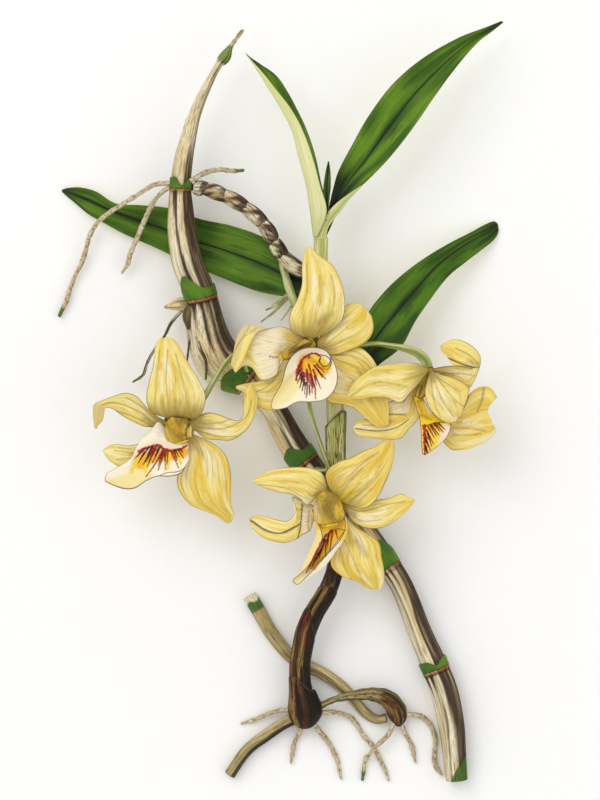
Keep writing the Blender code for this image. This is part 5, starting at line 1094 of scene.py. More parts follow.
def fibres(turns, at, count, length, seed=0.0):
    """Long fine noise round and along a stem, -1 to 1."""
    shape = np.broadcast_shapes(turns.shape, at.shape)
    across = count / (2 * math.pi)
    flow = np.stack(np.broadcast_arrays(np.cos(turns) * across, np.sin(turns) * across, at / length), axis=-1)
    return waves(flow.reshape(*shape, 3), 1.0, seed) * 1.6


class Piece:
    """Gathers lattices of points into one mesh, with a colour, grain coordinates and rim distance each."""

    def __init__(self, name):
        self.name = name.replace(" ", "_")
        self.points = []
        self.wash = []
        self.grain = []
        self.edge = []
        self.faces = []
        self.slots = []
        self.count = 0

    def add(self, points, wash, grain, edge):
        shape = points.shape[:2]
        size = shape[0] * shape[1]
        self.points.append(points.reshape(-1, 3))
        self.wash.append(np.broadcast_to(wash, (*shape, 3)).reshape(-1, 3))
        self.grain.append(grain.reshape(-1, 3))
        self.edge.append(np.broadcast_to(edge, shape).reshape(-1))
        index = np.arange(self.count, self.count + size).reshape(shape)
        self.count += size
        return index

    def cover(self, index, slot=0, closed=False):
        if closed:
            index = np.concatenate([index, index[:, :1]], axis=1)
        corners = [index[:-1, :-1], index[:-1, 1:], index[1:, 1:], index[1:, :-1]]
        quads = np.stack(corners, axis=-1).reshape(-1, 4)
        self.faces.append(quads)
        self.slots.append(np.full(len(quads), slot))

    def cap(self, ring, centre, wash, grain, slot=0):
        middle = self.add(centre.reshape(1, 1, 3), wash, grain.reshape(1, 1, 3), NO_RIM)[0, 0]
        loop = np.concatenate([ring, ring[:1]])
        self.faces.append(np.array([(a, b, middle, middle) for a, b in zip(loop, loop[1:])]))
        self.slots.append(np.full(len(ring), slot))

    def build(self, materials, nodes):
        points = np.concatenate(self.points) * MM
        points[:, 2] = np.maximum(points[:, 2], 0.0)
        mesh = bpy.data.meshes.new(self.name)
        faces = [face[:3] if face[2] == face[3] else face for block in self.faces for face in block.tolist()]
        mesh.from_pydata(points.tolist(), [], faces)
        for name, kind, values, field in (
            ("wash", "FLOAT_COLOR", np.concatenate(self.wash), "color"),
            ("grain", "FLOAT_VECTOR", np.concatenate(self.grain), "vector"),
            ("edge", "FLOAT", np.concatenate(self.edge), "value"),
        ):
            if field == "color":
                values = np.concatenate([values, np.ones((len(values), 1))], axis=1)
            layer = mesh.attributes.new(name, kind, "POINT")
            layer.data.foreach_set(field, np.ascontiguousarray(values, np.float32).ravel())
        for material in materials:
            mesh.materials.append(MATERIALS[material])
        mesh.polygons.foreach_set("material_index", np.concatenate(self.slots).astype(np.int32))
        shell = bmesh.new()
        shell.from_mesh(mesh)
        bmesh.ops.recalc_face_normals(shell, faces=shell.faces)
        shell.to_mesh(mesh)
        shell.free()
        mesh.shade_smooth()
        mesh.set_sharp_from_angle(angle=math.radians(SHARP_ANGLE))
        item = bpy.data.objects.new(self.name, mesh)
        bpy.context.scene.collection.objects.link(item)
        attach(item, "root")
        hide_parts(*nodes)


def sheet(piece, points, thickness, wash, under=None, turned=None):
    """A thin leaf-like solid round a lattice: front face in slot 0, back face in slot 1, rim in slot 0."""
    normals = facing(points)
    if turned is None:
        turned = bool(normals[..., 2].mean() < 0)
    if turned:
        normals = -normals
    u = shares(points)[0] * np.ones((len(points), 1))
    spans = lengths(points, 1)
    middle = points[:, points.shape[1] // 2]
    along = np.concatenate([[0.0], np.cumsum(np.linalg.norm(np.diff(middle, axis=0), axis=1))])
    end_gap = np.minimum(along[-1] - along, 99.0)[:, None]
    edge = np.minimum(np.minimum(u, 1 - u) * spans[:, None], end_gap + 0.15)
    thin = thickness * (RIM_SHARE + (1 - RIM_SHARE) * smooth(0.0, RIM_WIDTH, edge))[..., None]
    grain = np.stack([(u - 0.5) * spans.max(), np.zeros_like(u), along[:, None] * np.ones_like(u)], axis=-1)
    top = piece.add(points + normals * thin / 2, wash, grain, edge)
    low_wash = wash if under is None else under
    low = piece.add(points - normals * thin / 2, low_wash, grain + [0.0, BACK_GRAIN, 0.0], edge)
    piece.cover(top, 0)
    piece.cover(low, 1)
    for a, b in ((top[:, 0], low[:, 0]), (top[:, -1], low[:, -1]), (top[0], low[0]), (top[-1], low[-1])):
        piece.cover(np.stack([a, b], axis=1), 0)


class Stem:
    """A route with a radius: centre, two cross directions and radius at distances along it, in mm."""

    def __init__(self, route):
        self.route = np.array(route, float)
        self.knots = chords(self.route)
        self.length = self.knots[-1]
        self.steps = np.linspace(0, self.length, max(int(self.length / 1.0), 24) + 1)
        ahead = spline(self.route, self.knots, self.steps + 0.5)[:, :3]
        behind = spline(self.route, self.knots, self.steps - 0.5)[:, :3]
        self.tangents = ahead - behind
        self.tangents /= np.linalg.norm(self.tangents, axis=1, keepdims=True)
        upright = abs(self.tangents[0][2]) > 0.95
        side = np.cross([0.0, 1.0, 0.0] if upright else [0.0, 0.0, 1.0], self.tangents[0])
        sides = []
        for tangent in self.tangents:
            side = side - side.dot(tangent) * tangent
            side = side / np.linalg.norm(side)
            sides.append(side)
        self.sides = np.array(sides)

    def frames(self, at):
        at = np.asarray(at, float)
        inner = np.clip(at, 0, self.length)
        centre = spline(self.route, self.knots, inner)
        tangent = spline(self.tangents, self.steps, inner)
        tangent /= np.linalg.norm(tangent, axis=1, keepdims=True)
        side = spline(self.sides, self.steps, inner)
        side -= (side * tangent).sum(axis=1, keepdims=True) * tangent
        side /= np.linalg.norm(side, axis=1, keepdims=True)
        up = np.cross(tangent, side)
        place = centre[:, :3] + tangent * (at - inner)[:, None]
        return place, side, up, centre[:, 3]

    def lattice(self, at, turns, grow=0.0):
        """Points at distances along the stem (rows, or one value a point) and angles round it."""
        shape = np.broadcast_shapes(np.shape(at), np.shape(turns))
        distance = np.broadcast_to(at, shape).ravel()
        angle = np.broadcast_to(turns, shape).ravel()
        place, side, up, radius = self.frames(distance)
        reach = (radius + np.broadcast_to(grow, shape).ravel())[:, None]
        points = place + reach * (np.cos(angle)[:, None] * side + np.sin(angle)[:, None] * up)
        grain = np.stack([radius * np.cos(angle), radius * np.sin(angle), distance], axis=1)
        return points.reshape(*shape, 3), grain.reshape(*shape, 3)

    def nearest(self, x, y):
        at = np.linspace(0, self.length, 600)
        places = spline(self.route, self.knots, at)
        return at[np.argmin(np.hypot(places[:, 0] - x, places[:, 1] - y))]


def angles(count):
    return np.linspace(0, 2 * math.pi, count, endpoint=False)[None, :]


def tube(piece, stem, step, sides, wash, grow, slot, start_dome, end_dome):
    """The whole stem as a closed skin. wash and grow take the distances and angles."""
    at = np.linspace(0, stem.length, max(int(stem.length / step), 3) + 1)[:, None]
    turns = angles(sides)
    swell = grow(at, turns) if grow else 0.0
    points, grain = stem.lattice(at, turns, swell)
    colours = wash(at, turns, points)
    index = piece.add(points, colours, grain, NO_RIM)
    piece.cover(index, slot, closed=True)
    for row, dome in ((0, start_dome), (-1, end_dome)):
        centre = points[row].mean(axis=0)
        inward = points[1 if row == 0 else -2].mean(axis=0)
        outward = centre - inward
        outward /= max(np.linalg.norm(outward), 1e-9)
        radius = np.linalg.norm(points[row] - centre, axis=1).mean()
        ring = index[row]
        colour = colours[row].mean(axis=0)
        for share in (0.75, 0.4):
            lift = dome * radius * math.sqrt(1 - share * share)
            ringed = centre + (points[row] - centre) * share + outward * lift
            inner = piece.add(ringed[None], colour, grain[row][None] * [share, share, 1], NO_RIM)[0]
            piece.cover(np.stack([ring, inner]), slot, closed=True)
            ring = inner
        piece.cap(ring, centre + outward * dome * radius, colour, grain[row].mean(axis=0), slot)


def sleeve(piece, stem, start, end, flare, fit, wash, slot=0):
    """A sheath round the stem, from start to an end and with a flare that depend on the angle."""
    gap, thickness, sides, rows = fit
    turns = angles(sides)
    high = end(turns)
    share = np.linspace(0, 1, rows)[:, None]
    at = start + (high - start) * share
    rim = flare(share, turns)
    outer, grain = stem.lattice(at, turns, gap + thickness + rim)
    inner, _ = stem.lattice(at, turns, gap + rim)
    colours = wash(at, turns, outer)
    top = piece.add(outer, colours, grain, high - at)
    low_face = piece.add(inner, colours * INNER_SHADE, grain, NO_RIM)
    for face in (top, low_face, np.stack([top[-1], low_face[-1]]), np.stack([top[0], low_face[0]])):
        piece.cover(face, slot, closed=True)


def organic(name, tint, streak, width, length, fibre, veins=0.0, spacing=1.6, vein_tint=None, rim_shade=0.0,
            rim_shade_width=0.5, roughness=(0.42, 0.62), bump=0.25, hatch=0.0, hatch_tint=None, hatch_width=1.0,
            keel=0.0):
    """A plant surface: the painted wash, streaks, hatching, veins, a dark margin line of painted shade,
    roughness and bump.
    """
    material = bpy.data.materials.new(name)
    material.use_nodes = True
    tree = material.node_tree
    shader = tree.nodes["Principled BSDF"]
    link = tree.links.new

    def feed(socket, value):
        if hasattr(value, "default_value"):
            link(value, socket)
        else:
            socket.default_value = value

    def node(kind, **inputs):
        item = tree.nodes.new(kind)
        for key, value in inputs.items():
            feed(item.inputs[key], value)
        return item

    def attribute(label, output):
        item = tree.nodes.new("ShaderNodeAttribute")
        item.attribute_name = label
        return item.outputs[output]

    def math_node(operation, a, b=0.0, c=0.0):
        item = tree.nodes.new("ShaderNodeMath")
        item.operation = operation
        for socket, value in zip(item.inputs, (a, b, c)):
            feed(socket, value)
        return item.outputs[0]

    def ranged(value, low, high, start=0.0, end=1.0):
        item = tree.nodes.new("ShaderNodeMapRange")
        item.interpolation_type = "SMOOTHSTEP"
        link(value, item.inputs[0])
        for socket, number in zip(list(item.inputs)[1:5], (low, high, start, end)):
            socket.default_value = number
        return item.outputs[0]

    def blended(base, colour, amount, kind="MIX"):
        item = tree.nodes.new("ShaderNodeMix")
        item.data_type = "RGBA"
        item.blend_type = kind
        link(amount, item.inputs[0])
        link(base, item.inputs[6])
        item.inputs[7].default_value = (*colour, 1.0)
        return item.outputs[2]

    def grained(stretch):
        item = tree.nodes.new("ShaderNodeVectorMath")
        item.operation = "MULTIPLY"
        link(grain, item.inputs[0])
        item.inputs[1].default_value = stretch
        return item.outputs[0]

    def crosswise():
        """How far across the grain a point lies."""
        split = tree.nodes.new("ShaderNodeSeparateXYZ")
        link(grain, split.inputs[0])
        return split.outputs[0]

    def speckle(across, along, detail):
        """Noise that is stretched along the grain."""
        return node("ShaderNodeTexNoise", Vector=grained((across, across, along)), Scale=1.0, Detail=detail)

    wash = attribute("wash", "Color")
    grain = attribute("grain", "Vector")
    wide = speckle(1 / width, 1 / length, 3.0)
    fine = speckle(3.4 / width, 2.2 / length, 4.0)
    spots = speckle(0.35, 0.22, 3.0)
    streaks = ranged(wide.outputs[0], 0.5, 0.72)
    fibres = ranged(fine.outputs[0], 0.42, 0.66)
    shade = math_node("MULTIPLY", streaks, streak)
    shade = math_node("MULTIPLY_ADD", fibres, fibre, shade)
    colour = blended(wash, tint, shade, "MULTIPLY")
    pale = math_node("MULTIPLY", ranged(spots.outputs[0], 0.48, 0.75), 0.22)
    colour = blended(colour, SOFT_WHITE, pale, "SOFT_LIGHT")
    height = math_node("MULTIPLY_ADD", fibres, -0.5, math_node("MULTIPLY", streaks, -0.6))
    if hatch:
        lines = speckle(2.6 / hatch_width, 2.4 / length, 2.0)
        drawn = ranged(lines.outputs[0], 0.54, 0.62)
        colour = blended(colour, hatch_tint, math_node("MULTIPLY", drawn, hatch), "MULTIPLY")
        height = math_node("MULTIPLY_ADD", drawn, -0.6, height)
    if veins:
        place = math_node("MULTIPLY", crosswise(), 1 / spacing)
        bend = math_node("MULTIPLY_ADD", spots.outputs[0], 1.3, place)
        saw = math_node("ABSOLUTE", math_node("SUBTRACT", math_node("FRACT", bend), 0.5))
        line = ranged(saw, 0.43, 0.49)
        broken = ranged(wide.outputs[0], 0.36, 0.56)
        lines = math_node("MULTIPLY", math_node("MULTIPLY", line, broken), veins)
        colour = blended(colour, vein_tint, lines)
        height = math_node("MULTIPLY_ADD", line, -0.8, height)
    if keel:
        offset = math_node("SUBTRACT", crosswise(), 0.25)
        wander = math_node("MULTIPLY_ADD", wide.outputs[0], 0.5, offset)
        drawn = ranged(math_node("ABSOLUTE", wander), 0.3, 0.55, 1.0, 0.0)
        colour = blended(colour, KEEL_GREEN, math_node("MULTIPLY", drawn, keel))
    # A broken dark line along the margins: painted shade at the rims.
    if rim_shade:
        margin = ranged(attribute("edge", "Fac"), 0.0, rim_shade_width, 1.0, 0.0)
        broken = math_node("MULTIPLY", margin, ranged(spots.outputs[0], 0.3, 0.6))
        colour = blended(colour, RIM_SHADE_BROWN, math_node("MULTIPLY", broken, rim_shade))
    link(colour, shader.inputs["Base Color"])
    shader.inputs["Specular IOR Level"].default_value = 0.2
    link(ranged(fine.outputs[0], 0.3, 0.7, *roughness), shader.inputs["Roughness"])
    relief = node("ShaderNodeBump", Height=height, Strength=bump, Distance=0.0004)
    link(relief.outputs[0], shader.inputs["Normal"])
    return material


KEEL_GREEN = (0.004, 0.012, 0.003)
RIM_SHADE_BROWN = (0.10, 0.075, 0.035)
SOFT_WHITE = (1.0, 0.97, 0.88)
CREAM = linear(246, 236, 208)
PAPER = linear(230, 208, 158)
GREY_BROWN = linear(128, 112, 86)
# Dark brown: the colour of bark streaks, and of painted shade on stems, roots and stalks
BARK_AND_SHADE = linear(72, 56, 40)
CUFF_GREEN = linear(72, 112, 38)
RING_ORANGE = linear(190, 112, 52)
BLACK_SHADE = linear(26, 18, 12)
SHOOT_GREEN = linear(194, 196, 118)
SHEATH = linear(78, 48, 24)
LEAF_TOP = linear(62, 104, 6)
LEAF_LIGHT = linear(104, 142, 26)
LEAF_DARK = linear(12, 24, 2)
LEAF_UNDER = linear(226, 228, 160)
ROOT_TAN = linear(208, 192, 156)
ROOT_TIP = linear(92, 124, 52)
WIRY_BROWN = linear(96, 80, 52)
PALE_YELLOW = linear(247, 228, 142)
DEEP_YELLOW = linear(230, 192, 52)
PETAL_WHITE = linear(252, 247, 228)
PETAL_OLIVE = linear(140, 116, 40)
LIP_WHITE = linear(250, 240, 214)
GOLD = linear(240, 176, 22)
BRIGHT_YELLOW = linear(246, 208, 40)
DARK_RED = linear(148, 14, 6)
STRIPE_BLACK = linear(34, 12, 8)
COLUMN_OLIVE = linear(180, 150, 56)
SCALE_TAN = linear(190, 164, 118)
OLD_CANE = linear(186, 168, 116)
RHIZOME_OLIVE = linear(114, 100, 56)
PAPER_PALE = linear(252, 240, 206)
PAPER_HIGHLIGHT = linear(252, 236, 190)
TIP_GREEN = linear(124, 150, 64)
SCALE_GREEN = linear(150, 160, 84)
SCALE_BROWN = linear(84, 58, 46)
STALK_GREEN = linear(176, 184, 112)
STALK_PALE = linear(228, 228, 176)
BRACT_GREEN = linear(186, 192, 128)
SHOOT_PALE = linear(236, 232, 172)
SHEATH_OLIVE = linear(152, 126, 60)
SHEATH_RED = linear(150, 44, 16)
RHIZOME_PALE = linear(184, 168, 118)
BULB_RED = linear(128, 42, 18)
CLASP_GREEN = linear(196, 204, 124)
SEAT_OLIVE = linear(84, 70, 26)
COLUMN_GOLD = linear(226, 188, 72)
COLUMN_BROWN = linear(92, 76, 24)
COLUMN_LINE = linear(70, 54, 18)
COLUMN_SIDE_SHADE = linear(80, 62, 20)
PEDICEL_GREEN = linear(164, 172, 100)
PEDICEL_PALE = linear(226, 226, 170)

# Olive serves as olive streaks and as painted shade at the claws and on the columns' shaded sides; white as
# pale streaks and painted highlight; line as dark rims and folds, painted shade there.
PAINTS = {
    "gold": GOLD, "yellow": BRIGHT_YELLOW, "red": DARK_RED, "crescent": linear(168, 14, 8),
    "black": STRIPE_BLACK, "line": linear(58, 42, 20), "grey": linear(160, 146, 100), "olive": PETAL_OLIVE,
    "deep": DEEP_YELLOW, "white": PETAL_WHITE, "cream": linear(252, 240, 208), "tan": linear(222, 200, 140),
    "pink": linear(246, 220, 206), "pale": linear(242, 222, 140), "shade": linear(214, 208, 192),
}
SOFT_PAINTS = ("olive", "deep", "white", "shade")
SOFT_ON_COLUMNS = SOFT_PAINTS + ("gold", "yellow")
THIN_PAINTS = ("red", "black")
THIN_WIDTH = 1.5
BLUNT_PAINTS = ("gold", "pale", "yellow")

MATERIALS = {
    "cane": organic("papery cane", (0.36, 0.3, 0.22), 0.4, 0.8, 30.0, 0.35, roughness=(0.5, 0.72), bump=0.5,
                    hatch=0.6, hatch_tint=(0.26, 0.2, 0.13)),
    "cuff": organic("cuff", (0.4, 0.42, 0.26), 0.5, 0.8, 9.0, 0.25, rim_shade=0.9, rim_shade_width=0.8),
    "scale": organic("offshoot sheath", (0.26, 0.18, 0.12), 0.6, 0.7, 9.0, 0.4, rim_shade=0.9,
                     rim_shade_width=0.6, bump=0.4, hatch=0.8, hatch_tint=(0.16, 0.1, 0.07)),
    "shoot": organic("green shoot", (0.5, 0.5, 0.28), 0.55, 0.8, 24.0, 0.25, roughness=(0.36, 0.52),
                     hatch=0.55, hatch_tint=(0.28, 0.34, 0.14)),
    "sheath": organic("stem sheath", (0.3, 0.16, 0.1), 0.6, 0.6, 12.0, 0.3, rim_shade=0.95, rim_shade_width=0.8,
                      bump=0.4, hatch=0.85, hatch_tint=(0.12, 0.06, 0.04)),
    "old": organic("old cane", (0.4, 0.36, 0.24), 0.4, 0.8, 16.0, 0.3, bump=0.5, roughness=(0.5, 0.7),
                   hatch=0.6, hatch_tint=(0.26, 0.21, 0.12)),
    "root": organic("root", (0.42, 0.32, 0.22), 0.6, 1.0, 2.6, 0.45, bump=0.6, roughness=(0.6, 0.8)),
    "leaf": organic("leaf face", (0.46, 0.56, 0.36), 0.55, 1.5, 34.0, 0.3, veins=0.55, spacing=0.95,
                    vein_tint=(0.03, 0.06, 0.008), rim_shade=0.6, roughness=(0.34, 0.5),
                    hatch=0.6, hatch_tint=(0.34, 0.4, 0.18), hatch_width=0.6, keel=0.9),
    "leaf_back": organic("leaf underside", (0.7, 0.74, 0.46), 0.5, 1.5, 40.0, 0.2, veins=0.4, spacing=1.1,
                         vein_tint=(0.3, 0.36, 0.12), rim_shade=0.5),
    "petal": organic("petal face", (0.9, 0.74, 0.36), 0.45, 1.0, 15.0, 0.2, veins=0.45, spacing=1.45,
                     vein_tint=(0.36, 0.3, 0.12), rim_shade=0.5, rim_shade_width=0.35, roughness=(0.44, 0.58),
                     hatch=0.42, hatch_tint=(0.62, 0.52, 0.24), hatch_width=0.9),
    "petal_back": organic("petal underside", (0.88, 0.74, 0.42), 0.4, 1.0, 15.0, 0.16, veins=0.4, spacing=1.7,
                          vein_tint=(0.4, 0.33, 0.14), rim_shade=0.4, rim_shade_width=0.35,
                          roughness=(0.44, 0.58)),
    "lip": organic("lip", (0.92, 0.8, 0.56), 0.3, 0.8, 7.0, 0.1, rim_shade=0.7, rim_shade_width=0.35,
                   roughness=(0.4, 0.54)),
    "column": organic("column", (0.72, 0.6, 0.28), 0.4, 0.8, 12.0, 0.3, roughness=(0.34, 0.48),
                      hatch=0.45, hatch_tint=(0.3, 0.22, 0.07), hatch_width=0.8),
}


def across_view(stem, at, points):
    """How far each point lies to the right of its stem's middle, -1 to 1, and the stem's radius there."""
    place, _, _, radius = stem.frames(at.mean(axis=1))
    return (points[..., 0] - place[:, None, 0]) / (radius[:, None] + 0.3), radius


def faces_along(stem, at, turns, axis):
    """How far each point of a stem's skin faces along an axis, -1 to 1."""
    _, side, up, _ = stem.frames(at[:, 0])
    return np.cos(turns) * side[:, None, axis] + np.sin(turns) * up[:, None, axis]


def turned_from(turns, angle):
    return np.abs((turns - angle + math.pi) % (2 * math.pi) - math.pi)


def angle_towards(stem, at, direction):
    _, side, up, _ = stem.frames([at])
    direction = np.array(direction)
    return math.atan2(direction @ up[0], direction @ side[0])


def heading_vector(degrees, rise):
    return (math.cos(math.radians(degrees)), math.sin(math.radians(degrees)), rise)


def build_cane():
    stem = Stem(FLOWERING_CANE)
    piece = Piece("cane skin")
    rings = [stem.nearest(x, y) for x, y in CANE_RINGS]
    cone = [stem.nearest(x, y) for x, y in TIP_CONE]

    def grow(at, turns):
        _, _, _, radius = stem.frames(at[:, 0])
        ribs = 0.028 * np.cos(7 * turns) + 0.014 * np.cos(19 * turns + 0.05 * at)
        swell = radius[:, None] * (ribs + 0.01 * np.cos(31 * turns - 0.03 * at))
        for ring in rings:
            swell = swell + 0.35 * ridge(at, ring, 0.8)
        torn = smooth(cone[1], cone[1] + 2.0, at) * fibres(turns, at, 5, 1.6, 4.0)
        return swell + 0.35 * ridge(at, cone[0], 0.7) + 0.3 * torn

    def wash(at, turns, points):
        lean, radius = across_view(stem, at, points)
        broad = fibres(turns, at, 9, 46.0, 2.0)
        fine = fibres(turns, at, 26, 30.0, 5.0)
        body = smooth(3.0, 4.6, radius)[:, None]
        colours = plain(points, PAPER)
        # Paler towards the left of the cane as seen from above: painted highlight, over the sheath's pale
        # streaks.
        colours = mix(colours, PAPER_PALE, smooth(-0.38, 0.26, broad - 0.2 * lean))
        # Darker towards the right, grey-brown then dark brown: painted shade, over the sheath's dark streaks.
        dark = smooth(-0.1, 0.4, lean + 0.3 * broad + 0.4 * fine) * (0.2 + 0.8 * body)
        colours = mix(colours, GREY_BROWN, 0.9 * dark)
        shadow = 0.97 * smooth(0.1, 0.45, lean + 0.5 * fine + 0.15 * broad) * (0.05 + 0.95 * body)
        colours = mix(colours, BARK_AND_SHADE, shadow)
        colours = mix(colours, BARK_AND_SHADE, 0.8 * smooth(0.3, 0.5, fine) * smooth(-0.6, 0.2, broad + lean))
        # Fine grey-brown hairs on the right side only: painted shade in fine lines.
        hair = fibres(turns, at, 44, 24.0, 11.0)
        colours = mix(colours, GREY_BROWN, 0.75 * smooth(0.15, 0.4, hair) * smooth(0.0, 0.4, lean))
        # A warm pale wash on the left of the thin upper cane: painted highlight.
        colours = mix(colours, PAPER_HIGHLIGHT, 0.55 * (1 - body) * smooth(0.3, -0.2, lean + 0.4 * fine))
        for ring in rings:
            # Darker just below each ring, fading down the cane in streaks: painted shade below the ring's
            # ridge, over the sheath's streaks.
            below = np.where(at < ring, np.exp((at - ring) / 17.0), 0.0) * smooth(3.4, 5.0, radius)[:, None]
            below = 1.25 * below * smooth(-0.25, 0.35, fine + 0.4 * broad - 0.6 * (1 - below))
            colours = mix(colours, BARK_AND_SHADE, below)
            colours = mix(colours, RING_ORANGE, 0.95 * np.exp(-((at - ring) / 0.55) ** 4))
            colours = mix(colours, BLACK_SHADE, 0.9 * ridge(at, ring - 1.1, 0.5))
        # Darker at both edges as seen from above: painted shade at the rims.
        colours = mix(colours, BARK_AND_SHADE, 0.6 * smooth(0.86, 1.0, np.abs(lean)))
        tip = smooth(cone[0] - 0.2, cone[0] + 0.4, at) * (1 - smooth(cone[1] - 1.0, cone[1] + 0.5, at))
        colours = mix(colours, TIP_GREEN, 0.95 * tip)
        # Darker green on the right of the tip cone: painted shade.
        colours = mix(colours, CUFF_GREEN, 0.8 * tip * smooth(0.1, 0.5, lean + 0.3 * fine))
        colours = mix(colours, BLACK_SHADE, 0.85 * ridge(at, cone[0], 0.5))
        colours = mix(colours, SCALE_TAN, 0.9 * smooth(cone[1], cone[1] + 1.5, at))
        foot = FOOT_HEIGHT + 8.0 * lean
        colours = mix(colours, CUFF_GREEN, 0.95 * (1 - smooth(-1.0, 1.0, at - foot)))
        return mix(colours, BLACK_SHADE, 0.8 * ridge(at, foot, 0.5) * smooth(0.5, 2.0, at))

    tube(piece, stem, *CANE_SKIN, wash, grow, 0, 0.12, 0.6)
    for ring, (rise, lobe, heading, notch) in zip(rings, CANE_CUFF_SHAPES):
        lobe_angle = angle_towards(stem, ring, heading_vector(heading, 1.5))
        notch_angle = angle_towards(stem, ring, (0.1, 0.0, 1.0))

        def top(turns):
            raised = 1.25 * lobe * ridge(turned_from(turns, lobe_angle), 0.0, 0.66)
            dip = notch * ridge(turned_from(turns, notch_angle), 0.0, 0.4)
            return ring + rise + raised - dip + 0.25 * np.cos(5 * turns + ring)

        def cuff_wash(at, turns, points):
            streak = fibres(turns, at, 7, 9.0, ring) * 0.5 + 0.5
            colours = mix(plain(points, CUFF_GREEN), LEAF_LIGHT, 0.55 * smooth(0.45, 0.75, streak))
            return mix(colours, BLACK_SHADE, 0.8 * (1 - smooth(0.3, 1.0, at - ring)))

        def flare(share, turns):
            return 0.28 * share ** 2 + 0.12 * np.sin(math.pi * share)

        sleeve(piece, stem, ring + 0.3, top, flare, CUFF_FIT, cuff_wash, 1)
    piece.build(["cane", "cuff"], ["flowering_cane"])


def roots(name, routes, radius, tips, nodes, base):
    """Rough tubes that taper less and turn green at the tip where tips says so."""
    piece = Piece(name)
    for index, (route, green) in enumerate(zip(routes, tips)):
        end = radius * (0.7 if green else 0.5)
        stem = Stem([(*point, radius) for point in route[:-1]] + [(*route[-1], end)])

        def grow(at, turns):
            lumps = fibres(turns, at, 4, 4.6, index * 7.3)
            return radius * (0.16 * lumps + 0.14 * fibres(turns * 0, at, 3, 1.7, index * 3.1))

        def wash(at, turns, points):
            lean, _ = across_view(stem, at, points)
            rough = fibres(turns, at, 9, 1.1, index * 7.3)
            colours = plain(points, base)
            colours = mix(colours, CREAM, 0.6 * smooth(-0.2, 0.4, fibres(turns, at, 5, 9.0)))
            # Dark streaks leaning to the right as painted shade, then both edges as seen from above darkened:
            # painted shade at the rims.
            colours = mix(colours, BARK_AND_SHADE, 0.6 * smooth(0.3, 0.6, rough + 0.3 * lean))
            colours = mix(colours, BARK_AND_SHADE, 0.5 * smooth(0.75, 1.0, np.abs(lean + 0.15)))
            if green:
                colours = mix(colours, ROOT_TIP, 0.95 * smooth(-5.0, -2.5, at - stem.length))
            return colours

        tube(piece, stem, *ROOT_SKIN, wash, grow, 0, 0.3, 0.9)
    piece.build(["root"], nodes)


def build_buds():
    piece = Piece("node buds")
    for index, route in enumerate(NODE_BUDS):
        stem = Stem(route)

        def wash(at, turns, points):
            streak = fibres(turns, at, 10, 9.0, index * 3.0)
            base = PAPER if index == 0 else RHIZOME_OLIVE
            colours = mix(plain(points, base), BARK_AND_SHADE, 0.7 * smooth(0.25, 0.6, streak))
            return mix(colours, BARK_AND_SHADE, 0.6 * smooth(0.85, 1.0, at / stem.length))

        def grow(at, turns):
            return (0.5 + 0.2 * np.cos(4 * turns + index)) * np.sin(math.pi * at / stem.length)

        tube(piece, stem, *BUD_SKIN, wash, grow, 0, 0.3, 0.9)
    piece.build(["cuff"], ["flowering_cane"])


def build_offshoot():
    piece = Piece("offshoot sheaths")
    stem = Stem([(*point, OFFSHOOT_WAIST) for point in OFFSHOOT])

    def inner(at, turns, points):
        return plain(points, BARK_AND_SHADE)

    tube(piece, stem, *OFFSHOOT_SKIN, inner, None, 0, 0.5, 0.7)
    marks = [stem.nearest(x, y) for x, y in OFFSHOOT_MARKS]
    for index, (low, high) in enumerate(zip(marks, marks[1:])):
        span = high - low

        def bulge(share, turns):
            belly = OFFSHOOT_BELLY * np.sin(math.pi * np.clip(share * 0.9 + 0.06, 0, 1)) ** 0.75
            folds = 0.14 * np.cos(5 * turns + 2.5 * share + index) + 0.05 * np.cos(13 * turns + 3 * share)
            return belly + folds

        def wash(at, turns, points):
            share = (at - low) / span
            lean, _ = across_view(stem, at, points)
            streak = fibres(turns + 1.9 * share, at, 7, 14.0, index * 4.0)
            colours = plain(points, SCALE_GREEN if index == GREEN_SCALE else SCALE_TAN)
            # Cream on the left and dark brown then black on the right as seen from above: painted highlight
            # and painted shade, over the scales' twisted streaks.
            colours = mix(colours, CREAM, 0.85 * smooth(-0.05, 0.3, streak - 0.4 * lean))
            colours = mix(colours, SCALE_BROWN, 0.95 * smooth(0.0, 0.22, -streak + 0.5 * lean))
            colours = mix(colours, BARK_AND_SHADE, 0.9 * smooth(0.6, 0.9, share + 0.5 * streak))
            return mix(colours, BLACK_SHADE, 0.85 * smooth(0.6, 1.0, lean + 0.2 * streak))

        def top(turns):
            return high + 1.3 * np.cos(turns + index * 2.4)

        start = max(low - 0.12 * span, 0.0)
        sleeve(piece, stem, start, top, bulge, SCALE_FIT, wash)
    piece.build(["scale"], ["offshoot"])


def build_offshoot_stalk():
    piece = Piece("offshoot stalk")
    stem = Stem(STALK_TOP + OFFSHOOT_STALK)

    def wash(at, turns, points):
        streak = fibres(turns, at, 8, 20.0, 1.0)
        colours = plain(points, STALK_GREEN)
        colours = mix(colours, STALK_PALE, 0.7 * smooth(0.0, 0.4, streak))
        return mix(colours, CUFF_GREEN, 0.7 * smooth(0.15, 0.5, -streak))

    tube(piece, stem, *STALK_SKIN, wash, lambda at, turns: 0.09 * np.cos(5 * turns), 0, 0.3, 0.6)
    for index, route in enumerate(BRACTS + WISPS):
        wisp = Stem(route)

        def wisp_wash(at, turns, points):
            streak = fibres(turns, at, 5, 5.0, index)
            colours = mix(plain(points, BRACT_GREEN), CREAM, 0.6 * smooth(-0.1, 0.3, streak))
            return mix(colours, SCALE_TAN, 0.7 * smooth(0.6, 1.0, at / wisp.length))

        tube(piece, wisp, *WISP_SKIN, wisp_wash, None, 1, 0.3, 0.8)
    piece.build(["shoot", "scale"], ["offshoot_stalk"])


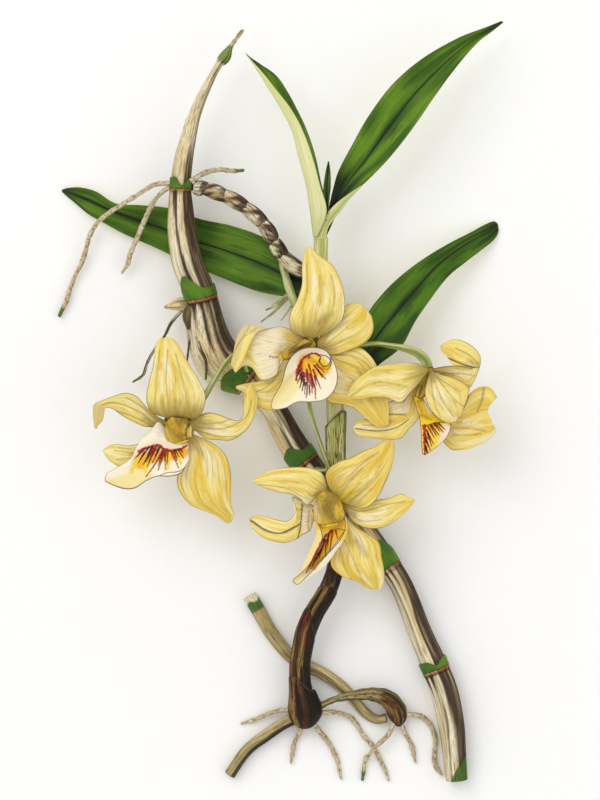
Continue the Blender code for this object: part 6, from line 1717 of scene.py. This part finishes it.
def build_leafy_stem():
    stem = Stem(LEAFY_STEM)
    piece = Piece("leafy stem skin")

    def wash(at, turns, points, seed=0.0):
        y = points[..., 1]
        lean, _ = across_view(stem, at, points)
        broad = fibres(turns, at, 8, 40.0, 1.0 + seed)
        fine = fibres(turns, at, 18, 22.0, 3.0 + seed)
        colours = plain(points, SHOOT_GREEN)
        # Paler on the left and greener on the right as seen from above: painted highlight and painted shade,
        # over the stem's streaks.
        colours = mix(colours, SHOOT_PALE, 0.75 * smooth(-0.2, 0.3, broad - 0.3 * lean))
        colours = mix(colours, CUFF_GREEN, 0.45 * smooth(0.3, 0.7, -broad + 0.4 * lean))
        patches = smooth(0.1, 0.4, waves(points, 0.3, 3.0) + 0.3 * fine) * smooth(-16.0, -22.0, y)
        colours = mix(colours, BARK_AND_SHADE, 0.65 * patches)
        low = smooth(-40.0, -66.0, y)
        brown = plain(points, SHEATH)
        # Olive on the left of the brown lower stem: painted highlight, over its streaks.
        brown = mix(brown, SHEATH_OLIVE, 0.9 * smooth(-0.05, 0.25, broad + 0.5 * fine - 0.6 * lean))
        brown = mix(brown, SHEATH_RED, 0.8 * smooth(0.22, 0.4, fibres(turns, at, 30, 34.0, 9.0 + seed)))
        brown = mix(brown, BLACK_SHADE, 0.9 * smooth(0.08, 0.4, -fine + 0.25 * broad))
        # Black down the right side as seen from above, reaching further towards the foot: painted shade.
        foot = 0.3 * smooth(-120.0, -134.0, y)
        brown = mix(brown, BLACK_SHADE, 0.95 * smooth(0.1, 0.6, lean + 0.3 * fine + foot))
        colours = colours * (1 - low[..., None]) + brown * low[..., None]
        # Darker at both edges as seen from above: painted shade at the rims.
        return mix(colours, BLACK_SHADE, 0.6 * smooth(0.82, 1.0, np.abs(lean)))

    tube(piece, stem, *SHOOT_SKIN, wash, lambda at, turns: 0.07 * np.cos(9 * turns), 0, 0.4, 0.5)
    for index, (low, high, slope, heading) in enumerate(STEM_SHEATHS):
        end = stem.nearest(*high)
        point = angle_towards(stem, end, heading_vector(heading, 0.8))

        def top(turns):
            return end - slope * smooth(0.0, 2.5, turned_from(turns, point))

        def sheath_wash(at, turns, points):
            colours = wash(at, turns, points, 5.0 * (index + 1))
            return mix(colours, BLACK_SHADE, 0.8 * smooth(-1.1, -0.3, at - top(turns)))

        def flare(share, turns):
            return 0.12 + 0.3 * share ** 3 + 0.05 * index

        sleeve(piece, stem, stem.nearest(*low), top, flare, SHEATH_FIT, sheath_wash, 1)
    piece.build(["shoot", "sheath"], ["leafy_stem"])


def build_rhizome():
    stem = Stem(RHIZOME)
    piece = Piece("rhizome skin")

    def wash(at, turns, points):
        above = faces_along(stem, at, turns, 2)
        over = faces_along(stem, at, turns, 1)
        streak = fibres(turns, at, 9, 22.0, 4.0)
        colours = plain(points, RHIZOME_OLIVE)
        # Paler where the skin faces up and darker where it faces -y: painted highlight on the top and painted
        # shade on the lower side, over the streaks.
        colours = mix(colours, RHIZOME_PALE, 0.8 * smooth(0.0, 0.5, streak + 0.5 * above - 0.2))
        colours = mix(colours, BLACK_SHADE, 0.8 * smooth(0.35, 0.8, -over - 0.2 + 0.4 * streak))
        bulb = smooth(41.0, 46.0, points[..., 0])
        red = plain(points, BARK_AND_SHADE)
        red = mix(red, BULB_RED, 0.85 * smooth(0.2, 0.45, fibres(turns, at, 24, 16.0, 8.0)))
        red = mix(red, SHEATH_OLIVE, 0.7 * smooth(0.1, 0.35, fibres(turns, at, 20, 16.0, 15.0)))
        red = mix(red, BLACK_SHADE, 0.85 * smooth(0.05, 0.3, -fibres(turns, at, 22, 16.0, 12.0)))
        return colours * (1 - bulb[..., None]) + red * bulb[..., None]

    def grow(at, turns):
        return 0.09 * np.cos(9 * turns) + 0.1 * np.cos(at * 1.4)

    tube(piece, stem, *RHIZOME_SKIN, wash, grow, 0, 0.5, 0.6)
    piece.build(["sheath"], ["rhizome"])


def build_cut_pieces():
    for node, route in (("cut_cane", CUT_CANE), ("cut_stem", CUT_STEM)):
        stem = Stem(route)
        piece = Piece(node + " skin")

        def wash(at, turns, points):
            below = -faces_along(stem, at, turns, 1)
            streak = fibres(turns, at, 9, 30.0, 6.0)
            colours = mix(plain(points, OLD_CANE), PAPER, 0.7 * smooth(0.0, 0.4, streak))
            # Darker on the side facing -y: painted shade.
            colours = mix(colours, BARK_AND_SHADE, 0.45 * smooth(0.3, 0.8, -0.5 * streak + 0.8 * below))
            colours = mix(colours, BARK_AND_SHADE, 0.6 * smooth(0.3, 0.5, fibres(turns, at, 26, 30.0, 2.0)))
            if node == "cut_cane":
                colours = mix(colours, CUFF_GREEN, 0.95 * (1 - smooth(6.4, 7.2, at)))
                colours = mix(colours, BLACK_SHADE, 0.7 * ridge(at, 7.0, 0.35))
                colours = mix(colours, CREAM, 0.95 * (1 - smooth(2.2, 3.2, at + 0.6 * np.cos(3 * turns))))
            else:
                # Black on the side facing -y and cream on the other: painted shade and painted highlight.
                colours = mix(colours, BLACK_SHADE, 0.92 * smooth(0.0, 0.45, below + 0.3 * streak))
                colours = mix(colours, CREAM, 0.7 * smooth(0.3, 0.6, streak - below - 0.4))
            # Darker at both edges as seen from above: painted shade at the rims.
            return mix(colours, BARK_AND_SHADE, 0.5 * smooth(0.85, 1.0, np.abs(below)))

        def grow(at, turns):
            ragged = np.exp(-np.minimum(at, stem.length - at) / 1.6)
            return 0.08 * np.cos(8 * turns) + 0.22 * ragged * np.cos(5 * turns + 1.0)

        tube(piece, stem, *CUT_SKIN, wash, grow, 0, 0.1, 0.2)
        piece.build(["old"], [node])


def build_leaves():
    for name, rows in LEAVES.items():
        piece = Piece(name + " blade")
        points = surface(rows, *(YOUNG_LEAF_GRID if name == "leaf_young" else LEAF_GRID))
        normals = facing(points)
        if name != FOLDED_LEAF and normals[..., 2].mean() < 0:
            normals = -normals
        u, v = shares(points)
        off = np.abs(u - 0.5) * lengths(points, 1)[:, None]
        furrow = 0.22 * ridge(off, 0.0, 0.7) * smooth(0.0, 0.1, v) * (1 - smooth(0.9, 1.0, v))
        points = points - normals * furrow[..., None]
        flow = np.stack(np.broadcast_arrays(u * 5, v * 5), axis=-1)
        mottle = waves(flow, 1.0, len(name))
        shade, lean, light = LEAF_SHADES[name]
        top = mix(plain(points, LEAF_TOP), LEAF_LIGHT, light * smooth(-0.4, 0.3, mottle))
        top = mix(top, LEAF_DARK, (0.7 - 0.55 * light) * smooth(0.0, 0.45, -mottle))
        top = mix(top, LEAF_DARK, 0.35 * smooth(0.25, 0.5, waves(flow * [2.2, 1.6], 1.0, 7.0)))
        top = mix(top, LEAF_DARK, 0.35 * ridge(off, 0.6, 1.2))
        top = mix(top, LEAF_DARK, 0.95 * (1 - smooth(0.25, 0.7, off + 0.2 * mottle)) * smooth(1.0, 0.9, v))
        foot = v + lean * (u - 0.5) + 0.06 * mottle
        top = mix(top, LEAF_DARK, 0.95 * (1 - smooth(0.4 * shade, shade, foot)))
        top = mix(top, LEAF_DARK, 0.7 * smooth(0.88, 1.0, v))
        streak = waves(flow * [4.0, 0.3], 1.0, 2.0)
        under = mix(plain(points, LEAF_UNDER), CREAM, 0.6 * smooth(0.0, 0.4, streak))
        under = mix(under, CUFF_GREEN, 0.5 * ridge(off, 0.0, 0.5) + 0.25 * (1 - smooth(0.0, 0.2, v)))
        sheet(piece, points, LEAF_THICKNESS, top, under, turned=False if name == FOLDED_LEAF else None)
        piece.build(["leaf", "leaf_back"], [name])
    piece = Piece("leaf clasp")
    points = surface(LEAF_CLASP, *CLASP_GRID, CLASP_CROWN)
    u, v = shares(points)
    flow = np.stack(np.broadcast_arrays(u * 7.0, v * 1.2), axis=-1)
    streak = waves(flow, 1.0, 5.0)
    wash = mix(plain(points, CLASP_GREEN), CREAM, 0.6 * smooth(-0.1, 0.4, streak))
    wash = mix(wash, CUFF_GREEN, 0.45 * smooth(0.15, 0.5, -streak))
    sheet(piece, points, LEAF_THICKNESS, wash)
    piece.build(["leaf_back", "leaf_back"], ["leaf_upper_right"])


def petal_wash(points, node, seed):
    u, v = shares(points)
    flow = np.stack(np.broadcast_arrays(u * 6 + seed, v * 1.6), axis=-1)
    streak = waves(flow, 1.0, seed)
    fine = waves(flow * [4.0, 1.0], 1.0, seed + 3.0)
    hair = waves(flow * [9.0, 1.6], 1.0, seed + 8.0)
    colours = plain(points, PALE_YELLOW)
    colours = mix(colours, DEEP_YELLOW, 0.62 * smooth(-0.1, 0.45, streak + 0.3 * fine))
    colours = mix(colours, PETAL_WHITE, 0.45 * smooth(0.1, 0.5, -streak + 0.25 * fine))
    # Olive hatching that fades towards the tip, and olive at the claw: painted shade at the flower's centre,
    # over the hatching.
    colours = mix(colours, PETAL_OLIVE, 0.3 * smooth(0.15, 0.45, hair) * (1 - smooth(0.3, 1.0, v)))
    colours = mix(colours, PETAL_OLIVE, 0.75 * (1 - smooth(0.02, 0.2 + 0.14 * fine + 0.1, v)))
    depth = PETAL_DEPTH.get(node, 0.0)
    colours = mix(colours, DEEP_YELLOW, depth * (0.55 + 0.9 * streak + 0.9 * fine))
    colours = mix(colours, PETAL_OLIVE, 0.5 * depth * smooth(0.05, 0.4, hair - 0.3 * fine))
    for paint, width, strength, floor, lines in PETAL_PAINT.get(node, []):
        colours = strokes(colours, points, lines, paint, width, strength, 0.3, floor, 0.2)
    # A dark line along the sides of the lower part: painted shade at the rims.
    margin = np.minimum(u, 1 - u) * lengths(points, 1)[:, None]
    drawn = (1 - smooth(0.1, 0.5, margin)) * (1 - smooth(0.45, 0.95, v))
    return mix(colours, PAINTS["line"], 0.8 * drawn)


def build_blooms():
    for name, parts in BLOOMS.items():
        hub = np.array(parts["hub"], float)
        for number, (part, rows) in enumerate(parts.items()):
            if part in ("hub", "lip"):
                continue
            node = f"{name}_{part}"
            piece = Piece(node)
            points = surface(rows, *PETAL_GRID, PETAL_CROWN)
            u, v = shares(points)
            ruffle = waves(points, 0.16, number * 3.1) * 0.5 * np.abs(2 * u - 1) ** 2 * smooth(0.15, 0.4, v)
            furrow = 0.18 * ridge(u, 0.5, 1 / 30) * smooth(0.0, 0.15, v) * (1 - smooth(0.85, 1.0, v))
            wash = petal_wash(points, node, number * 1.7 + len(name))
            points = points + facing(points) * (ruffle - furrow)[..., None]
            sheet(piece, points + hub, PETAL_THICKNESS, wash)
            piece.build(["petal", "petal_back"], [node])
        build_lip(name, parts, hub)
        build_column(name, hub)
        build_pedicel(name)


def lip_rows():
    """The rolled lip's rows from the throat out to the rim; the throat climbs so that the ends pass."""
    throat = np.array(LIP_THROAT)
    rim = np.array(LIP_RIM)
    climb = LIP_SPIRAL * (1 - np.linspace(0, 1, len(rim)))
    starts = throat + np.stack([0 * climb, 0 * climb, climb], axis=1)
    rows = []
    for share in LIP_RINGS:
        row = starts + (rim - starts) * share
        row[:, 2] = starts[:, 2] + (rim[:, 2] - starts[:, 2]) * share ** LIP_BOWL
        rows.append(row)
    return rows


def build_lip(name, parts, hub):
    piece = Piece(name + " lip")
    rolled = "lip" not in parts
    if rolled:
        points = surface(lip_rows(), *ROLLED_LIP_GRID)
    else:
        points = surface(parts["lip"], *LIP_GRID, PETAL_CROWN)
    wash = plain(points, LIP_WHITE)
    for paint, width, strength, lines in LIP_PAINT[name]:
        thin = paint in THIN_PAINTS and width < THIN_WIDTH
        taper = 0.25 if paint in BLUNT_PAINTS else 0.62 if thin else 0.5
        ragged = 0.2 if paint == "line" else 0.3 if thin else 0.9
        drawn = width * 0.88 if thin else width
        wash = strokes(wash, points, lines, paint, drawn, strength, taper, NO_FLOOR, ragged)
    # A dark line along the margins: painted shade at the rims.
    u, v = shares(points)
    margin = (1 - v) * lengths(points, 0)[None, :]
    if not rolled:
        margin = np.minimum(np.minimum(u, 1 - u) * lengths(points, 1)[:, None], margin)
    wash = mix(wash, PAINTS["line"], 0.85 * (1 - smooth(0.15, 0.5, margin)))
    sheet(piece, points + hub, PETAL_THICKNESS, wash)
    piece.build(["lip", "lip"], [name + "_lip"])


def build_column(name, hub):
    piece = Piece(name + " column")
    (x, y, bottom, top, radius), centre, half, heading = COLUMNS[name]
    length, width, height, base = COLUMN_SHAPES[name]
    middle = hub + [x, y, 0]
    post = Stem([(*(middle + [0, 0, z]), radius) for z in (bottom, (bottom + top) / 2, top)])

    def post_wash(at, turns, points):
        streak = fibres(turns, at, 8, 6.0)
        return mix(plain(points, COLUMN_OLIVE), PETAL_OLIVE, 0.6 * smooth(0.0, 0.4, streak))

    tube(piece, post, *POST_SKIN, post_wash, lambda at, turns: 0.1 * np.cos(6 * turns), 0, 0.1, 0.3)
    steps = np.linspace(0, SEAT_HEIGHT, 3)
    seat = Stem([
        (*(middle + [0, 0, bottom - 0.9 + step]), base * (1 - 0.35 * step / SEAT_HEIGHT)) for step in steps
    ])

    def seat_wash(at, turns, points):
        streak = fibres(turns, at, 16, 9.0)
        return mix(plain(points, PETAL_OLIVE), SEAT_OLIVE, 0.8 * smooth(0.0, 0.3, streak))

    tube(piece, seat, *SEAT_SKIN, seat_wash, lambda at, turns: 0.25 * np.cos(5 * turns), 0, 0.25, 0.2)
    v = np.linspace(HOOD_PINCH, math.pi - HOOD_PINCH, HOOD_GRID[0])[:, None]
    turns = angles(HOOD_GRID[1])
    keel = 1 + 0.07 * np.cos(2 * turns - math.pi) + 0.02 * np.cos(5 * turns)
    wings = 1 + 0.16 * ridge(v, 1.1, 0.3) * np.abs(np.cos(turns)) ** 3 - 0.16 * ridge(v, 0.62, 0.09)
    reach = np.sin(v) ** 0.72 * (1 - 0.16 * smooth(1.7, 3.0, v)) * keel * wings
    local = np.stack(np.broadcast_arrays(
        half[0] * length * np.cos(v),
        half[1] * width * reach * np.cos(turns),
        half[2] * height * reach * np.sin(turns),
    ), axis=-1)
    c, s = math.cos(math.radians(heading)), math.sin(math.radians(heading))
    points = local @ np.array([[c, s, 0], [-s, c, 0], [0, 0, 1]]) + centre
    share = v / math.pi
    streak = fibres(turns, local[..., 0], 9, 9.0, len(name))
    glow = COLUMN_GLOW[name]
    wash = mix(plain(points, COLUMN_OLIVE), COLUMN_GOLD, glow * smooth(-0.4, 0.3, streak))
    # Brown streaks, more on one side: painted shade on that side, over the streaks.
    wash = mix(wash, COLUMN_BROWN, (1.0 - 0.7 * glow) * smooth(0.1, 0.45, -streak + 0.25 * np.cos(turns)))
    for paint, width, strength, lines in COLUMN_PAINT[name]:
        wash = strokes(wash, points, lines, paint, width, strength, 0.2, centre[2], 0.2, SOFT_ON_COLUMNS)
    wash = mix(wash, BRIGHT_YELLOW, 0.85 * (1 - smooth(0.16, 0.22, share)))
    wash = mix(wash, COLUMN_LINE, 0.85 * ridge(share, 0.2, 0.012))
    # Darker at both sides: painted shade at the rims.
    wash = mix(wash, COLUMN_SIDE_SHADE, 0.6 * smooth(0.93, 1.0, np.abs(np.cos(turns))))
    grain = np.stack([local[..., 1], local[..., 2], local[..., 0]], axis=-1)
    index = piece.add(points + hub, wash, grain, NO_RIM)
    piece.cover(index, 0, closed=True)
    for row in (0, -1):
        piece.cap(index[row], points[row].mean(axis=0) + hub, wash[row, 0], grain[row].mean(axis=0))
    piece.build(["column"], [name + "_column"])


def build_pedicel(name):
    piece = Piece(name + " stalk")
    stem = Stem(PEDICELS[name])

    def wash(at, turns, points):
        lean, _ = across_view(stem, at, points)
        streak = np.cos(3 * turns + 0.15 * at) + 0.5 * fibres(turns, at, 10, 14.0)
        colours = plain(points, PEDICEL_GREEN)
        colours = mix(colours, PEDICEL_PALE, 0.6 * smooth(0.3, 1.0, streak))
        colours = mix(colours, LEAF_TOP, 0.65 * smooth(0.3, 1.0, -streak))
        # Darker at both edges as seen from above: painted shade at the rims.
        return mix(colours, BARK_AND_SHADE, 0.5 * smooth(0.75, 1.0, np.abs(lean)))

    def grow(at, turns):
        return 0.09 * np.cos(3 * turns + 0.15 * at)

    tube(piece, stem, *PEDICEL_SKIN, wash, grow, 0, 0.3, 0.6)
    piece.build(["shoot"], [name + "_pedicel"])


def build_stage():
    floor_mesh = bpy.data.meshes.new("ground")
    corners = [(x * FLOOR_HALF, y * FLOOR_HALF, 0) for x, y in ((-1, -1), (1, -1), (1, 1), (-1, 1))]
    floor_mesh.from_pydata(corners, [], [(0, 1, 2, 3)])
    floor = bpy.data.objects.new("ground", floor_mesh)
    floor.location.z = -FLOOR_DROP
    bpy.context.scene.collection.objects.link(floor)
    material = bpy.data.materials.new("pale ground")
    material.use_nodes = True
    tree = material.node_tree
    shader = tree.nodes["Principled BSDF"]
    texture = tree.nodes.new("ShaderNodeTexCoord")
    grain = tree.nodes.new("ShaderNodeTexNoise")
    grain.inputs["Scale"].default_value = FLOOR_SPECKLE
    grain.inputs["Detail"].default_value = 4.0
    tree.links.new(texture.outputs["Object"], grain.inputs["Vector"])
    ramp = tree.nodes.new("ShaderNodeMapRange")
    tree.links.new(grain.outputs[0], ramp.inputs[0])
    ramp.inputs["To Min"].default_value, ramp.inputs["To Max"].default_value = FLOOR_SHADES
    combine = tree.nodes.new("ShaderNodeCombineColor")
    for socket in combine.inputs[:3]:
        tree.links.new(ramp.outputs[0], socket)
    tree.links.new(combine.outputs[0], shader.inputs["Base Color"])
    shader.inputs["Roughness"].default_value = FLOOR_ROUGHNESS
    floor_mesh.materials.append(material)

    camera_data = bpy.data.cameras.new("camera")
    camera_data.sensor_width = SENSOR_MM
    camera_data.lens = SENSOR_MM * CAMERA_HEIGHT / (IMAGE_HEIGHT * MM_PER_PIXEL * MM)
    camera_data.clip_end = CAMERA_REACH
    camera = bpy.data.objects.new("camera", camera_data)
    camera.location = (IMAGE_CENTRE[0] * MM, IMAGE_CENTRE[1] * MM, CAMERA_HEIGHT + PLANT_HEIGHT)
    bpy.context.scene.collection.objects.link(camera)
    bpy.context.scene.camera = camera

    world = bpy.data.worlds.new("studio")
    world.use_nodes = True
    background = world.node_tree.nodes["Background"]
    background.inputs["Color"].default_value = WORLD_COLOUR
    background.inputs["Strength"].default_value = WORLD_STRENGTH
    bpy.context.scene.view_settings.view_transform = "Standard"
    bpy.context.scene.world = world
    for name, place, size, power in LAMPS:
        data = bpy.data.lights.new(name, "AREA")
        data.size = size
        data.energy = power
        light = bpy.data.objects.new(name, data)
        light.location = place
        light.rotation_euler = (-Vector(place)).to_track_quat("-Z", "Y").to_euler()
        bpy.context.scene.collection.objects.link(light)


build_stage()
build_cane()
roots(
    "aerial roots", AERIAL_ROOTS, ROOT_RADIUS, (True, False, True),
    ["flowering_cane"], ROOT_TAN,
)
roots(
    "wiry roots", WIRY_ROOTS, WIRY_ROOT_RADIUS, (True, False, True),
    ["flowering_cane"], WIRY_BROWN,
)
build_buds()
build_offshoot()
build_offshoot_stalk()
build_leafy_stem()
roots("stem roots", STEM_ROOTS, ROOT_RADIUS, (False,) * 4, ["leafy_stem"], ROOT_TAN)
build_rhizome()
roots("bulb roots", BULB_ROOTS, ROOT_RADIUS, (True, False, False), ["rhizome"], ROOT_TAN)
build_cut_pieces()
build_leaves()
build_blooms()
